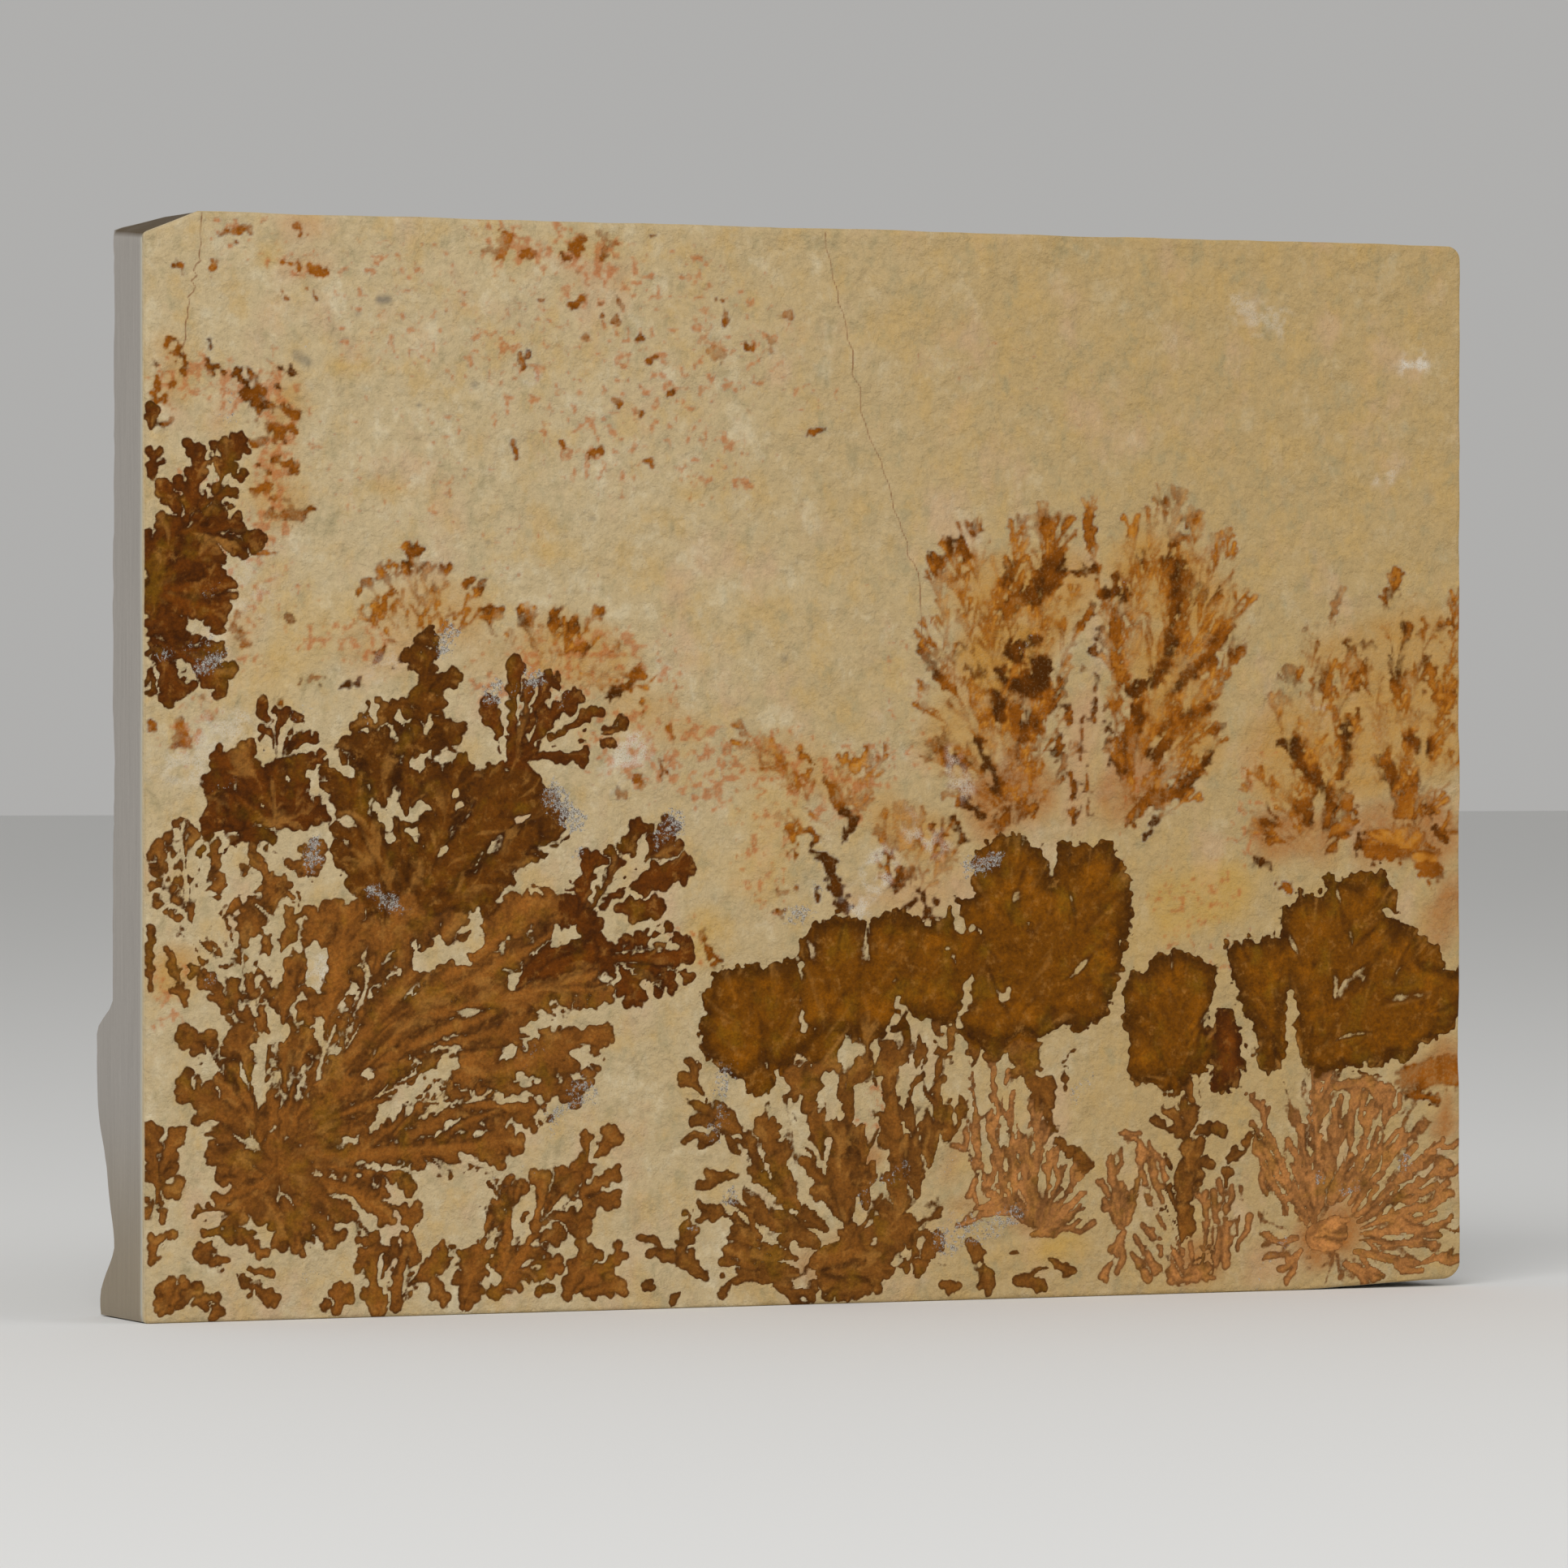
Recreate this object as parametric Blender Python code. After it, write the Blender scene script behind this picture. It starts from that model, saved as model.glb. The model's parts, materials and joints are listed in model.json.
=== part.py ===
"""A sawn slab of bedded limestone that carries pyrolusite dendrites on its front bedding face.

The slab stands on its long sawn edge. Its frame has +X along the face, +Y from the face to the
back and +Z up, with the origin on the base, in the middle of the slab's width and depth.
The dendrites are a film with no height of their own, so the solid is the stone alone: a nearly
flat face, four sawn edges, a knocked corner, and a back that split along several layers.
"""

import math

import bmesh
import bpy
from mathutils import Matrix, Vector, noise

# Driving dimensions, in metres.
FACE_WIDTH = 0.134
FACE_HEIGHT = 0.100
THIN = 0.0088  # from the face to the back, where the back has split deepest
GRID = 0.003  # side of a cell of the faceted surface
LAYERS = 4  # cells through the depth

# Edges and corners.
ARRIS = 0.00035  # the worn edge all round the face and the back
LEFT_CORNER = 0.0004
TOP_RIGHT_CORNER = 0.0013
BASE_RIGHT_CORNER = 0.0018
CORNER_SEGMENTS = 3
EDGE_WANDER = 0.00012  # how far the sawn top strays from a straight line
RIGHT_WANDER = 0.0002  # and the right end
WANDER_DEPTH = 0.004  # how far in from its edge a wander is felt
RIGHT_WANDER_SIZE = 0.009
TOP_WANDER_SIZE = 0.011

# The corner that was knocked off, at the left end of the top.
CHIP_START = 0.0052  # from the left end
CHIP_DROP_FACE = 0.0021
CHIP_DROP_BACK = 0.0013

# The base is flat up to this place, and then rises a little to the right end.
BASE_FLAT_TO = 0.047
BASE_RISE = 0.0007

# Relief of the face.
FACE_SWELL = 0.00022
FACE_SWELL_SIZE = 0.031
FACE_GRAIN = 0.00006
FACE_GRAIN_SIZE = 0.007

# The thick tongue low on the back, which runs out to the left end and climbs to the right.
TONGUE = 0.0043  # its height above THIN
TONGUE_MIDDLE = 0.0205  # height of its middle line at the left end
TONGUE_CLIMB = 0.13
TONGUE_REACH = 0.088  # how far it runs from the left end
TONGUE_END = 0.012  # over which it then dies away
TONGUE_ABOVE = 0.0088  # from its middle to the foot of its steep upper side
TONGUE_STEEP = 0.0036
TONGUE_BELOW = 0.0150  # from its middle to the foot of its long lower side
TONGUE_SLOPE = 0.0125
TONGUE_WIDENS = 0.9  # how much wider it gets, as a share
TONGUE_WIDENS_BY = 0.035  # from the left end
TONGUE_RAGGED = 0.0035
TONGUE_RAGGED_SIZE = 0.016

# The layer left along the base.
FOOT = 0.0037
FOOT_HEIGHT = 0.0062
FOOT_CLIMB = 0.06
FOOT_SLOPE = 0.0052
FOOT_RAGGED = 0.0022
FOOT_RAGGED_SIZE = 0.013

# The thin layer over the upper right of the back. Its edge crosses the middle at this height.
SCAB = 0.0011
SCAB_EDGE_HEIGHT = 0.062
SCAB_EDGE_FALL = 0.8
SCAB_STEP = 0.0025
SCAB_RAGGED = 0.006
SCAB_RAGGED_SIZE = 0.022

# The slow swell of every split surface.
SPLIT_SWELL = 0.0004
SPLIT_SWELL_SIZE = 0.018

STONE_COLOUR = (0.50, 0.39, 0.22, 1.0)
STONE_ROUGHNESS = 0.72

# Where each field of noise is read, so that no two are alike.
SEED_FACE_SWELL = 3.7
SEED_FACE_GRAIN = 8.1
SEED_TONGUE = 21.3
SEED_FOOT = 5.5
SEED_SCAB = 12.9
SEED_SPLIT = 15.2
SEED_RIGHT = 31.0
SEED_TOP = 44.0

TOUCHING = 1e-6  # two places nearer than this are the same


def smooth_step(start, end, value):
    """0 before start, 1 after end, and a smooth rise between them. Start may be above end."""
    share = min(1.0, max(0.0, (value - start) / (end - start)))
    return share * share * (3.0 - 2.0 * share)


def rough(x, z, size, seed, octaves=3):
    """Fractal noise of about -1 to 1, whose largest lumps are as wide as size."""
    place = Vector((x / size, z / size, seed))
    return noise.fractal(place, 1.0, 2.1, octaves, noise_basis="PERLIN_ORIGINAL")


def face_relief(x, z):
    """How far the face stands behind its plane: a slow swell and a fine grain."""
    swell = FACE_SWELL * rough(x, z, FACE_SWELL_SIZE, SEED_FACE_SWELL)
    return swell + FACE_GRAIN * rough(x, z, FACE_GRAIN_SIZE, SEED_FACE_GRAIN)


def tongue(x, z):
    """The thick layer low on the back, from 0 to 1: steep above, sloping away below."""
    along = x + FACE_WIDTH / 2
    ragged = TONGUE_RAGGED * rough(x, z, TONGUE_RAGGED_SIZE, SEED_TONGUE)
    middle = TONGUE_MIDDLE + TONGUE_CLIMB * along + ragged
    wider = 1.0 + TONGUE_WIDENS * smooth_step(0.0, TONGUE_WIDENS_BY, along)
    above = middle + TONGUE_ABOVE * wider
    below = middle - TONGUE_BELOW * wider
    upper = smooth_step(above, above - TONGUE_STEEP * wider, z)
    lower = smooth_step(below, below + TONGUE_SLOPE * wider, z)
    end = smooth_step(TONGUE_REACH, TONGUE_REACH - TONGUE_END, along + 2.0 * ragged)
    return upper * lower * end


def foot(x, z):
    """The layer left along the base, from 0 to 1. It is ragged above and taller to the right."""
    along = x + FACE_WIDTH / 2
    ragged = FOOT_RAGGED * rough(x, 0.0, FOOT_RAGGED_SIZE, SEED_FOOT)
    height = FOOT_HEIGHT + FOOT_CLIMB * along + ragged
    return smooth_step(height, height - FOOT_SLOPE, z)


def scab(x, z):
    """The thin layer over the upper right of the back, from 0 to 1."""
    ragged = SCAB_RAGGED * rough(x, z, SCAB_RAGGED_SIZE, SEED_SCAB, 4)
    inside = x * SCAB_EDGE_FALL + (z - SCAB_EDGE_HEIGHT) + ragged
    return smooth_step(-SCAB_STEP / 2, SCAB_STEP / 2, inside)


def thickness(x, z):
    """From the plane of the face to the back, at a place on the slab."""
    standing = max(TONGUE * tongue(x, z), FOOT * foot(x, z), SCAB * scab(x, z))
    return THIN + standing + SPLIT_SWELL * rough(x, z, SPLIT_SWELL_SIZE, SEED_SPLIT)


def edge_shift(x, z):
    """How a place near the slab's outline moves, as (dx, dz): sawn edges are not quite straight."""
    right_end = FACE_WIDTH / 2
    near_right = smooth_step(right_end - WANDER_DEPTH, right_end, x)
    near_top = smooth_step(FACE_HEIGHT - WANDER_DEPTH, FACE_HEIGHT, z)
    near_base = smooth_step(WANDER_DEPTH, 0.0, z)
    right = near_right * RIGHT_WANDER * rough(0.0, z, RIGHT_WANDER_SIZE, SEED_RIGHT)
    top = near_top * EDGE_WANDER * rough(x, 0.0, TOP_WANDER_SIZE, SEED_TOP)
    rise = near_base * BASE_RISE * smooth_step(BASE_FLAT_TO, right_end, x)
    return right, top + rise


def slab_block():
    """The sawn block before it is shaped: a box with worn edges, cut into cells."""
    mesh = bmesh.new()
    bmesh.ops.create_cube(mesh, size=1.0)
    bmesh.ops.scale(mesh, verts=mesh.verts, vec=(FACE_WIDTH, THIN, FACE_HEIGHT))
    bmesh.ops.translate(mesh, verts=mesh.verts, vec=(0.0, THIN / 2, FACE_HEIGHT / 2))
    round_corners(mesh)
    round_arrises(mesh)
    cut_cells(mesh)
    return mesh


def round_corners(mesh):
    """Rounds the four corners of the face, each by its own amount."""
    for side, height, radius in (
        (1, FACE_HEIGHT, TOP_RIGHT_CORNER),
        (1, 0.0, BASE_RIGHT_CORNER),
        (-1, FACE_HEIGHT, LEFT_CORNER),
        (-1, 0.0, LEFT_CORNER),
    ):
        x = side * FACE_WIDTH / 2
        edges = [
            edge
            for edge in mesh.edges
            if all(math.hypot(vert.co.x - x, vert.co.z - height) < TOUCHING for vert in edge.verts)
        ]
        bmesh.ops.bevel(
            mesh,
            geom=edges,
            offset=radius,
            segments=CORNER_SEGMENTS,
            profile=0.5,
            affect="EDGES",
            material=-1,
        )


def round_arrises(mesh):
    """Takes the sharpness off the outline of the face and of the back."""
    edges = [
        edge
        for edge in mesh.edges
        if abs(edge.verts[0].co.y - edge.verts[1].co.y) < TOUCHING
        and len({round(face.normal.y) for face in edge.link_faces}) == 2
    ]
    bmesh.ops.bevel(
        mesh, geom=edges, offset=ARRIS, segments=1, profile=0.5, affect="EDGES", material=-1
    )


def cut_cells(mesh):
    """Cuts the block by evenly spaced planes, so that it has places to take the relief."""
    columns = round(FACE_WIDTH / GRID)
    rows = round(FACE_HEIGHT / GRID)
    left = -FACE_WIDTH / 2
    cuts = [((left + FACE_WIDTH * i / columns, 0, 0), (1, 0, 0)) for i in range(1, columns)]
    cuts += [((0, 0, FACE_HEIGHT * i / rows), (0, 0, 1)) for i in range(1, rows)]
    cuts += [((0, THIN * i / LAYERS, 0), (0, 1, 0)) for i in range(1, LAYERS)]
    for place, direction in cuts:
        everything = mesh.verts[:] + mesh.edges[:] + mesh.faces[:]
        bmesh.ops.bisect_plane(
            mesh, geom=everything, dist=TOUCHING / 10, plane_co=place, plane_no=direction
        )


def shape(mesh):
    """Gives the block the relief of its face, the split back and the wander of its edges.

    The block is THIN deep, and its depth is stretched to the thickness at each place."""
    for vert in mesh.verts:
        x, depth, z = vert.co
        dx, dz = edge_shift(x, z)
        face = face_relief(x, z)
        vert.co = (x + dx, face + depth / THIN * (thickness(x, z) - face), z + dz)


def knock_off_corner(mesh):
    """Cuts the knocked corner away with one sloping plane and closes the cut."""
    left = -FACE_WIDTH / 2
    crest = Vector((left + CHIP_START, 0.0, FACE_HEIGHT))
    face_end = Vector((left, 0.0, FACE_HEIGHT - CHIP_DROP_FACE))
    back_end = Vector((left, THIN, FACE_HEIGHT - CHIP_DROP_BACK))
    outward = (face_end - crest).cross(back_end - crest).normalized()
    outward = outward if outward.z > 0 else -outward
    everything = mesh.verts[:] + mesh.edges[:] + mesh.faces[:]
    cut = bmesh.ops.bisect_plane(
        mesh, geom=everything, dist=TOUCHING / 10, plane_co=crest, plane_no=outward, clear_outer=True
    )
    rim = [item for item in cut["geom_cut"] if isinstance(item, bmesh.types.BMEdge)]
    bmesh.ops.holes_fill(mesh, edges=rim, sides=0)


def centre_depth(mesh):
    """Moves the slab along Y so that the origin is in the middle of its depth."""
    depths = [vert.co.y for vert in mesh.verts]
    middle = (min(depths) + max(depths)) / 2
    bmesh.ops.translate(mesh, verts=mesh.verts, vec=(0.0, -middle, 0.0))


def stone_material():
    """Cream limestone, dull and dense."""
    material = bpy.data.materials.new("limestone")
    material.use_nodes = True
    shader = material.node_tree.nodes["Principled BSDF"]
    shader.inputs["Base Color"].default_value = STONE_COLOUR
    shader.inputs["Roughness"].default_value = STONE_ROUGHNESS
    shader.inputs["Metallic"].default_value = 0.0
    return material


def build_slab(collection):
    """Makes the one piece of the object, the slab."""
    mesh = slab_block()
    shape(mesh)
    knock_off_corner(mesh)
    centre_depth(mesh)
    bmesh.ops.triangulate(mesh, faces=mesh.faces[:])
    bmesh.ops.recalc_face_normals(mesh, faces=mesh.faces[:])
    data = bpy.data.meshes.new("slab")
    mesh.to_mesh(data)
    mesh.free()
    data.materials.append(stone_material())
    slab = bpy.data.objects.new("slab", data)
    slab.matrix_world = Matrix.Identity(4)
    collection.objects.link(slab)
    return slab


def main():
    """Clears the scene and builds the slab in a collection of its own."""
    for old in list(bpy.data.objects):
        bpy.data.objects.remove(old)
    collection = bpy.data.collections.new("dendritic_slab")
    bpy.context.scene.collection.children.link(collection)
    build_slab(collection)


main()
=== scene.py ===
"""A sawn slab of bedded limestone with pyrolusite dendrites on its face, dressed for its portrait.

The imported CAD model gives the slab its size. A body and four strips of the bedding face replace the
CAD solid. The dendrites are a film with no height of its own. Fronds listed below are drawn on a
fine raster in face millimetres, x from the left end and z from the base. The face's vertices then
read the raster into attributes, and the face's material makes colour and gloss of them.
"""

import json
import logging
import math
from collections.abc import Callable, Iterable, Sequence
from dataclasses import dataclass
from enum import Enum

import bmesh
import bpy
import numpy as np
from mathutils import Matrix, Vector, noise

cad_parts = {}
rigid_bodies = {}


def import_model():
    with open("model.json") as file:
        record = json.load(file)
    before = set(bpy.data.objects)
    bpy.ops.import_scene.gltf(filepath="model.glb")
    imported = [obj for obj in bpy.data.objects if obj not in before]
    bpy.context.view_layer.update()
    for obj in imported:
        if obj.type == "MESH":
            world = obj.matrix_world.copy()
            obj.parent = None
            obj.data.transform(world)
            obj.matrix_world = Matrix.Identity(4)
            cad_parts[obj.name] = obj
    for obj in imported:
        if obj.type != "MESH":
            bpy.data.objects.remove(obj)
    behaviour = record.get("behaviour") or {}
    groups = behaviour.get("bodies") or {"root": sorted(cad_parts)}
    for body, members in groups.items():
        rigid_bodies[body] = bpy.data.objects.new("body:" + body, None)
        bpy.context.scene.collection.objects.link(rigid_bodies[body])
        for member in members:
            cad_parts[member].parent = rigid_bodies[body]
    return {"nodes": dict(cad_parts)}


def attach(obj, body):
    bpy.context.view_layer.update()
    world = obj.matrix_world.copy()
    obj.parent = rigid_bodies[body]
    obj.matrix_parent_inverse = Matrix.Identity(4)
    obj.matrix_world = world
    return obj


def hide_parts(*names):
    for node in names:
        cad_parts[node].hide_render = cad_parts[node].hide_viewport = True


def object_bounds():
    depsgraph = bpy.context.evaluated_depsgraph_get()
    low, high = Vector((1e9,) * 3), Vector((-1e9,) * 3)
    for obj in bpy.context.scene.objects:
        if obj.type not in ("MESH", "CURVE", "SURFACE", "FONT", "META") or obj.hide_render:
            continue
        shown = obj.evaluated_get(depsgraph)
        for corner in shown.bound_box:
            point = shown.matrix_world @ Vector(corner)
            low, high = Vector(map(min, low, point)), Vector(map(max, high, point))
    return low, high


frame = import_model()
CAD_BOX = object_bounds()

LOG = logging.getLogger("dendrite slab")
MM = 0.001  # scene units in a millimetre
FAR = 9.0  # a distance in millimetres that stands for nowhere near
RGB = tuple[float, float, float]
Row = tuple[float, ...]
Area = tuple[slice, slice]
Pair = tuple[float, float]


def linear(colour: Sequence[float]) -> RGB:
    """Turns a screen colour of 0 to 255 into linear light.

    Args:
        colour: Red, green and blue as a screen shows them.

    Returns:
        The same colour as shares of full light.
    """
    shares = [value / 255 for value in colour[:3]]
    return tuple(v / 12.92 if v <= 0.04045 else ((v + 0.055) / 1.055) ** 2.4 for v in shares)


def smooth_step(start: float, end: float, value: np.ndarray) -> np.ndarray:
    """Rises smoothly from 0 at start to 1 at end. Start may be above end.

    Args:
        start: Where the rise begins.
        end: Where it is complete.
        value: The places to read.

    Returns:
        The rise at each place.
    """
    share = np.clip((value - start) / (end - start), 0.0, 1.0)
    return share * share * (3.0 - 2.0 * share)


class Tone(Enum):
    """The film's colours, and one for the freckles, as a screen shows them."""

    LEAF = (132, 80, 27)
    RUSSET = (97, 49, 4)
    UMBER = (108, 62, 2)
    SEPIA = (93, 51, 5)
    BISTRE = (121, 74, 24)
    CINNAMON = (176, 118, 64)
    RUST = (176, 102, 52)


@dataclass(frozen=True)
class Habit:
    """How one kind of frond grows, in millimetres and degrees."""

    tone: Tone
    girth: float = 1.12  # how much broader a frond is than its row says
    body: float = 0.52  # the solid part of a frond, as a share of its breadth
    lobe: float = 0.35  # radius of a lobe's round end, and none for a plain frond
    pitch: float = 0.62  # from one lobe to the next, which is on the other side
    sweep: float = 50.0  # between a lobe and its stem
    ragged: float = 0.22  # how uneven the lobes are, as a share
    wild: float = 0.30  # the share of lobes that run on, up to twice as far
    bow: float = 0.05  # how far a stem bends, as a share of its length
    branch_from: float = 1.25  # half-width past which a lobe becomes a branch with lobes
    twig_lobe: float = 0.32
    twig_pitch: float = 0.50
    gap: float = 0.82  # how open the channel between two fronds is, from 0 to 1
    shoots: float = 0.0  # from one side finger to the next, and none for 0
    merge: float = 2.2  # overlap past which two fronds close up
    fringe: float = 0.14  # how far the tips of the feathering stand out of the rim
    spread: float = 0.75  # how far the feathering turns away from the stem


LEAF = Habit(Tone.LEAF)
DARK = Habit(Tone.RUSSET, gap=0.9, merge=1.6)
CROWN_LEAF = Habit(Tone.SEPIA, gap=0.6, merge=1.4, fringe=0.2)
MASSIF = Habit(Tone.UMBER, lobe=0.0, gap=0.42, merge=1.2, fringe=0.7, spread=0.6)
THICK = Habit(
    Tone.BISTRE,
    girth=1.0,
    body=0.66,
    lobe=0.32,
    pitch=0.72,
    wild=0.2,
    gap=0.9,
    merge=0.3,
    fringe=0.2,
    shoots=2.7,
)
FINGER = Habit(
    Tone.CINNAMON,
    girth=1.0,
    body=0.75,
    lobe=0.24,
    pitch=0.7,
    sweep=34.0,
    wild=0.3,
    gap=0.8,
    merge=0.16,
    fringe=0.10,
    shoots=2.4,
)
PLUME = Habit(
    Tone.RUST,
    girth=1.0,
    body=0.14,
    lobe=0.32,
    pitch=0.86,
    sweep=30.0,
    ragged=0.45,
    wild=0.4,
    branch_from=0.9,
    twig_lobe=0.26,
    twig_pitch=0.9,
)


@dataclass(frozen=True)
class Colony:
    """Fronds that grew together.

    A row of fronds holds x and z of the root, x and z of the tip, and half the breadth at each.
    Within solid_to millimetres of the heart the fronds close up, and from parted_from on they
    keep their channels.
    """

    habit: Habit
    seed: int
    fronds: tuple[Row, ...]
    heart: Pair = (-50.0, -50.0)
    solid_to: float = 0.0
    parted_from: float = 0.1


def fan(root: Pair, start: float, tips: Iterable[Row]) -> tuple[Row, ...]:
    """Rows of fronds that spread from one root.

    Args:
        root: The place they all point away from.
        start: How far from it each begins.
        tips: x and z of each tip, and half its breadth there.

    Returns:
        Rows as a colony takes them, each a little narrower at its root.
    """
    rows = []
    for x, z, half in tips:
        away = math.hypot(x - root[0], z - root[1])
        share = min(0.6, start / away)
        first = (root[0] + (x - root[0]) * share, root[1] + (z - root[1]) * share)
        rows.append((*first, x, z, half * 0.7, half))
    return tuple(rows)


def along(*paths: Row) -> tuple[Row, ...]:
    """Rows of fronds end to end along paths.

    Args:
        paths: Each path's stops one after another, as x, z and half the breadth there.

    Returns:
        Rows as a colony takes them.
    """
    rows = []
    for path in paths:
        stops = [path[i : i + 3] for i in range(0, len(path), 3)]
        rows += [(*first[:2], *last[:2], first[2], last[2]) for first, last in zip(stops, stops[1:])]
    return tuple(rows)


LEFT_COLONY = Colony(
    LEAF,
    11,
    (
        (11.5, 12.5, 6.9, 10.7, 0.8, 0.45), (10.5, 11.5, 6, 7.6, 1.2, 1), (7.2, 8.6, 5.4, 9.4, 0.6, 0.5),
        (6.5, 7.6, 5.6, 5.9, 0.7, 0.6), (8.5, 8.3, 11.4, 5.9, 0.9, 0.6), (6.2, 6.2, 8.4, 4.2, 0.6, 0.5),
        (7.8, 4.6, 12.2, 1.7, 0.7, 0.7), (7, 5, 12.3, 4.1, 0.35, 0.3), (11.8, 10.8, 13.5, 6.7, 0.9, 0.55),
        (13.2, 10.8, 15, 6.2, 1.1, 0.8), (14.6, 8, 16.4, 6, 0.6, 0.5), (14.5, 10.8, 18.2, 6.8, 1, 0.7),
        (15.5, 11.8, 21.6, 8.2, 0.8, 0.9), (20.2, 8.8, 22.2, 7, 0.8, 0.6), (17, 12.6, 24, 9.4, 0.8, 1.2),
        (23, 10.5, 26.2, 9.2, 0.9, 0.6), (16.5, 14, 25.6, 13.2, 0.9, 0.9), (16, 15, 35.6, 16.1, 1.6, 1.1),
        (27, 14.5, 29.5, 12.9, 0.8, 0.6), (30.5, 14.5, 33.2, 12.2, 0.9, 0.7),
        (22, 15.8, 26, 18.6, 1.2, 1.2), (24, 16.5, 29.3, 21.9, 1.4, 0.7), (25, 16, 33.3, 20.9, 1.6, 0.7),
        (28, 15.8, 34.5, 18.6, 1.2, 1), (16, 16, 21.8, 18.8, 0.9, 0.7), (15, 16.5, 24.3, 20.4, 1, 0.9),
        (15, 17.5, 30, 24, 1.1, 1), (15, 18, 26, 27.5, 1.3, 1.2), (14, 17, 18.5, 26, 1.1, 1.1),
        (13.3, 17, 16, 26, 0.9, 0.7), (11.8, 17.5, 12.6, 22.3, 0.8, 0.6), (10.5, 17, 11.8, 25, 0.8, 0.8),
        (10.8, 16.5, 8.2, 23.5, 1, 1.1), (9.5, 19, 6, 24.3, 1, 0.9), (8.5, 21.5, 3.4, 25.9, 0.8, 0.9),
        (9.5, 16.8, 3.4, 21.2, 1, 1), (4.6, 21.2, 4.2, 22.6, 0.6, 0.4), (9.2, 15.8, 6, 17.6, 0.8, 0.8),
        (9.8, 14, 5.9, 15, 0.9, 0.6), (10.8, 13, 7, 12.9, 0.7, 0.5), (10.5, 20, 8.5, 31, 1, 1),
        (11, 20, 12, 29, 0.9, 0.9), (13.5, 20, 13.5, 33, 1.2, 1.1), (17, 22, 19.5, 37, 1.5, 1.5),
        (19, 24, 22, 33, 1.2, 1.2), (12, 30, 11.5, 35, 0.9, 0.9), (9, 27, 4.4, 34.6, 0.9, 1),
        (10.5, 28, 7.6, 36.4, 0.9, 1), (5.4, 33, 3.6, 38.6, 0.7, 0.8), (12.5, 31, 14.2, 37.6, 0.9, 0.9),
        (14.5, 30, 17.6, 35.6, 0.9, 1), (3.8, 28.6, 2.6, 34, 0.6, 0.7), (7, 36, 10.6, 40.4, 0.8, 0.8),
        (12.4, 36, 10.8, 42.6, 0.8, 1), (14.6, 37, 16.4, 43, 0.9, 1.1), (4.2, 37.6, 3.4, 44.6, 0.7, 0.7),
        (5, 37.4, 7.2, 43.6, 0.6, 0.8), (2.4, 37, 1, 43, 0.5, 0.7), (22, 25, 30, 31, 1.2, 1.3),
        (20, 22, 34, 27.6, 1.2, 1.4), (24, 28, 30, 36, 1.2, 1.3), (26, 24, 40, 26.6, 1.2, 1.2),
        (20, 28, 24.5, 38, 1.2, 1.3),
    ),
    heart=(12.8, 13.6),
    solid_to=4.5,
    parted_from=8.5,
)
LEFT_EDGE = Colony(
    LEAF,
    12,
    (
        (1, 10, 0.7, 17.3, 1, 0.7), (1.5, 13, 3.2, 17.3, 0.9, 1), (1.5, 12, 3.2, 11.5, 0.9, 0.8),
        (0.8, 12, 0.6, 9.6, 0.9, 0.7), (0.5, 5.5, 1, 7.8, 0.5, 0.5), (1.2, 6.3, 3, 8.2, 0.35, 0.45),
        (1.2, 1.2, 1.6, 2.8, 0.6, 0.5), (1.5, 1, 2.4, 4.1, 0.6, 0.35), (2.2, 1.2, 3.8, 4, 0.7, 0.4),
        (3, 1.5, 5.2, 3.4, 0.5, 0.4), (4.5, 1.8, 7, 2, 0.5, 0.6), (6.2, 1.8, 7, 0.6, 0.6, 0.5),
        (4, 36.5, 3.3, 44.8, 0.8, 0.8), (2.6, 36.6, 0.8, 41.6, 0.7, 0.45), (3, 37, 1.2, 38, 0.8, 0.5),
        (5, 37.5, 5.3, 42.5, 0.9, 0.6), (5, 38.5, 10, 40.5, 1.2, 0.8), (8, 39, 12, 38, 0.9, 0.5),
        (9.5, 38.5, 12.5, 36.5, 0.9, 0.6), (9.5, 38.5, 11, 35.3, 0.7, 0.6), (0.6, 30, 0.7, 35.8, 0.4, 0.4),
        (5, 34, 3.8, 35.3, 0.8, 0.9), (8, 32.5, 4.2, 35.2, 0.7, 0.8), (8.3, 33, 7.3, 36, 0.6, 0.7),
        (8.5, 32.5, 2.6, 33.9, 0.5, 0.4), (9, 32, 4, 31.8, 0.8, 0.6), (9.5, 31.5, 9.6, 33.4, 1, 0.9),
        (17, 36, 12.5, 39.3, 0.6, 0.5), (16, 40, 10.2, 42.6, 0.5, 0.6),
    ),
)
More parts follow.
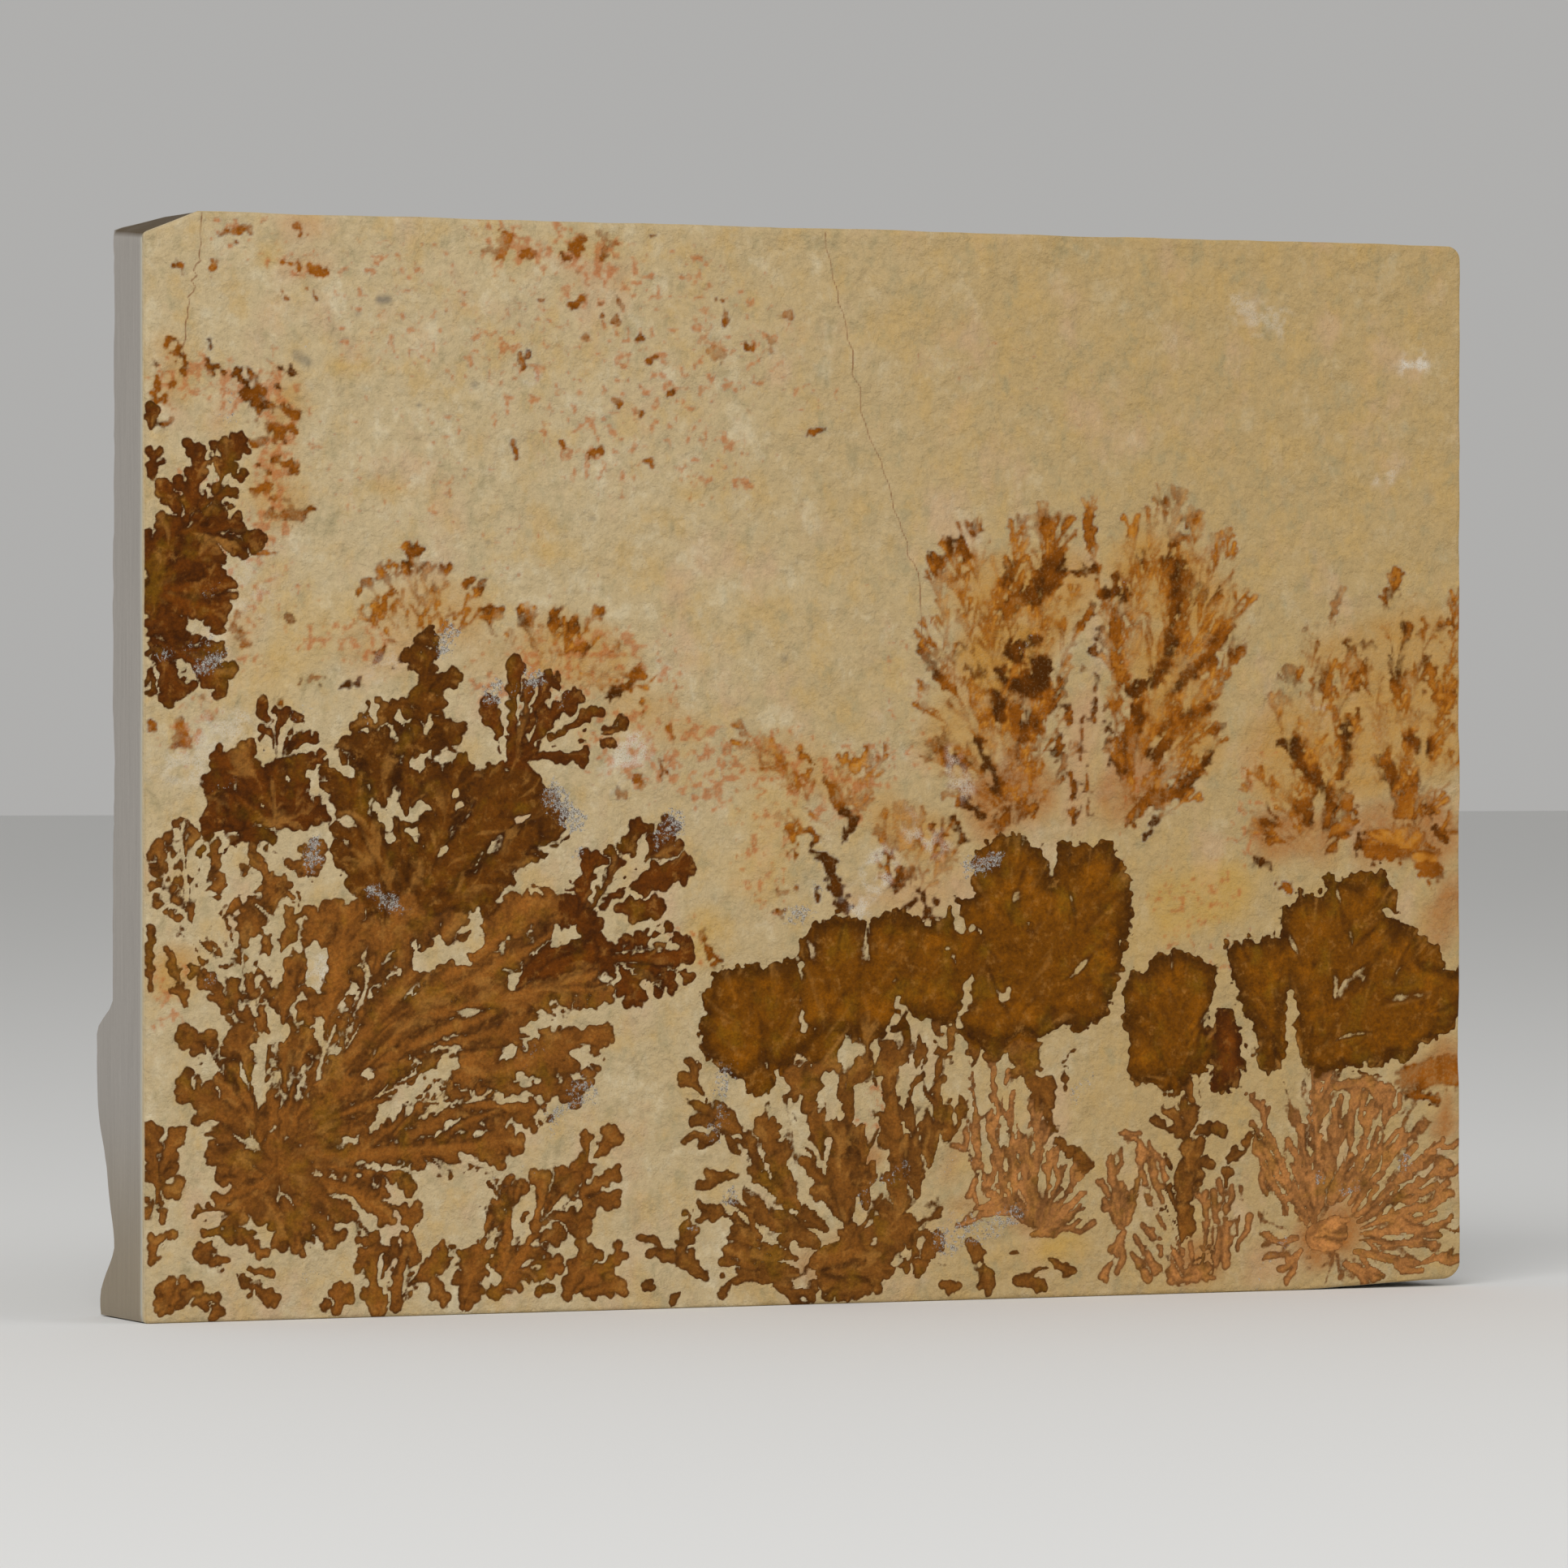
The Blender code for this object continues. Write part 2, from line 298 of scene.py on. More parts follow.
BOTTOM_LEFT = Colony(
    LEAF,
    13,
    (
        (18.4, 0.6, 18.6, 2.9, 1, 0.8), (18.2, 1.5, 16.9, 1.2, 0.7, 0.5), (22.5, 0.5, 21.8, 6.3, 1.6, 1.3),
        (22.5, 3, 23.3, 5.8, 1.2, 0.7), (21.5, 3.2, 20.6, 3.7, 0.6, 0.5), (24, 1, 24.9, 6.6, 1.5, 0.8),
        (25, 2, 26.8, 8, 0.9, 0.9), (26, 3.5, 29.2, 6, 1, 1.1), (27.8, 3, 29, 1.2, 0.9, 0.9),
        (31, 1, 33.6, 9.2, 1.6, 1.2), (34, 2, 37.5, 7, 2, 1.4), (37, 6.2, 40.5, 7.1, 0.8, 0.6),
        (36, 4, 37.9, 3.6, 0.8, 0.5), (34.5, 3, 36.2, 11.8, 1.8, 1.1), (35.8, 8, 35.6, 11.8, 1.2, 1.1),
        (37.5, 7.5, 38.8, 12.6, 1.2, 1), (38.5, 8.5, 40.2, 13.2, 0.8, 0.6), (39, 9, 41.8, 12.4, 0.9, 0.7),
        (39, 8.8, 46.2, 12.8, 0.7, 0.7), (43, 10.5, 46, 10.2, 0.5, 0.7), (40, 9, 43, 7.9, 1.1, 0.9),
        (43, 12, 43, 16.3, 0.9, 0.6), (43.5, 14, 46, 16.2, 0.9, 1), (41, 1.5, 42.9, 5.9, 1.2, 0.7),
        (42, 2, 46.5, 5.3, 1.2, 0.6), (42.5, 1.8, 46.5, 2.2, 1, 0.5), (39.5, 2.2, 38, 2, 0.8, 0.5),
    ),
)
LEFT_MASS = Colony(
    LEAF,
    14,
    (
        (30, 19, 38.5, 18.5, 1.4, 1), (38.2, 18.6, 38.7, 17.4, 0.8, 0.7), (33, 21, 43.2, 20.7, 1.3, 0.6),
        (34, 22, 45, 25.5, 1.6, 1.2), (41.5, 24, 43.8, 22.4, 0.9, 0.8), (18, 22, 30, 36, 1.8, 1.8),
        (22, 26, 38, 38.5, 1.6, 1.6), (24, 27, 44, 31, 1.4, 1.3), (24, 28, 40, 35, 1.4, 1.3),
        (38, 30, 45.2, 28.9, 1.4, 1), (17, 18, 33, 24, 1.6, 1.2),
    ),
    heart=(22, 27),
    solid_to=6,
    parted_from=16,
)
CLUMP = Colony(
    DARK,
    15,
    (
        (12, 43.8, 5.8, 44.6, 1, 0.9), (12, 45, 7, 49, 1.2, 1.2), (12.3, 46, 9.5, 51.5, 1, 1.2),
        (12.5, 46, 13, 55, 1.2, 1), (13, 45, 17.5, 46.2, 0.9, 0.9), (9, 49.5, 6.6, 51.2, 1.1, 0.9),
        (12.5, 50, 11.2, 56.3, 1.2, 0.5), (13, 51, 14.8, 54.5, 1, 0.7), (13.5, 51, 15.8, 53, 0.9, 0.6),
        (9, 44, 8, 48, 1.6, 1.5), (14.5, 47, 15.3, 51.5, 1, 1),
    ),
    heart=(12.5, 45.5),
    solid_to=3,
    parted_from=6,
)
CROWN = Colony(
    CROWN_LEAF,
    20,
    (
        (24, 38, 18.6, 50.4, 1.5, 1.9), (25, 39, 21.6, 52.6, 1.6, 2.3), (25, 40, 26.4, 53.4, 1.5, 2),
        (27, 40, 30.6, 50.6, 1.8, 1.7), (27, 38, 35.6, 47, 2.2, 3.8), (28, 37, 37.6, 44.2, 1.8, 2.1),
        (23, 36, 19.6, 44.4, 1.5, 2), (27, 53, 27.4, 60.5, 0.9, 0.9), (27.4, 57, 30.2, 58.6, 0.6, 1),
        (26.4, 61.4, 28, 62, 1.1, 0.9), (27.4, 54.6, 30.4, 53, 0.8, 0.9), (20, 53.6, 25, 55.4, 1, 0.9),
    ),
    heart=(26, 38),
    solid_to=2,
    parted_from=9,
)
DOMES = Colony(
    MASSIF,
    16,
    (
        (60.5, 21.5, 57.6, 28, 1.5, 2.6), (62, 22, 61.4, 28.8, 1.4, 2.2), (66.5, 24, 68, 32.4, 1.6, 3.2),
        (71.5, 26, 73.4, 33.4, 1.3, 2.2), (77, 28, 78.4, 33, 1.2, 2), (87, 28, 85.8, 39.8, 1.8, 3.2),
        (91, 29, 94.6, 38.8, 1.8, 3.3), (88, 29, 94.6, 30.4, 2, 2.6), (87, 28, 88, 34, 3, 3),
        (103.5, 20.5, 103.8, 28.6, 1.2, 3), (104, 20.5, 106.4, 23.6, 1, 1.2),
        (102.5, 20.5, 99.2, 23.2, 1, 1.7), (115, 22, 113.2, 30.6, 1, 2.4), (117, 24, 118, 34.6, 1.6, 2.6),
        (119, 24, 123.8, 36.6, 1.8, 2.9), (119.5, 23, 128.4, 30.2, 1.8, 3.2),
        (122, 22.5, 131.6, 26.6, 1, 2),
    ),
)
CROWN_FAN = Colony(
    DARK,
    17,
    (
        (35.3, 51, 33.2, 56, 0.6, 0.9), (35.5, 51, 35.8, 59.3, 0.6, 0.8), (36, 51, 37.2, 57.5, 0.5, 0.8),
        (36.3, 51, 39.5, 58.2, 0.5, 0.7), (36.5, 51, 41.9, 56.6, 0.5, 0.9), (37, 51, 44, 55.3, 0.5, 0.6),
        (38, 51.8, 46.8, 54, 0.5, 0.55), (42, 53.2, 45.8, 52, 0.5, 0.45), (37.5, 51, 42.8, 50.8, 0.6, 0.8),
    ),
    heart=(36, 50.5),
    solid_to=1.5,
    parted_from=2.5,
)
MAPLE_FAN = Colony(
    DARK,
    18,
    (
        (42, 36, 43.5, 41.8, 0.8, 1), (43, 36.5, 46, 42, 0.8, 0.9), (44, 37.5, 48.3, 44.7, 0.8, 1),
        (44.5, 38, 53, 41, 0.9, 1.3), (45, 38.5, 51.5, 44.5, 0.7, 0.9), (46, 37, 50.2, 37.2, 0.8, 1),
        (42, 33, 53, 32.8, 1, 1.8), (45, 32.5, 50.5, 34.8, 0.9, 1), (46, 32, 52, 30.6, 1, 1.2),
        (46, 31.8, 48.5, 28.6, 0.9, 1.2), (36, 30, 43, 36.5, 1.8, 1.6), (38, 31, 44, 33, 1.8, 1.5),
    ),
    heart=(41, 33),
    solid_to=2.5,
    parted_from=5,
)
CENTRE = Colony(
    THICK,
    19,
    along(
        (66, 4, 1.6, 70.5, 5.4, 2, 75.5, 7, 1.8), (67, 3, 1.2, 75, 3.4, 1.2),
        (76.4, 2.6, 1.2, 77.2, 6, 1.6), (71, 1.6, 1.6, 67, 1.6, 1.4),
        (66, 5.6, 1.2, 63, 7, 0.8, 60.4, 8.3, 0.5),
        (67, 7, 1, 64.6, 8.8, 0.6, 61.5, 11, 0.8, 59.2, 12.8, 0.6),
        (68.5, 8, 0.9, 66.8, 11.2, 0.9, 64.8, 13.6, 0.6), (63.6, 10.4, 0.8, 61.6, 14, 1, 60.4, 17.3, 0.6),
        (60.6, 12.8, 0.6, 58.6, 16, 1, 55.4, 18.2, 0.9, 53.2, 19.6, 0.5), (56, 17.6, 0.7, 53.4, 17.2, 0.5),
        (56.6, 16, 0.6, 54, 15, 0.5), (55, 19, 0.5, 52.4, 21.6, 0.6), (58.2, 12.2, 0.3, 55, 12.4, 0.6),
        (60.4, 6.4, 0.5, 57.4, 8.4, 0.7, 54, 9.4, 0.5), (64, 4.4, 0.7, 60.4, 5.6, 0.4, 57.6, 6.8, 0.5),
        (64, 3, 0.8, 60, 3.6, 0.4, 56.2, 4.4, 0.5), (60.6, 2.2, 0.4, 57.6, 3.6, 0.4),
        (57.4, 3, 0.4, 56.4, 0.8, 0.5), (62, 1.8, 0.4, 66, 1, 0.6),
        (54.8, 2.6, 0.7, 52.2, 5, 0.9, 53.8, 7.4, 0.4), (52, 4.8, 0.6, 49.3, 5.4, 0.5),
        (52, 1.2, 0.4, 51.4, 0.6, 0.3), (49.6, 2, 0.3, 48.7, 2.3, 0.4),
        (69.2, 8, 1.6, 68.4, 13.5, 1.9, 68.6, 16.8, 0.9),
        (66.6, 13.6, 0.8, 65, 17.6, 1.2, 65.6, 21, 0.9, 67.4, 23.2, 1.5),
        (62.6, 21.8, 1.8, 64.6, 20.6, 1.4), (69.4, 16.6, 0.7, 69.4, 20, 0.6, 70.6, 22.6, 0.7),
        (71, 9, 0.9, 70.8, 13, 0.7, 70.4, 16.4, 0.8),
        (74.6, 9, 1.3, 74.4, 15, 1, 73.6, 19.5, 0.9, 73.4, 24, 1.3),
        (76.4, 10, 0.7, 76, 15.6, 0.7, 75.5, 18.6, 0.4), (75.5, 18.6, 0.4, 76.3, 21.6, 0.4, 77, 24.6, 0.6),
        (77.2, 20.5, 0.3, 77.6, 23, 0.4), (77.6, 12.6, 0.4, 78.5, 16.6, 0.5),
        (78.5, 16.6, 0.5, 78.2, 20.6, 0.6, 78.8, 25, 0.7), (80.4, 16.6, 0.7, 79.2, 15.4, 0.6),
        (80.8, 17.8, 0.5, 80.5, 18.3, 0.4), (80.4, 22.4, 0.4, 80.8, 21.6, 0.4),
        (82.2, 22, 0.5, 82.3, 25, 0.7), (83.6, 24.5, 0.8, 84.8, 22.8, 0.9),
        (87.6, 26, 1.8, 87.8, 21.2, 1.4, 90, 18.6, 1.2), (92.6, 23, 0.7, 91.8, 21.4, 0.5, 92.4, 19.5, 0.4),
        (81.8, 5.4, 0.7, 83.2, 3.6, 1.1, 83.8, 1.2, 1.2), (79, 1.6, 0.6, 80.6, 1.2, 0.5),
        (86.8, 1.6, 0.7, 89.6, 1.4, 0.7), (90.1, 3.4, 0.6, 92.4, 2.2, 0.6),
        (85.9, 4.2, 0.3, 86.8, 4.4, 0.3), (91, 14.8, 0.6, 92.8, 13.6, 0.8, 94, 12, 0.8),
    ),
)
FANS = Colony(
    FINGER,
    21,
    along(
        (88.4, 6.6, 0.5, 86.6, 9.5, 0.4, 86.1, 15.5, 0.4, 86.4, 19.5, 0.4),
        (88, 6.8, 0.4, 85.2, 9.5, 0.3, 84.2, 15, 0.4, 83.9, 18, 0.4, 84.6, 21.5, 0.6),
        (87, 8, 0.3, 84, 10, 0.3, 82.4, 15, 0.5, 82.6, 18.5, 0.3, 81.8, 22.5, 0.4),
        (88.6, 6.8, 0.4, 87.6, 11, 0.3, 87.1, 14.5, 0.3, 87.6, 17.2, 0.3),
        (88.8, 6.8, 0.5, 88.5, 11, 0.4, 88.9, 15.5, 0.4, 88.2, 18.6, 0.5),
        (89.2, 6.8, 0.4, 89.8, 10.5, 0.3, 90.3, 13.8, 0.5),
        (89.4, 6.8, 0.4, 90.6, 9.8, 0.3, 91.6, 12.4, 0.4), (89.6, 6.6, 0.3, 91.3, 9, 0.25, 93.2, 11.4, 0.3),
        (89.8, 6.5, 0.3, 91.8, 8.4, 0.25, 93.6, 9.9, 0.25), (90, 6.3, 0.3, 92, 7.6, 0.25, 93.8, 8.5, 0.25),
        (88.2, 6, 0.5, 90.5, 6.1, 0.4, 93.2, 7.2, 0.3),
        (80, 14.5, 0.3, 81.6, 14, 0.3, 82.6, 11.8, 0.4, 81.6, 9.6, 0.3),
        (80.5, 7, 0.3, 83, 7.8, 0.3, 86.5, 8.2, 0.3), (97.4, 6.6, 0.8, 96.6, 9, 0.35, 95.4, 11, 0.3),
        (97.4, 6.8, 0.7, 96.8, 10, 0.4, 96.6, 13.8, 0.5, 97.2, 15.4, 0.7), (97.8, 6.8, 0.5, 98, 10, 0.3),
        (98.2, 6.8, 0.4, 98.9, 10, 0.3), (97.8, 6, 0.5, 96.8, 3.6, 0.4, 95.6, 1.6, 0.4),
        (97.2, 15.4, 0.7, 99.4, 14.6, 0.6, 99.9, 12.2, 0.5, 100.2, 10, 0.3, 101, 8, 0.3, 103, 5.6, 0.4),
        (100.6, 14.4, 0.25, 101, 11, 0.3, 102.6, 7.6, 0.3, 104.2, 4, 0.4),
        (98.6, 4, 0.2, 99.8, 2.6, 0.35, 100.4, 1.4, 0.4), (99, 5.6, 0.2, 100.2, 4.2, 0.3, 101.4, 2.2, 0.4),
        (99.8, 6.6, 0.5, 101.4, 5, 0.35, 102.6, 3.2, 0.35), (102.8, 4.5, 0.9, 104, 1.5, 1.2, 107, 2.5, 1),
        (107.4, 2, 0.5, 107.8, 6, 0.35, 107.4, 9.8, 0.3), (108.8, 2.6, 0.5, 109, 7, 0.3, 108.6, 9.6, 0.3),
        (110, 4, 0.3, 110.4, 8, 0.3, 110.2, 10.2, 0.3), (106.2, 3, 0.5, 106.6, 7, 0.3, 106.4, 9.4, 0.25),
        (111.8, 15, 0.5, 112.4, 12.6, 0.4, 113.8, 10.2, 0.3, 115.4, 7.4, 0.4),
        (118, 5, 1.6, 120.5, 5.5, 2.2),
        (118.2, 6.5, 0.5, 117.2, 9.5, 0.35, 116.4, 12.6, 0.3, 115.2, 14.2, 0.3),
        (117.4, 6.5, 0.4, 115.6, 9.6, 0.35, 114.6, 12.4, 0.3, 113, 15.6, 0.4, 112.6, 18, 0.4),
        (118.4, 7.5, 0.6, 117.8, 11.2, 0.4, 116.8, 15.6, 0.7),
        (118.8, 8, 0.6, 118.5, 12, 0.5, 118.3, 17, 0.4, 118.6, 21, 0.5),
        (
            118.5, 15, 0.4, 119.1, 18.2, 0.35, 120.1, 19.4, 0.35, 122.4, 19.8, 0.35, 124.8, 19.4, 0.45,
            126.6, 19.2, 0.5,
        ),
        (120, 8.5, 0.7, 121, 10.8, 0.6, 121.9, 13.2, 0.5, 122.1, 17, 0.4, 122.9, 19.2, 0.5),
        (121, 8.5, 0.5, 122.8, 11, 0.6, 123.6, 14.4, 0.45, 124.3, 17.8, 0.4),
        (120.6, 13, 0.4, 120.4, 16, 0.35, 121, 17.8, 0.3),
        (122, 8.2, 0.4, 124.4, 11.6, 0.4, 125.8, 15.2, 0.4, 126.6, 18.8, 0.6),
        (122.4, 7.6, 0.4, 125.4, 11, 0.4, 128, 14.6, 0.45),
        (122.8, 7, 0.4, 126.6, 9.8, 0.4, 130, 12.6, 0.35, 132.2, 14, 0.3),
        (123, 6.4, 0.4, 127.4, 9, 0.5, 130.4, 10.4, 0.35, 132.8, 12, 0.3),
        (123.2, 5.8, 0.3, 127, 7.2, 0.3, 130.6, 7.6, 0.5, 133, 9, 0.3),
        (123.2, 5.2, 0.3, 127.6, 5.6, 0.35, 130, 5.2, 0.5, 133, 6.4, 0.35),
        (123, 4.6, 0.3, 127, 4.2, 0.3, 131, 3.8, 0.3),
        (122.6, 3.6, 0.4, 126, 2.6, 0.3, 129.6, 2.2, 0.35, 132.4, 3, 0.3), (121.6, 2.4, 0.4, 125, 1, 0.35),
        (116.8, 3.8, 0.4, 114.6, 2, 0.3), (116.4, 5, 0.4, 114.4, 4.6, 0.25, 112.6, 5.6, 0.25),
    ),
)
TRUNKS = Colony(
    THICK,
    25,
    along(
        (104, 5, 1.2, 104.2, 8.5, 1.5, 104.8, 11.5, 1, 105, 15, 0.6, 105.4, 18, 0.6, 104.6, 20.6, 1.2),
        (103.4, 8, 0.8, 102.6, 10.4, 0.7), (102.4, 13.2, 0.3, 102.8, 11.6, 0.4),
        (105.2, 15.2, 0.5, 107, 15.6, 0.5, 108.8, 15.2, 0.5),
        (105, 14.6, 0.4, 102.6, 16, 0.4, 100.8, 16.7, 0.4),
        (105.4, 10.6, 0.6, 106.2, 12, 0.7, 107.2, 12.6, 0.5),
        (108.8, 10.2, 0.5, 109, 12.2, 0.7, 110.4, 13.6, 0.5, 111.8, 15.2, 0.7),
        (113.6, 24, 1.6, 113.4, 21.4, 1.2), (109, 24.5, 1.6, 109, 21.2, 1.7),
    ),
)
SIDE_MASS = Colony(
    DARK,
    23,
    (
        (0.3, 66, 6.8, 69.8, 1.6, 1.3), (0.3, 66, 8, 66.5, 1.6, 1.4), (0.3, 66, 7.4, 63.6, 1.6, 1.2),
        (0.5, 66, 3, 72, 1.6, 1.5), (0.4, 66, 2.6, 60.5, 1.5, 1.3), (2.5, 71, 9, 71.8, 1.3, 0.9),
        (7, 71, 11.4, 70.4, 0.7, 0.6), (7, 70.4, 9.8, 69, 0.6, 0.5), (4, 72, 5.8, 78.6, 1.2, 1),
        (6, 73, 8.8, 79.6, 1.2, 0.7), (3.5, 73, 1.2, 75.2, 1, 0.8), (5.5, 73.5, 8.6, 75, 1.2, 1.1),
        (0.6, 76.2, 1.2, 78.4, 0.8, 0.6), (0.6, 80.4, 0.9, 82.4, 0.5, 0.5), (1, 61.5, 7.6, 57.6, 1.5, 1.2),
        (1, 60.5, 3.5, 56.6, 1.4, 1.2), (2, 60.5, 7.4, 60.8, 1.2, 0.8), (0.6, 59, 0.8, 56.6, 0.8, 0.7),
    ),
    heart=(0.5, 66),
    solid_to=5,
    parted_from=8,
)
SPRAYS = (
    Colony(
        PLUME,
        31,
        fan(
            (26.5, 59.5),
            2.5,
            (
                (21.5, 67, 0.8), (23.3, 68.5, 0.8), (25.7, 70.2, 0.9), (27.5, 68.3, 0.8), (29.2, 68.2, 0.8),
                (31, 66.8, 0.8), (32.7, 66.9, 0.7), (34, 64.5, 0.7), (20.5, 64, 0.7),
            ),
        )
        + fan(
            (39, 56),
            3,
            (
                (37, 64.8, 0.9), (39.8, 64.6, 0.9), (41.7, 63.8, 0.8), (44, 64.5, 0.7), (44.5, 62, 0.7),
                (46.2, 61, 0.7), (48.5, 59, 0.7), (50.2, 58, 0.6), (35, 62, 0.7),
            ),
        ),
    ),
    Colony(
        PLUME,
        32,
        fan(
            (86.5, 43),
            3,
            (
                (77, 63, 1.2), (76.5, 57.5, 1.1), (77.5, 52, 1), (78, 69, 1.2), (79.8, 71, 1.1),
                (82, 72.3, 1.2), (84.5, 67, 1.3), (87, 72.8, 1.2), (89.3, 74, 1.2), (91.5, 73, 1.1),
                (88.5, 63, 1.3), (92.5, 66.5, 1.1), (85, 59, 1.5), (82, 57, 1.3), (90, 56.5, 1.2),
                (79.5, 48, 1), (81.5, 52.5, 1.3), (92.6, 52, 0.7),
            ),
        ),
    ),
    Colony(
        PLUME,
        33,
        fan(
            (98.5, 43.5),
            3,
            (
                (94.2, 74.5, 0.8), (96.4, 67.5, 0.8), (98.8, 73, 1.1), (101.5, 73.5, 1.1),
                (103.5, 75.5, 1.1), (105.5, 73.7, 1.1), (108.5, 72, 1.1), (109.6, 70.5, 1),
                (110.3, 66.5, 1), (111.3, 64.5, 0.9), (110, 61, 1.2), (106.5, 66, 1.3), (103, 68, 1.4),
                (102.5, 61.5, 1.3), (107.5, 57.5, 1.2), (108.5, 53.2, 0.9), (105.8, 50.5, 1),
                (106, 47, 0.8), (100.8, 57, 1.3), (97, 60, 0.9),
            ),
        ),
    ),
    Colony(
        PLUME,
        34,
        fan(
            (127.5, 41),
            4,
            (
                (133.5, 66.5, 1), (130.8, 64, 1.1), (127.8, 63, 1), (126.6, 68.6, 0.9), (123, 60.8, 1.1),
                (133, 58, 1.2), (129.6, 57, 1.2), (125.5, 55.5, 1.1), (133.5, 51, 1.1), (130.5, 49.5, 1.2),
                (125, 49, 1), (133.8, 45, 0.9),
            ),
        )
        + fan(
            (119, 40.5),
            3,
            (
                (110, 52.5, 0.9), (110.5, 48, 0.9), (111.5, 44.5, 0.9), (113.5, 56.5, 0.9), (115.8, 59, 1),
                (118, 63, 0.9), (120.5, 66.6, 0.8), (121.8, 60.5, 0.9), (117.5, 53, 1), (122.5, 54.5, 0.9),
                (114, 49, 1),
            ),
        ),
    ),
    Colony(
        PLUME,
        35,
        fan(
            (76, 37),
            1.5,
            (
                (72.5, 44.5, 0.9), (74.8, 46.5, 0.9), (77, 46, 0.9), (79.5, 45, 0.8), (80.5, 42, 0.8),
                (72, 41.5, 0.7),
            ),
        )
        + fan(
            (68.8, 42.5),
            1.5,
            (
                (58, 54, 0.7), (61.5, 51.5, 0.7), (65, 49.5, 0.8), (68.5, 51, 0.8), (71.5, 50.5, 0.7),
                (73.5, 52.5, 0.6), (62, 45.5, 0.7),
            ),
        ),
    ),
)

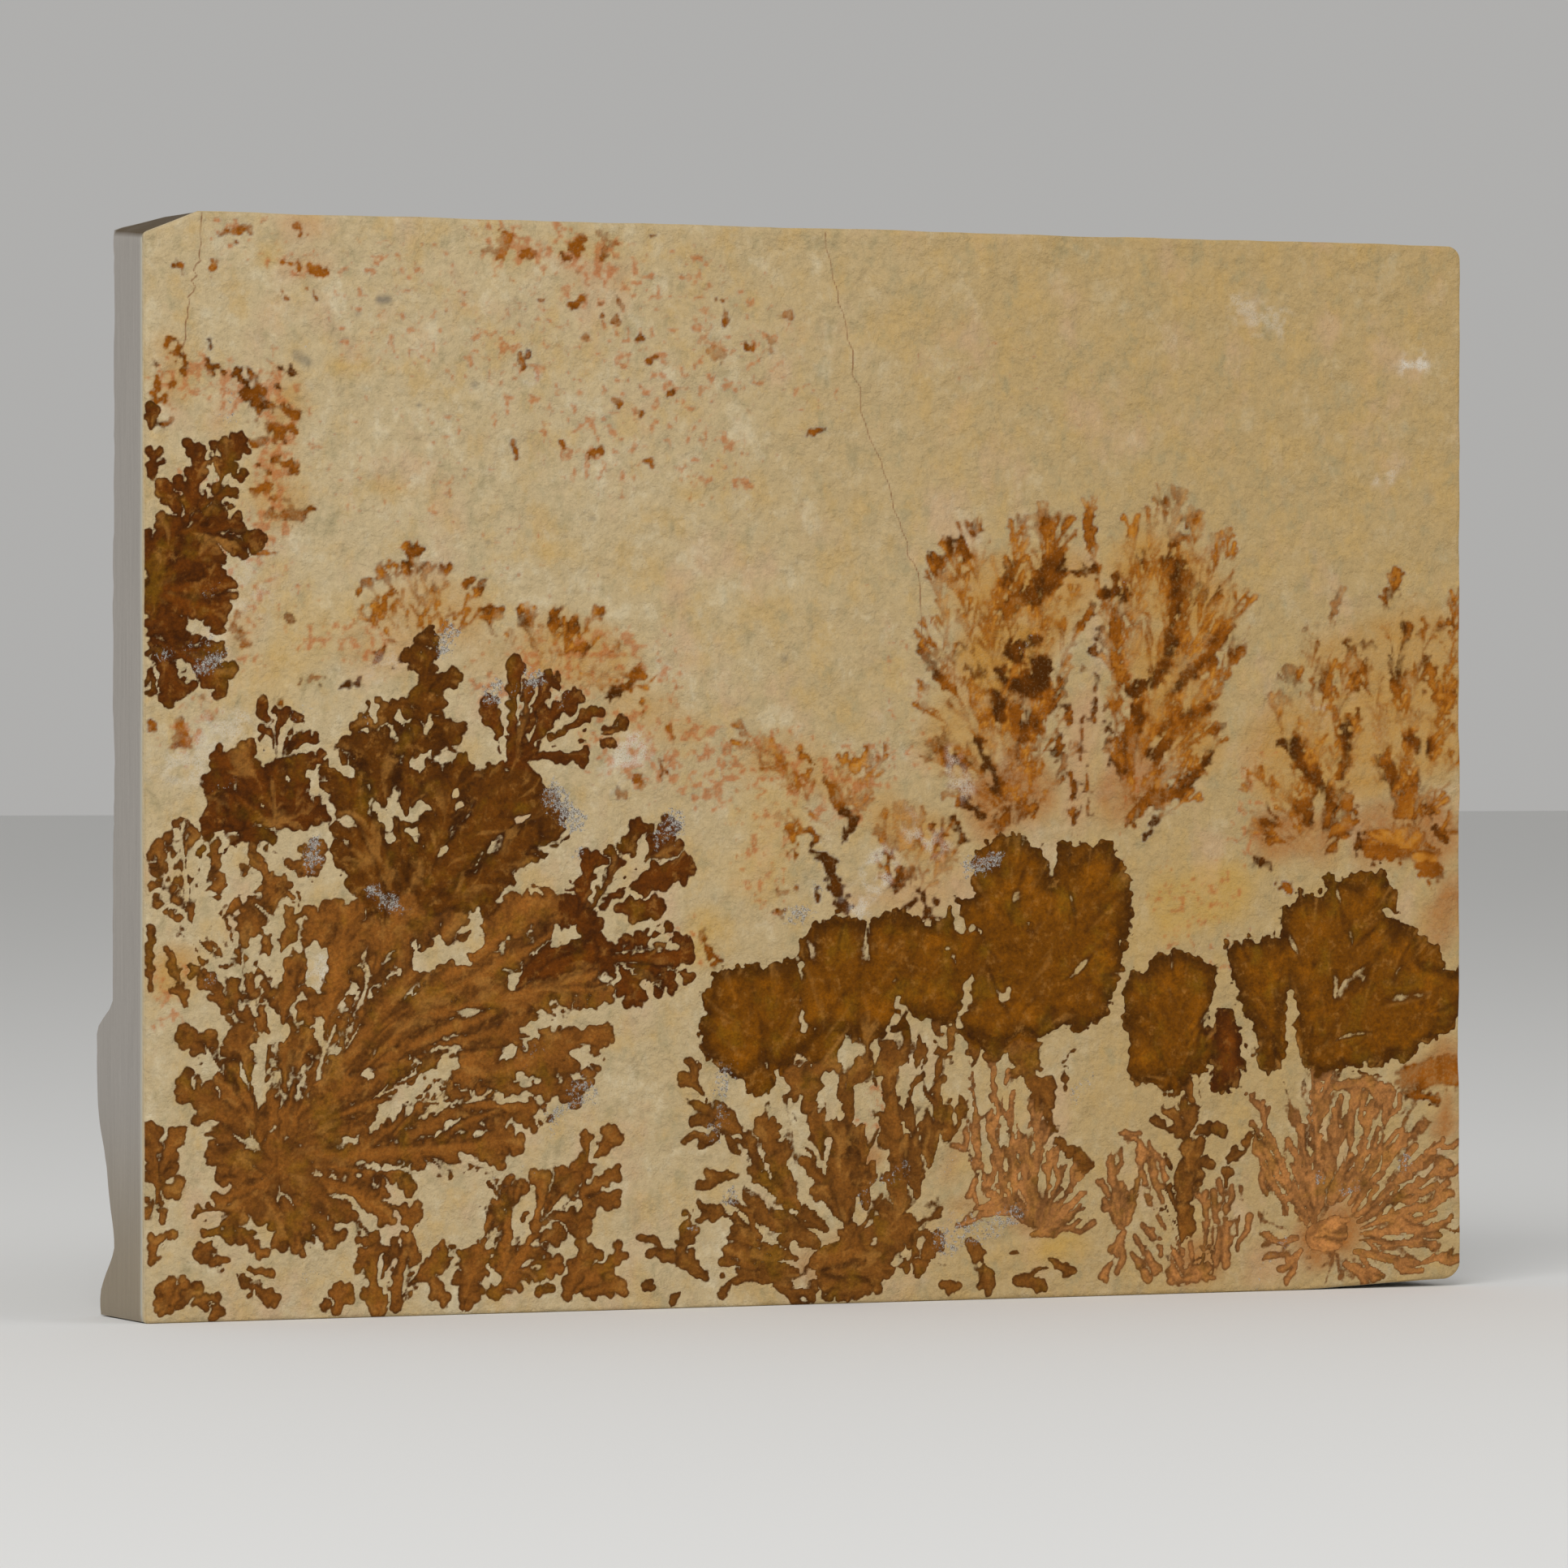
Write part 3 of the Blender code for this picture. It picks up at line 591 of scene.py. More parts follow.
# Lobed dabs inside the sprays. A row ends in how dark the dab is, from 0 for orange to 1.
DABS = (
    (128, 20, 132.6, 20.6, 1, 2, 0.35), (128.4, 18.6, 131.6, 18, 0.5, 0.8, 0.6),
    (92.6, 45, 92.4, 49, 0.3, 0.35, 0.3), (94.2, 45.4, 94, 50, 0.25, 0.3, 0.4),
    (91.4, 49, 91.2, 53, 0.25, 0.3, 0.45), (93.4, 50.4, 93.6, 55, 0.2, 0.3, 0.4),
    (92.2, 54, 92, 58, 0.25, 0.3, 0.3), (94.6, 53, 95, 58.6, 0.25, 0.35, 0.5),
    (90.4, 54.4, 89.8, 57, 0.2, 0.3, 0.5), (94.4, 60, 95.4, 62.6, 0.3, 0.4, 0.6),
    (93.2, 63, 94.6, 65, 0.4, 0.5, 0.5), (85.6, 64.6, 88, 66.6, 0.6, 0.7, 0.6),
    (88.4, 66, 91, 68.8, 1, 1.2, 0.75), (90.5, 69.2, 94.6, 68.4, 0.8, 0.7, 0.55),
    (85.3, 67.6, 86.2, 69, 0.4, 0.4, 0.6), (89.4, 72.2, 89.3, 73.6, 0.5, 0.5, 0.45),
    (94.2, 73.6, 94.2, 71, 0.6, 0.4, 0.4), (91.6, 72.6, 91.6, 73.2, 0.4, 0.4, 0.3),
    (82.2, 72.4, 83.2, 71.8, 0.5, 0.5, 0.4), (80.9, 71.4, 81.5, 69.8, 0.2, 0.2, 0.7),
    (79.7, 71.2, 79.8, 70.2, 0.2, 0.2, 0.7), (77.8, 69.8, 78.6, 69, 0.4, 0.4, 0.4),
    (78.4, 68.2, 79.6, 67.2, 0.3, 0.3, 0.3), (86.2, 61, 88.8, 62, 0.5, 0.5, 0.9),
    (87, 60, 86, 60.6, 0.4, 0.4, 0.9), (89.2, 59.4, 88.6, 57.6, 0.9, 1, 1),
    (87.6, 58, 86.6, 57.4, 0.7, 0.6, 1), (85.2, 58.8, 85.4, 58, 0.4, 0.3, 0.9),
    (84.4, 56.8, 85.2, 54.6, 0.6, 0.5, 0.9), (86.2, 55.4, 87.2, 53, 0.7, 0.8, 0.55),
    (88, 54.6, 88.8, 53.6, 0.5, 0.5, 0.6), (87, 52.4, 86.6, 51, 0.5, 0.5, 0.5),
    (82.6, 52.2, 83.6, 50.2, 0.35, 0.35, 0.9), (83.6, 50.2, 84.6, 48.2, 0.35, 0.4, 0.7),
    (81.2, 46.6, 83.2, 45.2, 0.3, 0.3, 0.9), (80.2, 45.2, 81.2, 43, 0.35, 0.5, 0.8),
    (77, 60.6, 78.2, 58.8, 0.4, 0.5, 0.6), (78.2, 58.8, 79.8, 57.2, 0.35, 0.3, 0.5),
    (80.8, 60.4, 82.6, 59, 0.7, 0.8, 0.5), (77.4, 51.2, 79.2, 52.6, 0.7, 0.6, 0.35),
    (79.6, 50.8, 81.4, 50.2, 0.5, 0.4, 0.5), (90.6, 51.4, 91.2, 53.2, 0.3, 0.3, 0.6),
    (90.8, 56.2, 91.6, 55.6, 0.35, 0.4, 0.6), (91.5, 58.2, 91.6, 57.6, 0.3, 0.3, 0.4),
    (93.2, 58.6, 93.8, 59.2, 0.2, 0.25, 0.4), (84.6, 44.6, 88.4, 46, 0.8, 0.9, 0.3),
    (93, 48.4, 92.8, 47.2, 0.4, 0.4, 0.8), (93.4, 45.8, 92.4, 44, 0.3, 0.4, 0.7),
    (95.6, 66.4, 97.6, 66.2, 0.4, 0.4, 0.85), (95.8, 66.2, 97, 67.8, 0.3, 0.3, 0.8),
    (96.8, 64.8, 97, 62, 0.4, 0.3, 0.5), (97, 60, 97.8, 58, 0.5, 0.5, 0.3),
    (99.5, 53.6, 99.4, 55.6, 0.4, 0.5, 0.9), (98.9, 57, 100.4, 58, 0.6, 0.5, 0.9),
    (100.4, 58, 102.4, 59.4, 0.5, 0.4, 0.85), (102.6, 59.8, 102.8, 62.4, 0.4, 0.5, 0.85),
    (102.6, 62.8, 103.6, 65.6, 0.4, 0.4, 0.7), (103.4, 66, 103.4, 69, 0.5, 0.6, 0.7),
    (102.4, 69.6, 104.6, 67.6, 0.7, 0.9, 0.5), (105.4, 66.4, 107.4, 66.2, 1, 0.8, 0.45),
    (103.2, 57.2, 105.4, 59.2, 0.35, 0.4, 0.8), (105.4, 59.2, 107.4, 61.4, 0.45, 0.6, 0.7),
    (107.4, 61.6, 109.4, 62.8, 0.9, 0.7, 0.45), (109.4, 60.8, 110.2, 61.4, 0.4, 0.3, 0.5),
    (107, 59.8, 107.6, 60.2, 0.4, 0.3, 0.6), (96, 55.4, 97.2, 56, 0.3, 0.4, 0.5),
    (96, 54.6, 96.1, 51.6, 0.2, 0.2, 0.9), (96.6, 50.6, 97.4, 49.6, 0.3, 0.4, 0.8),
    (97.8, 50.2, 99, 53.2, 1, 1, 0.35), (100.8, 51, 102.2, 52, 0.5, 0.5, 0.7),
    (101.6, 53, 103.8, 54.6, 0.5, 0.5, 0.4), (104.2, 54.6, 106.8, 55.4, 0.4, 0.35, 0.5),
    (107.2, 53.2, 108.6, 54, 0.25, 0.25, 0.35), (101, 46.8, 103.8, 47.4, 0.7, 0.6, 0.6),
    (103.8, 47.6, 105.6, 49.2, 0.5, 0.5, 0.7), (105.6, 49.4, 107, 50.8, 0.4, 0.25, 0.8),
    (100.2, 43.2, 101.2, 44.8, 0.4, 0.5, 0.8), (98.6, 44.6, 99.8, 46.4, 0.7, 0.6, 0.35),
    (102.2, 74.8, 103.4, 75.6, 0.6, 0.5, 0.3), (102.2, 74, 102, 70.6, 0.35, 0.3, 0.3),
    (104.6, 73, 105.8, 74, 0.4, 0.4, 0.4), (98.8, 72.4, 98.8, 71.8, 0.5, 0.4, 0.25),
    (99.6, 70.4, 100, 69, 0.25, 0.2, 0.5), (103, 71, 103.8, 71.6, 0.3, 0.3, 0.5),
    (115, 52, 116.4, 51.6, 0.6, 0.6, 0.9), (116.2, 50.8, 118, 48.8, 0.4, 0.5, 0.85),
    (118, 49, 119.4, 47.4, 0.7, 0.7, 0.6), (119.4, 47.4, 120.2, 46.2, 0.5, 0.5, 0.6),
    (121.8, 54.4, 121.4, 51.6, 0.25, 0.35, 0.8), (121.4, 51, 121.2, 49.2, 0.4, 0.5, 0.7),
    (121.8, 47, 121.6, 44, 0.8, 1.2, 0.3), (122.8, 43.4, 122.7, 41.6, 0.4, 0.4, 0.85),
    (120.2, 45.8, 119.6, 42.4, 1.2, 1.2, 0.3), (117.2, 46.2, 116.2, 46, 0.5, 0.4, 0.6),
    (117.4, 44.8, 117.6, 45.4, 0.3, 0.3, 0.7), (112.6, 45.6, 113.2, 44.4, 0.7, 0.7, 0.4),
    (113.2, 43.4, 113.6, 42.4, 0.5, 0.5, 0.4), (111.6, 41, 113.6, 40.4, 0.45, 0.5, 0.8),
    (114.4, 39.2, 115.4, 38.4, 0.4, 0.5, 0.4), (115.2, 59, 116.2, 57, 0.8, 0.7, 0.3),
    (119.6, 57.4, 119, 59, 0.8, 0.6, 0.25), (121.4, 61.8, 122.4, 61, 0.3, 0.5, 0.6),
    (122.4, 61.4, 124.4, 61.6, 0.6, 0.5, 0.45), (123.2, 60.4, 122.8, 57.6, 0.4, 0.4, 0.35),
    (122.6, 55.8, 122.8, 55, 0.35, 0.35, 0.4), (127.4, 63.8, 128.2, 63.2, 0.7, 0.7, 0.65),
    (127.8, 62.2, 126.8, 60.6, 0.5, 0.6, 0.6), (127, 60, 127.4, 57.6, 0.6, 0.7, 0.45),
    (120.3, 66.2, 120.5, 64.6, 0.4, 0.35, 0.4), (127.2, 68.4, 127, 66.4, 0.6, 0.4, 0.3),
    (130.5, 60, 131, 58, 0.6, 0.7, 0.3), (131.6, 57, 133, 56.4, 0.7, 0.8, 0.25),
    (131.8, 63.4, 132.8, 63.6, 0.5, 0.4, 0.4), (128.4, 52.8, 129.6, 51.8, 0.4, 0.6, 0.8),
    (129.6, 51.6, 131, 51.8, 0.6, 0.4, 0.75), (126.2, 50, 126.4, 48.6, 0.6, 0.6, 0.5),
    (125, 50.6, 125.6, 50.2, 0.3, 0.4, 0.5), (129.4, 49, 128.6, 47, 0.6, 0.8, 0.35),
    (126.8, 46.4, 129, 46, 1.4, 1.2, 0.3), (131.2, 44.2, 132.6, 42.6, 0.4, 0.4, 0.75),
    (130.6, 45.8, 131, 44.8, 0.3, 0.3, 0.6), (124.6, 40.6, 125.2, 40.2, 0.5, 0.4, 0.8),
    (129, 43, 131, 40, 1.5, 1.4, 0.15), (125, 42.5, 127.5, 42.5, 1.8, 1.8, 0.15),
    (118.4, 63.2, 118.6, 60.6, 0.4, 0.4, 0.15), (129.4, 66.4, 128.6, 65.4, 0.4, 0.3, 0.2),
    (126, 65.2, 125.6, 66.2, 0.3, 0.3, 0.2), (117, 62.8, 117, 62, 0.3, 0.3, 0.3),
    (57.8, 52.2, 59.6, 51.6, 0.35, 0.4, 0.15), (59.6, 51.6, 60.4, 50.4, 0.4, 0.4, 0.2),
    (61, 52.4, 62.4, 51, 0.5, 0.6, 0.1), (64.2, 51.6, 65.8, 50.2, 0.4, 0.4, 0.3),
    (66.8, 48.8, 68.2, 47, 0.5, 0.6, 0.2), (68.4, 46.6, 70.6, 46.4, 0.5, 0.5, 0.25),
    (70, 50, 71.6, 51.4, 0.8, 0.7, 0.1), (63.4, 44.6, 63.6, 41.8, 0.6, 0.6, 0.2),
    (66, 43.4, 65.6, 44, 0.4, 0.4, 0.4), (70, 44.8, 68.8, 43.2, 0.5, 0.5, 1),
    (68.9, 45.6, 69.2, 45.9, 0.25, 0.25, 1), (65.5, 42, 67.8, 41.2, 0.5, 0.6, 1),
    (67.4, 41, 68, 38.8, 0.7, 0.8, 1), (68, 38.4, 69, 36.8, 0.7, 0.8, 1),
    (65.8, 38.4, 66.2, 37.6, 0.3, 0.3, 0.9), (72.4, 43.8, 73, 42.4, 0.5, 0.5, 0.2),
    (73, 45.6, 75.4, 45.4, 0.7, 0.7, 0.12), (74, 43, 75.6, 42.4, 0.8, 0.7, 0.12),
    (73.2, 41.8, 73.4, 40.8, 0.5, 0.4, 0.3), (77.8, 44.6, 79, 43, 0.4, 0.5, 0.3),
    (79.4, 42.4, 79, 41, 0.5, 0.5, 0.2), (74.8, 40.2, 74.2, 39, 0.5, 0.6, 0.75),
    (75.8, 40.4, 75.4, 39.6, 0.35, 0.3, 0.7), (73.2, 39.6, 74.2, 38.6, 0.4, 0.5, 0.6),
    (75.2, 37, 76.6, 37.4, 0.4, 0.3, 1), (77, 37.8, 77.4, 36.4, 0.4, 0.4, 1),
    (78.2, 37.6, 78.4, 37, 0.3, 0.3, 0.9), (76.6, 35.8, 78.6, 36, 0.3, 0.3, 0.9),
    (62, 38.2, 64, 38.6, 0.4, 0.4, 0.15), (61.6, 37, 62.4, 36.4, 0.4, 0.4, 0.3),
    (54.4, 34.6, 55.2, 32.4, 0.5, 0.5, 0.3), (55.4, 31.6, 56, 32, 0.4, 0.4, 0.4),
    (48.5, 56, 48.6, 55, 0.5, 0.5, 0.15), (46, 47.6, 46.6, 47.2, 0.4, 0.4, 0.35),
    (50.2, 50.4, 50.4, 49.6, 0.35, 0.35, 0.3), (48, 49, 48.6, 48.4, 0.6, 0.6, 0.12),
    (51, 53.6, 51.4, 52.6, 0.3, 0.3, 0.2), (20.6, 66, 21.6, 67, 0.5, 0.5, 0.3),
    (22.2, 64.6, 22.6, 63.6, 0.4, 0.4, 0.15), (22.8, 68.2, 23.2, 67.4, 0.3, 0.3, 0.3),
    (23.6, 66.4, 23.2, 65.2, 0.35, 0.35, 0.15), (25.4, 69.6, 26.2, 69.8, 0.45, 0.45, 0.7),
    (25.2, 68.6, 25.4, 68, 0.3, 0.3, 0.6), (26.8, 68.2, 27.4, 67.6, 0.4, 0.4, 0.4),
    (28.6, 68, 29.2, 68.2, 0.4, 0.4, 0.25), (27.8, 66.8, 27.8, 66, 0.25, 0.2, 0.5),
    (31.2, 66.8, 31.6, 67, 0.35, 0.35, 0.5), (32.6, 66.8, 32.4, 66.4, 0.35, 0.35, 0.5),
    (34.4, 64.2, 33.4, 63.8, 0.4, 0.4, 0.4), (33.4, 62.4, 34.2, 62, 0.4, 0.3, 0.25),
    (23, 60.6, 22.4, 59.8, 0.5, 0.4, 0.3), (36.2, 64, 36, 63.2, 0.3, 0.3, 0.4),
    (37, 63.4, 37.4, 61.4, 0.5, 0.5, 0.4), (39.6, 63.8, 39.9, 62.6, 0.4, 0.4, 0.5),
    (41, 62, 41, 61, 0.5, 0.4, 0.2), (42.2, 63, 41.4, 62.6, 0.3, 0.3, 0.6),
    (42, 60.4, 43, 60.8, 0.2, 0.25, 0.5), (44.2, 64.2, 44.4, 63.6, 0.35, 0.35, 0.3),
    (46.2, 60.8, 45.8, 59.4, 0.35, 0.35, 0.3), (45.2, 56.4, 46, 56.8, 0.4, 0.3, 1),
    (46.6, 57.4, 48.4, 58.4, 0.3, 0.25, 0.5), (19.2, 57.4, 20.6, 57.6, 0.35, 0.35, 0.9),
    (21, 58.4, 20.6, 57.8, 0.25, 0.25, 0.7), (16.9, 57.2, 17, 57.4, 0.3, 0.3, 0.8),
    (24.6, 59.8, 24.8, 59.6, 0.3, 0.3, 0.9), (23.8, 59, 24, 58.8, 0.2, 0.2, 0.8),
    (1.6, 87.8, 2.6, 88.4, 0.5, 0.5, 0.3), (3.2, 88, 2.8, 87, 0.5, 0.6, 0.15),
    (1.4, 86.6, 1, 86.2, 0.3, 0.3, 0.5), (3.9, 87, 3.9, 86.2, 0.3, 0.3, 0.5),
    (3.4, 85.8, 3.8, 85.4, 0.3, 0.3, 0.5), (1.2, 84.6, 1, 82.2, 0.4, 0.3, 0.15),
    (1.6, 83, 2.6, 84.2, 0.5, 0.4, 0.15), (0.8, 81.8, 0.9, 80.8, 0.35, 0.4, 0.9),
    (1.8, 80.6, 2.4, 81, 0.3, 0.3, 0.4), (6.2, 88.4, 6.4, 87.4, 0.4, 0.4, 0.8),
    (6, 86.8, 6.4, 85.6, 0.3, 0.3, 0.6), (7.2, 86, 7.4, 85.4, 0.3, 0.3, 0.5),
    (8.8, 85.6, 9.4, 84.6, 0.5, 0.5, 0.7), (10.4, 86.4, 10.2, 85.2, 0.3, 0.5, 0.5),
    (9.8, 84, 11, 82.4, 0.7, 0.8, 0.7), (10.6, 84.6, 11.4, 83.6, 0.4, 0.4, 0.5),
    (13, 85.8, 14.4, 85.6, 0.4, 0.4, 0.8), (12.8, 84.8, 13, 84.2, 0.35, 0.35, 0.7),
    (12, 82.6, 14.6, 82, 0.6, 0.6, 0.4), (10.4, 81.2, 14.4, 80.4, 0.5, 0.5, 0.35),
    (10.4, 79.2, 13.4, 79.8, 0.5, 0.5, 0.4), (10.4, 77.4, 12, 76.4, 0.35, 0.35, 0.45),
    (12.4, 77.8, 14.4, 77, 0.4, 0.5, 0.45), (10.4, 74.8, 12, 75.4, 0.35, 0.35, 0.3),
    (11.6, 72.8, 14.6, 72.6, 0.6, 0.6, 0.45), (15.4, 73, 16.2, 73.2, 0.35, 0.35, 0.4),
    (12.6, 74.2, 14, 73.6, 0.4, 0.4, 0.3), (13.6, 63.6, 14.2, 63.2, 0.4, 0.4, 0.6),
    (8.6, 62.6, 9.6, 61.2, 0.6, 0.6, 0.2), (9.2, 63.4, 8.6, 64, 0.3, 0.3, 0.2),
    (3.4, 54, 3.6, 52.6, 0.6, 0.7, 0.15), (4, 52, 2.8, 51.8, 0.4, 0.4, 0.15),
    (0.6, 54.2, 0.7, 53.6, 0.3, 0.3, 0.4), (5.4, 56.4, 5.8, 55.8, 0.4, 0.3, 0.2),
    (12.8, 56.2, 13.2, 55.4, 0.3, 0.3, 0.5), (15, 57.8, 17.4, 58.2, 0.35, 0.35, 0.3),
    (10.2, 69.4, 12, 69.2, 0.4, 0.4, 0.15), (7.4, 98, 9.8, 98.6, 0.5, 0.5, 0.25),
    (8.4, 97.6, 9, 97.2, 0.3, 0.3, 0.3), (3, 95, 3.8, 94.6, 0.4, 0.4, 0.15),
    (6.2, 94.4, 6.6, 95.6, 0.3, 0.3, 0.12), (13.4, 95.6, 17.4, 94.8, 0.5, 0.5, 0.1),
    (13.2, 92.8, 13.4, 92.2, 0.25, 0.25, 0.2), (15.6, 93.2, 16.2, 92.6, 0.3, 0.3, 0.1),
    (14.6, 99, 15.2, 98.2, 0.4, 0.4, 0.1), (32.8, 97.2, 34.4, 96.8, 0.4, 0.5, 0.2),
    (34.6, 97.2, 35.2, 98.6, 0.7, 0.6, 0.08), (36.6, 96.6, 37.4, 97.2, 0.4, 0.4, 0.2),
    (40.8, 96.8, 41.4, 96.2, 0.4, 0.5, 0.35), (41.8, 97.4, 42.6, 98.4, 0.7, 0.5, 0.15),
    (41.8, 95.4, 42.8, 95.4, 0.3, 0.3, 0.3), (44.6, 96.8, 44.8, 97.6, 0.4, 0.4, 0.25),
    (44.2, 98.8, 45.6, 98.2, 0.4, 0.4, 0.12), (49.2, 99, 49.6, 99, 0.3, 0.3, 0.3),
    (38, 92.8, 38.8, 92.6, 0.35, 0.3, 0.15), (41.6, 92.6, 42.6, 93, 0.6, 0.4, 0.2),
    (44.4, 92.6, 44.4, 91.4, 0.4, 0.4, 0.3), (46, 92.6, 46.4, 92.4, 0.4, 0.3, 0.3),
    (45.4, 91.4, 46, 90.6, 0.4, 0.4, 0.15), (43, 89.2, 43.1, 89.4, 0.5, 0.5, 0.12),
    (48.2, 89.4, 48.3, 89.2, 0.35, 0.3, 0.4), (49.2, 87.4, 49.6, 87.8, 0.4, 0.35, 0.25),
    (36.4, 87.4, 36.6, 86.6, 0.35, 0.3, 0.4), (37.1, 88.2, 37.2, 87.6, 0.25, 0.25, 0.7),
    (35.6, 79.2, 36.2, 78.4, 0.4, 0.3, 0.4), (40.4, 79.6, 40.6, 79.4, 0.4, 0.3, 0.25),
    (43.2, 78.6, 44.2, 79, 0.45, 0.4, 0.2), (48.2, 82.6, 48.4, 82.4, 0.4, 0.3, 0.2),
    (46, 83.6, 46.2, 83.4, 0.5, 0.4, 0.1), (50.8, 84, 51.6, 84.2, 0.35, 0.35, 0.3),
    (49.2, 78, 49.3, 77.8, 0.5, 0.4, 0.15), (55.8, 93.4, 56.6, 93, 0.5, 0.4, 0.2),
    (56.8, 91.6, 56.8, 90.6, 0.4, 0.4, 0.3), (56, 88, 56.2, 88.2, 0.9, 0.9, 0.07),
    (56.4, 86.8, 56.8, 86.6, 0.3, 0.3, 0.3), (59, 89, 59.2, 89, 0.5, 0.5, 0.1),
    (61.2, 89.4, 61.4, 88.6, 0.4, 0.3, 0.2), (65.4, 81, 66.4, 81.2, 0.35, 0.3, 0.3),
    (62.8, 91.8, 63.8, 92, 0.5, 0.4, 0.1),
)


@dataclass(frozen=True)
class Mass:
    """A part where the fronds have grown into one, by its outline on the face in millimetres."""

    tone: Tone | None  # none keeps the tones of the fronds it fills
    root: Pair  # the place its feathering points away from
    outline: tuple[Pair, ...]
    channel: float = 0.35  # how open the channels between its fronds stay, as a share
    comb: float = 0.10  # how open it is inside
    fringe: float = 0.72


MASSES = (
    Mass(
        None,
        (67, 3.5),
        (
            (57, 7), (60, 14), (62.5, 22), (70, 25), (80, 25.5), (81, 18), (78.5, 12), (79, 3), (66, 1),
            (60, 1.5),
        ),
        comb=0.86,
    ),
    Mass(
        None,
        (88.5, 5),
        ((82.5, 8), (81.5, 14), (82, 22), (88, 22), (91, 15), (94, 11.5), (94, 7.5), (89, 5.5), (84, 7)),
        comb=0.92,
    ),
    Mass(
        None,
        (120.5, 4),
        ((113, 3), (112.5, 18), (118, 21.5), (127, 19.5), (133, 14), (133, 2), (118, 1)),
        comb=0.92,
    ),
    Mass(
        None,
        (14, 16),
        (
            (15.5, 29.5), (14.8, 34.5), (17, 38), (24, 36), (30, 36.5), (36, 38.4), (42, 38.2), (44, 36.3),
            (44.5, 33.6), (46, 33), (46, 31), (44, 29), (44.9, 27), (45.3, 25), (43.6, 22.4), (41, 21.6),
            (36, 22), (31, 21.2), (26, 19.5), (21, 18.5), (17, 19), (15, 22), (16.5, 26.5),
        ),
        channel=0.8,
        comb=0.57,
    ),
    Mass(
        None,
        (12.8, 13.6),
        (
            (9, 12), (7, 14.6), (7, 17), (5.5, 19.5), (6.5, 22.5), (9, 24.5), (12, 24.8), (14.5, 26),
            (18, 25), (22, 22.5), (21, 18.6), (25, 18.8), (30, 20.5), (34, 18.4), (35, 16), (31, 14.5),
            (25, 14.2), (22.5, 11), (18, 9), (14.5, 8.8), (10.5, 8.5),
        ),
        channel=0.9,
        comb=0.45,
    ),
    Mass(
        None,
        (12.5, 43),
        (
            (6, 43.5), (5.6, 49), (8, 51.5), (12, 52.5), (15.5, 51.5), (15.8, 47.5), (16.8, 46),
            (13.5, 44.6), (12.5, 43),
        ),
        channel=0.8,
        comb=0.45,
    ),
    Mass(
        None,
        (26, 30),
        (
            (17, 47.5), (16.8, 50), (17.8, 52.2), (19.5, 52.2), (19.8, 54), (21.5, 55.3), (23.5, 56),
            (25, 55), (26, 56.5), (27.3, 57), (27.8, 55), (29.5, 54.5), (30.8, 53), (29.3, 51.6),
            (31.7, 52), (32, 50.5), (33.2, 50.2), (35.5, 51.5), (37.3, 50.5), (38.8, 48.5), (40.2, 46),
            (41, 43.5), (39.5, 42.3), (37.5, 42.5), (36, 41), (35, 39), (33, 37.5), (30, 36), (27, 35),
            (24, 34.5), (22, 36), (20.5, 38), (18.5, 41), (17.8, 44.5),
        ),
        channel=0.9,
        comb=0.25,
    ),
    Mass(
        Tone.UMBER,
        (76, 20),
        (
            (54.8, 24), (54.4, 26.5), (56, 28.5), (56, 30.8), (57.5, 31.2), (61, 31.5), (64.3, 32.2),
            (65.5, 34), (66.5, 35.5), (69, 35.8), (71, 35.3), (75, 36.2), (77, 35.2), (80, 35),
            (80.8, 37.5), (82.5, 38.8), (83, 40), (84.5, 40.5), (85, 42), (86, 43.2), (87.5, 43.3),
            (89, 42.5), (89.8, 41), (89.5, 39.5), (90.3, 39), (91, 41.5), (91.5, 42.7), (92.2, 42.5),
            (92.5, 41), (93.5, 42), (95.5, 42.8), (97, 41.8), (97.8, 40), (98.5, 39.3), (98.3, 37.5),
            (98.7, 36), (98.5, 34.7), (97.5, 33.5), (97.5, 31), (96.5, 29.5), (97, 28), (95, 25.5),
            (92, 25.6), (89.5, 24.5), (87, 25), (84.5, 23), (82, 25), (79.5, 25.5), (77.5, 27),
            (75.5, 25.6), (73, 25), (71, 25.6), (69.5, 24.6), (67, 25.4), (64, 23), (61, 22.4), (58, 21),
        ),
    ),
    Mass(
        Tone.UMBER,
        (103.5, 14),
        (
            (98.8, 31), (100.3, 30.6), (101.3, 32), (103.5, 32.2), (105.5, 31.3), (107.8, 31), (108, 29),
            (107.2, 27), (106.6, 24.5), (106, 22.3), (104.6, 19.6), (103, 20.5), (101.5, 20), (99, 20.2),
            (97, 20.5), (97.7, 23), (98, 26), (97.6, 28.5),
        ),
    ),
    Mass(
        Tone.RUSSET,
        (109, 14),
        (
            (108.2, 26.2), (109.4, 26.7), (110.3, 25), (110.7, 22), (110.3, 19.6), (107.6, 19.5),
            (107.3, 22),
        ),
    ),
    Mass(
        Tone.UMBER,
        (119, 14),
        (
            (108.8, 31.5), (109, 33), (111, 33.6), (113, 33.3), (114.8, 34.5), (115.3, 36.5), (116.5, 38.3),
            (118.5, 37), (119.8, 39.3), (123.2, 39), (124.5, 40.3), (126.5, 38.8), (127, 37), (125.7, 36),
            (129, 34), (130, 31.5), (132, 30.5), (136, 29), (136, 28), (131.7, 24.8), (128.5, 21.8),
            (124, 21.5), (120.8, 21.5), (118.5, 20), (117.3, 22), (116.6, 27.4), (115.6, 28.6), (114.8, 27),
            (114.6, 22), (113.5, 20), (112.2, 20.5), (112, 24), (111.2, 26.5), (109.8, 29),
        ),
    ),
)

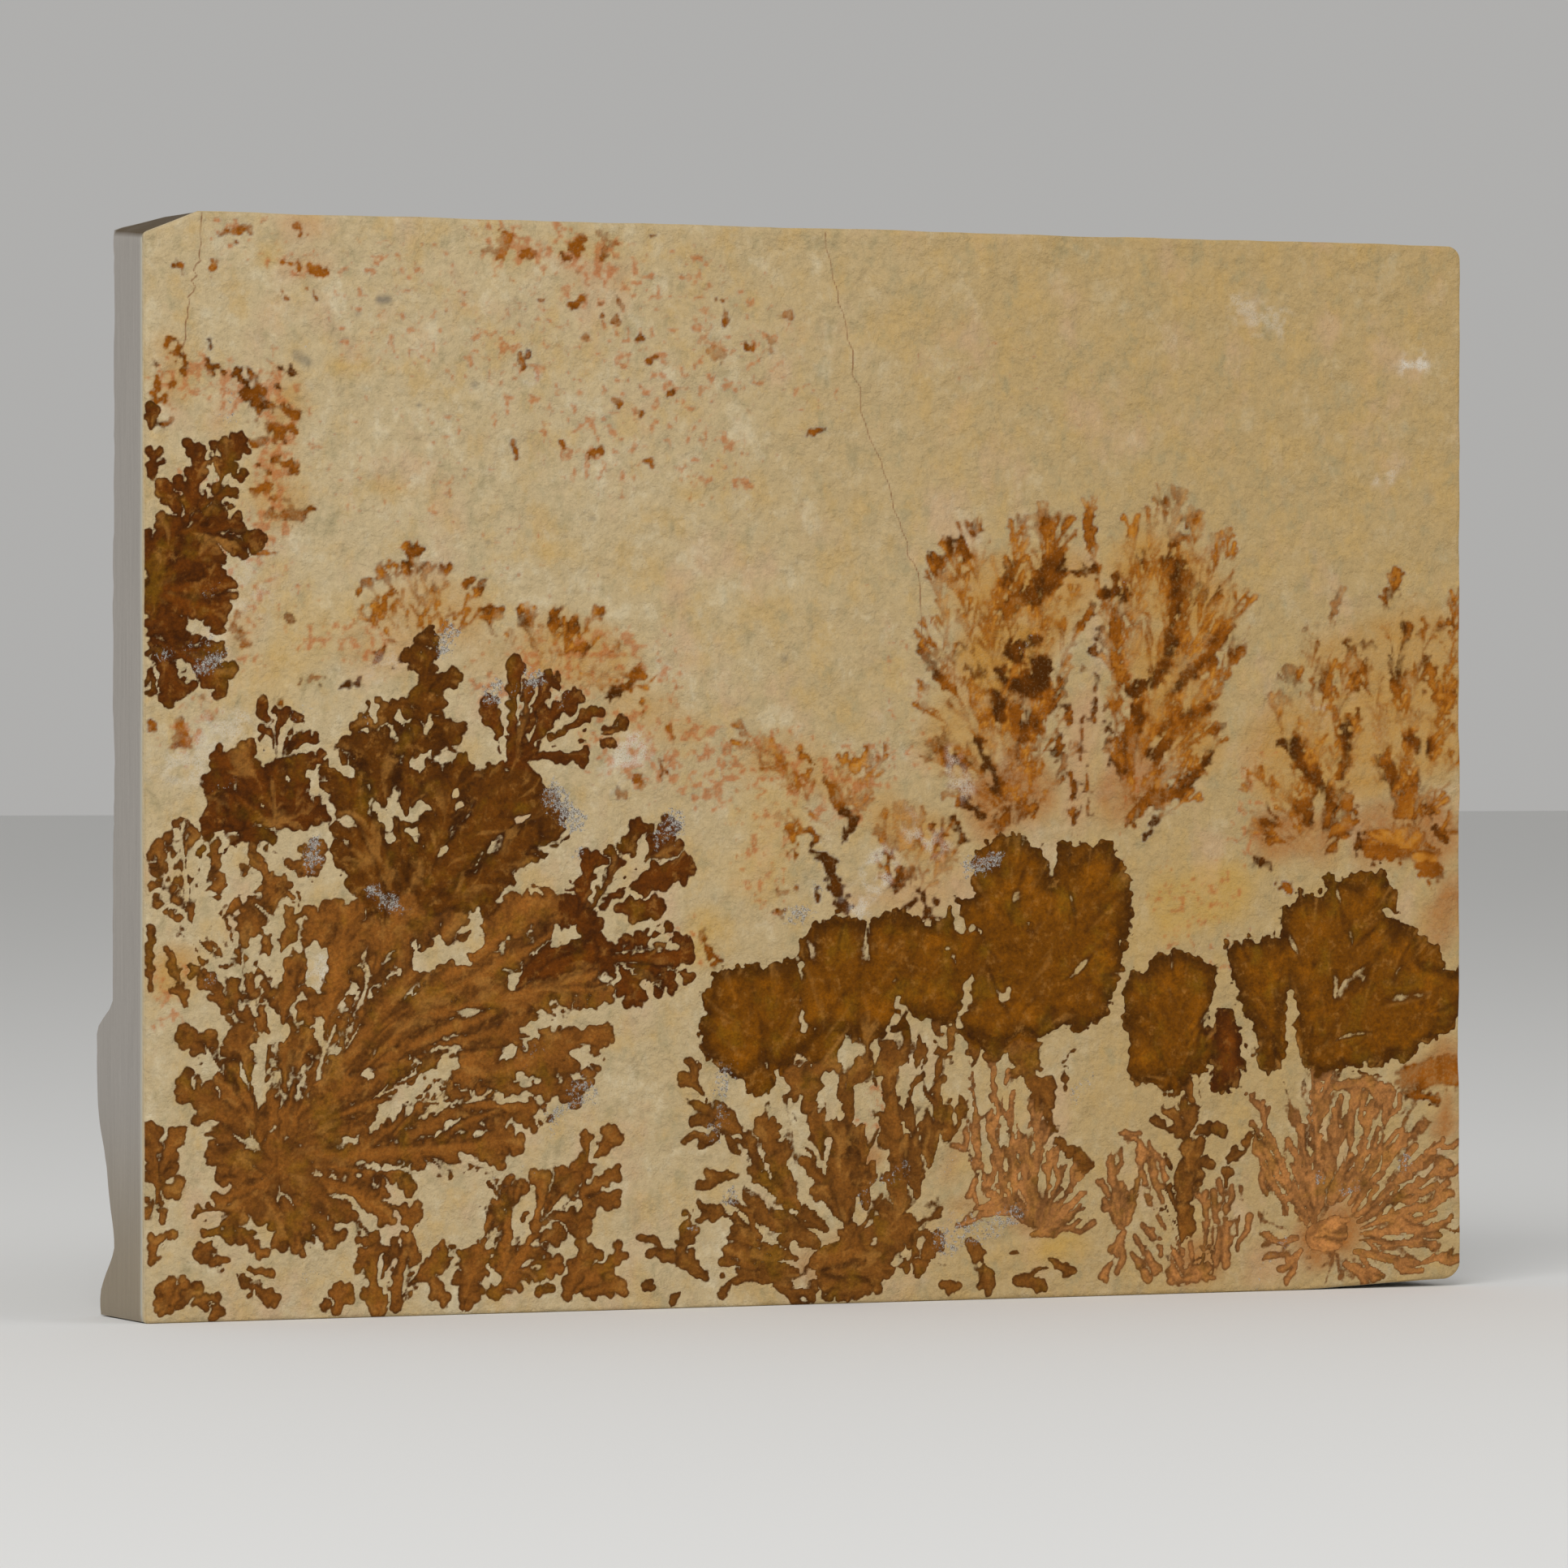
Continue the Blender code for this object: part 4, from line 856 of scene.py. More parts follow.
# Bare places inside the film. A row holds two ends and half the breadth at each.
BARE = (
    (11.6, 25.6, 13.2, 25.8, 0.7, 0.6), (12.3, 26.2, 12.2, 29.3, 0.8, 0.2),
    (16.6, 29.8, 16.3, 33, 0.5, 1.2), (10.6, 34.4, 12.6, 35.8, 0.6, 0.7),
    (21.2, 17.6, 29.5, 22.8, 0.25, 0.9), (21.5, 17.2, 24.5, 19.5, 0.6, 0.4), (26.5, 32, 32, 34, 0.9, 1),
    (28.5, 33.5, 31, 32.2, 0.8, 0.8), (45.5, 27.3, 36.5, 26, 0.8, 0.3), (36.5, 39.5, 41, 40.6, 0.9, 1.5),
    (35.8, 38.8, 38, 38.6, 0.4, 0.5), (40, 34.2, 41.2, 34.8, 0.7, 0.8), (7.6, 41.5, 9.5, 37.9, 0.7, 0.3),
    (12.5, 41.2, 15.8, 38.6, 0.8, 0.6), (7.8, 41.8, 9, 42.2, 0.8, 0.7), (27, 7.5, 32, 11.5, 1.4, 1.6),
    (29, 9.5, 30.8, 8, 2.4, 1.8), (23.6, 46.4, 24.6, 45.6, 0.35, 0.3), (23.4, 44.6, 23.6, 43.4, 0.25, 0.2),
    (25.4, 45.2, 26.2, 46.3, 0.2, 0.4), (26.8, 46.6, 27.9, 45.8, 0.3, 0.25), (25.6, 44, 26.4, 43, 0.4, 0.2),
    (28.7, 42, 28.8, 42.3, 0.2, 0.2), (30.1, 47.4, 30.3, 46.6, 0.15, 0.2),
    (26.2, 50.2, 26.6, 51.2, 0.35, 0.4), (28.6, 50.8, 29.6, 51.2, 0.35, 0.5),
    (31.6, 51.6, 32.4, 50.2, 0.7, 0.4), (21.6, 57.4, 22.2, 54, 0.4, 0.12), (30.8, 57, 31.2, 53.6, 0.7, 0.3),
    (18.2, 50.4, 20.8, 48.4, 0.5, 0.15), (34.6, 52.6, 34.9, 49.8, 0.4, 0.1),
    (24.4, 55.8, 24.6, 53.4, 0.25, 0.1), (37.2, 53, 37.3, 53.2, 0.2, 0.2), (72, 4.6, 72.1, 6.2, 0.3, 0.4),
    (74.6, 1, 74.3, 4.2, 0.5, 0.2), (76.3, 4.4, 76.5, 5.8, 0.3, 0.4), (64.6, 26.5, 64.4, 31.5, 0.3, 0.15),
    (64.8, 25.8, 66.6, 25.6, 0.4, 0.2), (74.3, 29.8, 74.8, 27, 0.2, 0.6), (74.8, 27.2, 73, 25.2, 0.4, 0.3),
    (74.9, 27, 77, 25, 0.4, 0.4), (77, 25, 79, 24.2, 0.5, 0.5), (79.8, 33, 80.8, 30.5, 0.25, 0.4),
    (82, 29.7, 80.8, 26, 0.4, 0.25), (80.5, 36.5, 81, 34.8, 0.4, 0.35), (81, 34.8, 82.5, 34.6, 0.3, 0.25),
    (90.4, 42.4, 90.5, 39.8, 0.55, 0.35), (62, 21.5, 65, 16.5, 0.3, 0.5), (67.2, 20.8, 67.6, 18, 0.7, 0.5),
    (69, 24.4, 69.6, 22.8, 0.6, 0.4), (72, 24.4, 72.1, 22.6, 0.3, 0.3), (72.6, 20.8, 72.2, 16.5, 0.6, 0.4),
    (75.6, 21.5, 75, 18.2, 0.4, 0.3), (78, 24, 77.6, 20.8, 0.6, 0.3), (80.6, 21.5, 80.2, 17, 1.3, 0.9),
    (83.3, 19.5, 83.6, 10.5, 0.5, 0.2), (85.2, 21.2, 85, 18.8, 0.4, 0.3), (87.3, 18, 87.6, 15.2, 0.3, 0.2),
    (96, 23.5, 95, 15, 2.6, 1.8), (93, 22.4, 92.5, 15.5, 0.8, 1), (88, 35.3, 87.9, 34.2, 0.15, 0.1),
    (76.2, 30.8, 76.3, 30.9, 0.15, 0.1), (85.5, 28.5, 86.1, 28.9, 0.15, 0.1),
    (101.6, 18.6, 103.2, 17.6, 0.9, 0.6), (105.2, 20.6, 106.2, 17.6, 0.5, 0.6),
    (108.3, 31, 108.1, 29, 0.3, 0.25), (108.1, 28.8, 107, 25, 0.3, 0.3),
    (108.4, 28.6, 111.4, 24.6, 0.4, 0.45), (111.4, 24.6, 111.6, 20, 0.4, 0.6),
    (115.7, 28.4, 116, 20.5, 0.3, 1.1), (125.9, 36.1, 127.4, 35.6, 0.3, 0.25),
)

CRACKS = (
    ((5.5, 99.9), (5, 96), (4.9, 94.2), (4.4, 92.3), (3.9, 90), (3.7, 87)),
    (
        (67, 99.6), (67.6, 96.5), (69, 92), (69.8, 87.5), (70.5, 83), (72.4, 78.5), (74, 74), (75.5, 70),
        (76.4, 68), (77, 62.5), (77.2, 60),
    ),
)


class Dab(Enum):
    """The colours of the dabs, from light to dark."""

    LIGHT = (192, 128, 44)
    MIDDLE = (152, 86, 14)
    DEEP = (110, 58, 2)
    DARK = (74, 38, 0)


class Stain(Enum):
    """Soft stains in the stone round the film, as screen colours."""

    APRICOT = (184, 134, 62)
    HONEY = (194, 152, 70)
    BLUSH = (190, 142, 104)
    EMBER = (164, 100, 40)


# Stains. A row holds two ends, half the breadth at each, and a strength.
HAZE = {
    Stain.APRICOT: (
        (25, 64, 31, 64, 3, 3, 0.6), (39, 60, 44, 60, 3.5, 3.5, 0.65), (47, 55, 53, 53.5, 2.5, 2, 0.45),
        (84, 66, 91, 67, 4.2, 4.2, 0.8), (84, 60, 90.5, 63.5, 4, 2.6, 1), (101, 68, 106, 66, 4.6, 4, 0.8),
        (81, 52, 83, 57, 3.8, 4, 0.6), (101, 60, 105, 53, 3.6, 3.4, 0.8), (116, 51, 130, 55, 5.5, 6, 0.75),
        (120, 60, 130, 62, 3, 3.6, 0.65), (2.5, 31, 2.8, 31.2, 2, 2, 0.75),
        (12.5, 74, 13, 83, 2.2, 2.4, 0.6), (2.5, 87, 2.6, 84, 1.6, 1.4, 0.6),
        (73, 45, 78, 43, 2.4, 2.6, 0.7), (60, 51, 69, 48, 2, 2.6, 0.55), (36, 59.5, 33, 60.5, 2, 2, 0.35),
        (20, 61, 24, 60.5, 2.2, 2, 0.45), (9.2, 61, 9.6, 64, 1.6, 1.8, 0.4),
    ),
    Stain.EMBER: (
        (84.5, 46.5, 88.5, 47.5, 3.2, 3, 0.75), (97, 47, 99.5, 49.5, 2.6, 2.6, 0.65),
        (113.5, 43.5, 118.5, 43.5, 2.4, 2.6, 0.7), (125, 43.5, 131, 43.5, 3, 3, 0.7),
        (118.5, 4.4, 121, 5.4, 2.6, 2.8, 0.95), (104.5, 3, 107, 3.4, 2.4, 2.4, 0.75),
        (87.5, 8.6, 90, 7.4, 1.6, 1.4, 0.7), (66, 3.5, 68, 4, 1.6, 1.8, 0.5),
        (70.2, 14, 71.4, 13.6, 1, 1, 0.8), (132.2, 15, 132.6, 18, 1.5, 1.3, 1),
        (128.5, 20, 132.6, 21, 1.2, 2.2, 0.9), (131.5, 34, 133, 37, 2, 2.5, 0.7),
        (81, 9, 85, 9.6, 1.2, 1.2, 0.5), (79.6, 12, 81, 15, 1.4, 1.2, 0.5),
    ),
    Stain.HONEY: (
        (59, 40, 62, 46, 3, 3, 0.35), (103, 37, 109, 38, 3, 3, 0.6),
        (38.8, 69.4, 41.4, 69.4, 0.6, 0.6, 0.8), (52.4, 75, 53.8, 75, 0.4, 0.4, 0.6),
        (18.8, 86.3, 21, 86.3, 0.7, 0.6, 0.8), (22.5, 75.3, 25.6, 74.8, 0.35, 0.35, 0.6),
        (11.8, 96.1, 12.2, 95.9, 0.8, 0.7, 0.6), (35, 96.5, 45, 97, 1.8, 1.6, 0.3),
        (18, 63, 12, 58, 3, 3, 0.3), (54, 33, 55, 35.5, 1.2, 1.4, 0.6), (99, 30.5, 100.5, 36, 1, 1.6, 0.3),
        (89, 4.2, 92.5, 5.6, 1, 1.2, 0.6),
    ),
    Stain.BLUSH: (
        (14, 99, 16, 99, 1, 1, 0.5), (38, 97, 46, 95, 1.6, 1.8, 0.35), (13.5, 95, 17.5, 95.2, 1, 1, 0.45),
        (7, 81, 8, 84.5, 1.2, 1.2, 0.6), (70, 37.5, 80, 38.5, 1.6, 1.8, 0.4),
        (92.5, 46, 94, 56, 1.6, 1.6, 0.5), (112.5, 2.5, 114.5, 3, 2.2, 2.2, 0.5),
    ),
}

# Fields of small rusty freckles. A row ends in how many there are.
FRECKLES = (
    (34, 97.5, 46, 96, 2.2, 2.4, 1), (34, 88, 44, 80, 4, 4.5, 0.62), (47, 88, 56, 78, 4.5, 4.5, 0.62),
    (12, 96, 17, 95, 1.2, 1.2, 0.9), (7.5, 98.2, 10, 98.4, 1, 1, 1), (12.5, 72, 12.8, 84.5, 2.2, 2.2, 1),
    (8, 84, 3, 85, 2.2, 2.4, 1), (10, 64, 9.5, 60, 1.6, 1.6, 0.8), (3.5, 52.5, 5, 55, 1.6, 1.6, 0.8),
    (60, 90, 66, 84, 2.5, 2.5, 0.4), (61, 40, 60, 48, 3, 3, 0.7), (103, 36, 108, 38, 2.4, 2.4, 0.7),
    (66, 47, 72, 50, 3, 3, 0.8), (52, 55, 50, 62, 2.4, 2, 0.6), (110, 42, 112, 50, 1.6, 1.6, 0.7),
    (2.5, 31, 2, 27, 1.6, 1.2, 0.8), (52.5, 35, 55, 33, 1.4, 1.4, 0.9), (73, 66, 76, 50, 1.5, 1.5, 0.5),
    (16, 62, 22, 60.5, 1.8, 1.6, 0.8), (72, 20, 70, 14, 1.6, 1.6, 0.7), (80, 90, 96, 84, 3, 3, 0.22),
    (22, 74, 40, 68, 3, 3, 0.25), (22, 92, 56, 90, 6, 8, 0.5), (5, 74, 12, 66, 3, 3, 0.7),
    (34, 58, 46, 60, 3, 3, 0.85), (46, 52, 56, 50, 4, 4, 0.9), (16, 80, 30, 78, 4, 5, 0.3),
    (61, 51, 70, 47, 3, 3, 0.8), (112, 30, 100, 38, 3, 3, 0.5), (98, 66, 98.5, 45, 0.9, 0.9, 0.7),
)

# Places where a grey-white crust lies on the face, in the same rows.
BLOOM = (
    (39.5, 18, 43, 20, 1.4, 1.6, 0.8), (36.8, 23, 38.4, 25.6, 1, 1.2, 0.5),
    (4.6, 30.6, 6.4, 30.8, 0.9, 0.9, 1), (15.9, 41.6, 16.9, 44, 0.9, 0.7, 1),
    (21.8, 38.9, 24, 37.2, 0.7, 0.7, 1), (11.5, 52, 15.2, 55, 1, 1, 0.45),
    (7.4, 48.3, 8.6, 48.8, 0.6, 0.6, 0.5), (28.6, 60.6, 29.8, 62.2, 1, 0.9, 1),
    (20.9, 53.8, 21.8, 54.6, 0.8, 0.7, 0.6), (39.6, 48, 42.2, 45.2, 1.3, 1.2, 1),
    (33.4, 56.4, 34.2, 57.6, 1, 0.9, 0.9), (36.6, 57.2, 38.2, 58.8, 1.2, 1.1, 0.9),
    (40.2, 56, 40.8, 57, 0.7, 0.6, 0.6), (50.6, 43.2, 52, 45, 1.1, 1.2, 0.9),
    (41.8, 42.2, 42.6, 42.8, 0.6, 0.5, 0.8), (56, 16, 56.8, 21.4, 1.1, 1.4, 0.8),
    (57, 10.2, 57.2, 10.6, 0.7, 0.6, 0.9), (92.8, 19.4, 94.6, 20.6, 0.9, 0.9, 0.7),
    (71, 10, 74.6, 12.5, 1.2, 1.2, 0.6), (79.5, 6, 86, 7.5, 1.6, 1.6, 0.8),
    (79.6, 12.6, 81.6, 14, 1, 1, 0.5), (63.4, 36, 65.6, 36.8, 0.9, 0.9, 1),
    (66.2, 38.6, 67.2, 39.6, 0.7, 0.7, 0.7), (66.5, 42.5, 66.8, 44, 0.6, 0.5, 0.6),
    (81.4, 40.2, 84.6, 41.2, 0.8, 0.7, 1), (127.2, 11.4, 128.4, 12.2, 0.6, 0.6, 0.9),
    (118.4, 10, 118.6, 10.2, 0.6, 0.6, 0.9), (121.6, 9.2, 122.4, 9.8, 0.6, 0.6, 0.8),
    (112.4, 1.4, 115, 4.6, 1, 1, 0.7), (5.6, 65.6, 7.4, 67.2, 0.8, 0.8, 0.6),
    (2, 60.2, 5.8, 61.2, 0.6, 0.7, 0.9), (5.4, 58.6, 7.6, 60.2, 0.9, 0.9, 1),
    (14.2, 3.6, 16.4, 4.4, 1, 0.8, 0.55), (18.6, 4.2, 19.2, 4, 0.5, 0.5, 0.6),
    (2, 6.6, 2.8, 5.6, 0.5, 0.5, 0.35), (34.6, 12.4, 37.8, 13.8, 0.8, 0.8, 0.5),
    (8, 81.6, 8.6, 84, 1, 0.8, 0.6), (16, 87.4, 15.6, 88.2, 0.5, 0.4, 0.8),
    (33.2, 2.6, 37, 3.6, 0.9, 0.9, 0.4), (54, 7.4, 54.2, 7.8, 0.5, 0.4, 0.7),
    (97.2, 66.5, 97.6, 68, 0.6, 0.5, 0.5), (87, 60.8, 88.4, 62.4, 0.6, 0.5, 0.5),
)

# Chalky pale places and grey spots on the bare stone, in the same rows.
CHALK = (
    (126.5, 78.2, 125.8, 78, 0.7, 0.6, 0.8), (128.6, 89.2, 129.6, 89, 0.8, 0.7, 0.9),
    (111, 93, 114, 92, 1.6, 1.4, 0.35), (37, 86.5, 37.5, 86, 0.6, 0.6, 0.6),
    (70.5, 37.5, 72.5, 41, 1.2, 1.4, 0.6), (76, 44.5, 78.5, 42, 0.9, 1.2, 0.5),
    (46, 49.5, 47.5, 51.5, 1.6, 1.4, 0.6), (9, 68, 11, 65, 1.6, 1.6, 0.3), (8, 53.5, 3, 49.5, 2, 2, 0.4),
    (22, 59, 24, 60, 0.8, 0.8, 0.3), (80, 50.5, 81, 48, 0.7, 0.7, 0.5),
    (119, 55.5, 119.4, 55, 0.9, 0.9, 0.5), (5.2, 62.8, 6, 63.4, 0.8, 0.6, 0.5),
    (15.9, 31, 16.6, 32.4, 0.6, 0.8, 0.8),
)
SPOTS = (
    (22.6, 92.4, 23.4, 92.4, 0.35, 0.35, 0.8), (26.4, 82.9, 26.5, 82.9, 0.12, 0.12, 1),
    (20.4, 91, 20.7, 91.1, 0.2, 0.2, 0.5), (31.8, 84.8, 31.9, 84.9, 0.2, 0.2, 0.6),
    (43.4, 72.8, 43.6, 72.8, 0.2, 0.2, 0.5), (33, 70.5, 33.2, 70.5, 0.15, 0.15, 0.5),
    (62.8, 60, 62.9, 60, 0.2, 0.2, 0.5), (14.6, 87.2, 15.6, 86.6, 0.5, 0.4, 0.5),
)


class Cloud(Enum):
    """The soft noises: the breadth of the largest lumps, the seed, and how many octaves are added."""

    BROAD_STREAK = (1.0, 62, 1)
    NARROW_STREAK = (0.6, 63, 1)
    FINE_STREAK = (0.3, 64, 1)
    MASS_TONE = (2.4, 71, 3)
    MASS_RIM = (2.2, 72, 2)
    LIGHT = (1.4, 74, 4)
    SHOULDER = (1.6, 75, 4)
    BARE_RIM = (1.0, 81, 3)
    SPRIG_THICKNESS = (1.8, 91, 3)
    SPRIG_RIM = (0.5, 92, 2)
    DAB_RIM = (1.2, 96, 3)
    SPRIG_DEPTH = (1.1, 97, 3)
    STAIN_RIM = (5.0, 101, 4)
    STAIN_GRAIN = (1.0, 102, 3)
    FRECKLES = (0.6, 103, 3)
    FRECKLED = (1.6, 104, 3)
    BLOOM = (1.6, 111, 3)
    CHALK = (1.6, 112, 3)
    SPOTS = (1.6, 113, 3)
    CHALK_GRAIN = (1.0, 114, 3)


class Lobes(Enum):
    """The round lobes of a rim: their breadth and the seed."""

    LARGE = (1.3, 60)
    MIDDLE = (0.8, 61)
    SMALL = (0.45, 65)
    MASS = (1.6, 73)
    BARE = (0.9, 82)
    RIM = (0.5, 83)
    DAB = (0.8, 94)


class Raster:
    """A fine even grid over the face, in millimetres, and the patterns that are drawn on it."""

    MARGIN = 1.5  # how far it goes past the face on every side
    FINER = 0.55  # how strong each octave of a noise is, against the one before
    DRAG = 1.5  # how many cells a streak is dragged in one go

    def __init__(self, width: float, height: float, step: float) -> None:
        """Lays the grid out.

        Args:
            width: The face's width in millimetres.
            height: Its height.
            step: The side of a cell.
        """
        self.step = step
        self.x = np.arange(-self.MARGIN, width + self.MARGIN, step)
        self.z = np.arange(-self.MARGIN, height + self.MARGIN, step)
        self.shape = (len(self.z), len(self.x))

    def full(self, value: float, bands: int = 0) -> np.ndarray:
        """A layer that holds one value, or several bands of it."""
        return np.full(self.shape + ((bands,) if bands else ()), value, np.float32)

    def window(self, low: np.ndarray, high: np.ndarray) -> Area:
        """Part of the raster.

        Args:
            low: x and z of its lowest corner.
            high: x and z of its highest.

        Returns:
            Its rows and its columns.
        """
        start = np.floor((np.asarray(low) + self.MARGIN) / self.step).astype(int)
        end = np.ceil((np.asarray(high) + self.MARGIN) / self.step).astype(int) + 1
        start = np.clip(start, 0, None)
        return slice(start[1], max(start[1], end[1])), slice(start[0], max(start[0], end[0]))

    def clouds(self, cloud: Cloud) -> np.ndarray:
        """Soft noise over the whole raster.

        Args:
            cloud: Which of the noises.

        Returns:
            A layer of 0 to 1.
        """
        size, seed, octaves = cloud.value
        rng = np.random.default_rng(seed)
        total, weight, whole = self.full(0.0), 1.0, 0.0
        for octave in range(octaves):
            cell = size / 2**octave
            places = [(axis + self.MARGIN) / cell for axis in (self.x, self.z)]
            first = [place.astype(int) for place in places]
            share = [smooth_step(0.0, 1.0, p - f) for p, f in zip(places, first)]
            knots = rng.random((first[1][-1] + 2, first[0][-1] + 2), np.float32)
            across = knots[:, first[0]] * (1 - share[0]) + knots[:, first[0] + 1] * share[0]
            rise = share[1][:, None]
            total += weight * (across[first[1]] * (1 - rise) + across[first[1] + 1] * rise)
            whole += weight
            weight *= self.FINER
        return total / whole

    def lobes(self, lobes: Lobes) -> np.ndarray:
        """Round lobes over the whole raster.

        Args:
            lobes: Which of the patterns.

        Returns:
            The distance to the middle of the nearest lobe, as a share of a lobe's breadth.
        """
        size, seed = lobes.value
        rng = np.random.default_rng(seed)
        columns = (self.x + self.MARGIN) / size + 1.0
        rows = (self.z + self.MARGIN) / size + 1.0
        jitter = rng.random((int(rows[-1]) + 3, int(columns[-1]) + 3, 2), np.float32) * 0.8 + 0.1
        column, row = columns.astype(int), rows.astype(int)
        nearest = self.full(FAR)
        for down in (-1, 0, 1):
            for side in (-1, 0, 1):
                at = jitter[(row + down)[:, None], (column + side)[None, :]]
                dx = at[..., 0] + (column + side) - columns
                dz = at[..., 1] + (row + down)[:, None] - rows[:, None]
                nearest = np.minimum(nearest, dx * dx + dz * dz)
        return np.sqrt(nearest)

    def rods(self, rows: Iterable[Row], past: float = 1.2) -> np.ndarray:
        """How far each cell is outside the nearest of some tapered rods.

        Args:
            rows: x and z of two ends, and the radius at each.
            past: How far past a rod the distance is kept.

        Returns:
            A layer, negative inside a rod and FAR away from all.
        """
        layer = self.full(FAR)
        for row in rows:
            area = self.around(row, past)
            layer[area] = np.minimum(layer[area], self.rod(area, row))
        return layer

    def around(self, row: Row, past: float) -> Area:
        """The rows and columns that a rod takes up, and some way past it."""
        reach = max(row[4:6]) + past
        return self.window(np.minimum(row[:2], row[2:4]) - reach, np.maximum(row[:2], row[2:4]) + reach)

    def rod(self, area: Area, row: Row) -> np.ndarray:
        """The distance outside one tapered rod, over part of the grid."""
        return self.grown_rod(area, row, 0.0)[0]

    def grown_rod(
        self, area: Area, row: Row, spread: float
    ) -> tuple[np.ndarray, np.ndarray]:
        """One tapered rod over part of the grid.

        Args:
            area: The rows and columns.
            row: x and z of its two ends, and the radius at each.
            spread: How far its feathering turns away from its axis.

        Returns:
            The distance outside it, and the way it grows there.
        """
        x0, z0, x1, z1, r0, r1 = row[:6]
        run = (x1 - x0, z1 - z0)
        length = max(1e-3, math.hypot(*run))
        x = self.x[area[1]][None, :] - x0
        z = self.z[area[0]][:, None] - z0
        share = np.clip((x * run[0] + z * run[1]) / length**2, 0.0, 1.0)
        out_x, out_z = x - share * run[0], z - share * run[1]
        axis = np.hypot(out_x, out_z)
        away = axis - (r0 + (r1 - r0) * share)
        if not spread:
            return away, away
        outward = spread / np.maximum(axis, 0.35)
        way = np.stack((out_x * outward + run[0] / length, out_z * outward + run[1] / length), -1)
        return away, way / np.maximum(0.3, np.hypot(way[..., 0], way[..., 1]))[..., None]

    def polygon(self, outline: Sequence[Pair]) -> np.ndarray:
        """Measures how far each cell is outside a closed outline.

        Args:
            outline: x and z of its corners.

        Returns:
            A layer, negative inside the outline and FAR away from it.
        """
        corners = np.array(outline)
        area = self.window(corners.min(0) - 2.0, corners.max(0) + 2.0)
        x, z = self.x[area[1]][None, :], self.z[area[0]][:, None]
        away = np.full((z.shape[0], x.shape[1]), FAR * FAR)
        inside = np.zeros(away.shape, bool)
        for (x0, z0), (x1, z1) in zip(corners, np.roll(corners, -1, axis=0)):
            run = (x1 - x0, z1 - z0)
            share = ((x - x0) * run[0] + (z - z0) * run[1]) / (run[0] ** 2 + run[1] ** 2)
            share = np.clip(share, 0.0, 1.0)
            away = np.minimum(away, (x - x0 - share * run[0]) ** 2 + (z - z0 - share * run[1]) ** 2)
            if z0 != z1:
                crossing = (z0 > z) != (z1 > z)
                inside ^= crossing & (x < x0 + (z - z0) / run[1] * run[0])
        layer = self.full(FAR)
        layer[area] = np.where(inside, -1.0, 1.0) * np.sqrt(away)
        return layer

    def combed(self, grains: np.ndarray, flow: np.ndarray, reach: float) -> np.ndarray:
        """Drags patterns along the way the film grew, and evens them out to a spread of one.

        Args:
            grains: Bands of noise.
            flow: The direction of growth at each cell, of length 1 or 0.
            reach: How far each cell is dragged, both ways.

        Returns:
            The same bands as streaks, each with a mean of 0 and a spread of 1.
        """
        rows, columns = (layer.astype(np.float32) for layer in np.indices(self.shape))
        total = grains.copy()
        for drag in (self.DRAG, -self.DRAG):
            row, column = rows.copy(), columns.copy()
            at = (rows.astype(int), columns.astype(int))
            for _ in range(round(reach / self.step / self.DRAG)):
                way = flow[at]
                column = np.clip(column + drag * way[..., 0], 0, self.shape[1] - 1)
                row = np.clip(row + drag * way[..., 1], 0, self.shape[0] - 1)
                at = (np.rint(row).astype(int), np.rint(column).astype(int))
                total += grains[at]
        held = np.hypot(flow[..., 0], flow[..., 1]) > 0.5
        total = (total - total[held].mean(0)) / total[held].std(0)
        return np.where(held[..., None], total, 0.0)

    def soften(self, layer: np.ndarray, radius: float, times: int = 2) -> np.ndarray:
        """Blurs a layer by running means.

        Args:
            layer: The layer.
            radius: How far each mean reaches, in millimetres.
            times: How often both means are taken.

        Returns:
            The blurred layer.
        """
        cells = max(1, round(radius / self.step))
        for _ in range(times):
            for axis in (0, 1):
                pad = [(0, 0)] * layer.ndim
                pad[axis] = (cells + 1, cells)
                total = np.cumsum(np.pad(layer, pad, mode="edge"), axis=axis, dtype=np.float64)
                size = layer.shape[axis]
                upper = np.take(total, np.arange(2 * cells + 1, 2 * cells + 1 + size), axis)
                lower = np.take(total, np.arange(size), axis)
                layer = ((upper - lower) / (2 * cells + 1)).astype(np.float32)
        return layer

    def read(self, layer: np.ndarray, x: np.ndarray, z: np.ndarray) -> np.ndarray:
        """Reads a layer between its cells.

        Args:
            layer: One of this raster's layers.
            x: Places along the face, in millimetres.
            z: Their heights.

        Returns:
            The layer's value at each place.
        """
        column = np.clip((x + self.MARGIN) / self.step, 0, self.shape[1] - 1.001)
        row = np.clip((z + self.MARGIN) / self.step, 0, self.shape[0] - 1.001)
        left, low = column.astype(int), row.astype(int)
        across, up = column - left, row - low
        if layer.ndim == 3:
            across, up = across[:, None], up[:, None]
        below = layer[low, left] * (1 - across) + layer[low, left + 1] * across
        above = layer[low + 1, left] * (1 - across) + layer[low + 1, left + 1] * across
        return below * (1 - up) + above * up


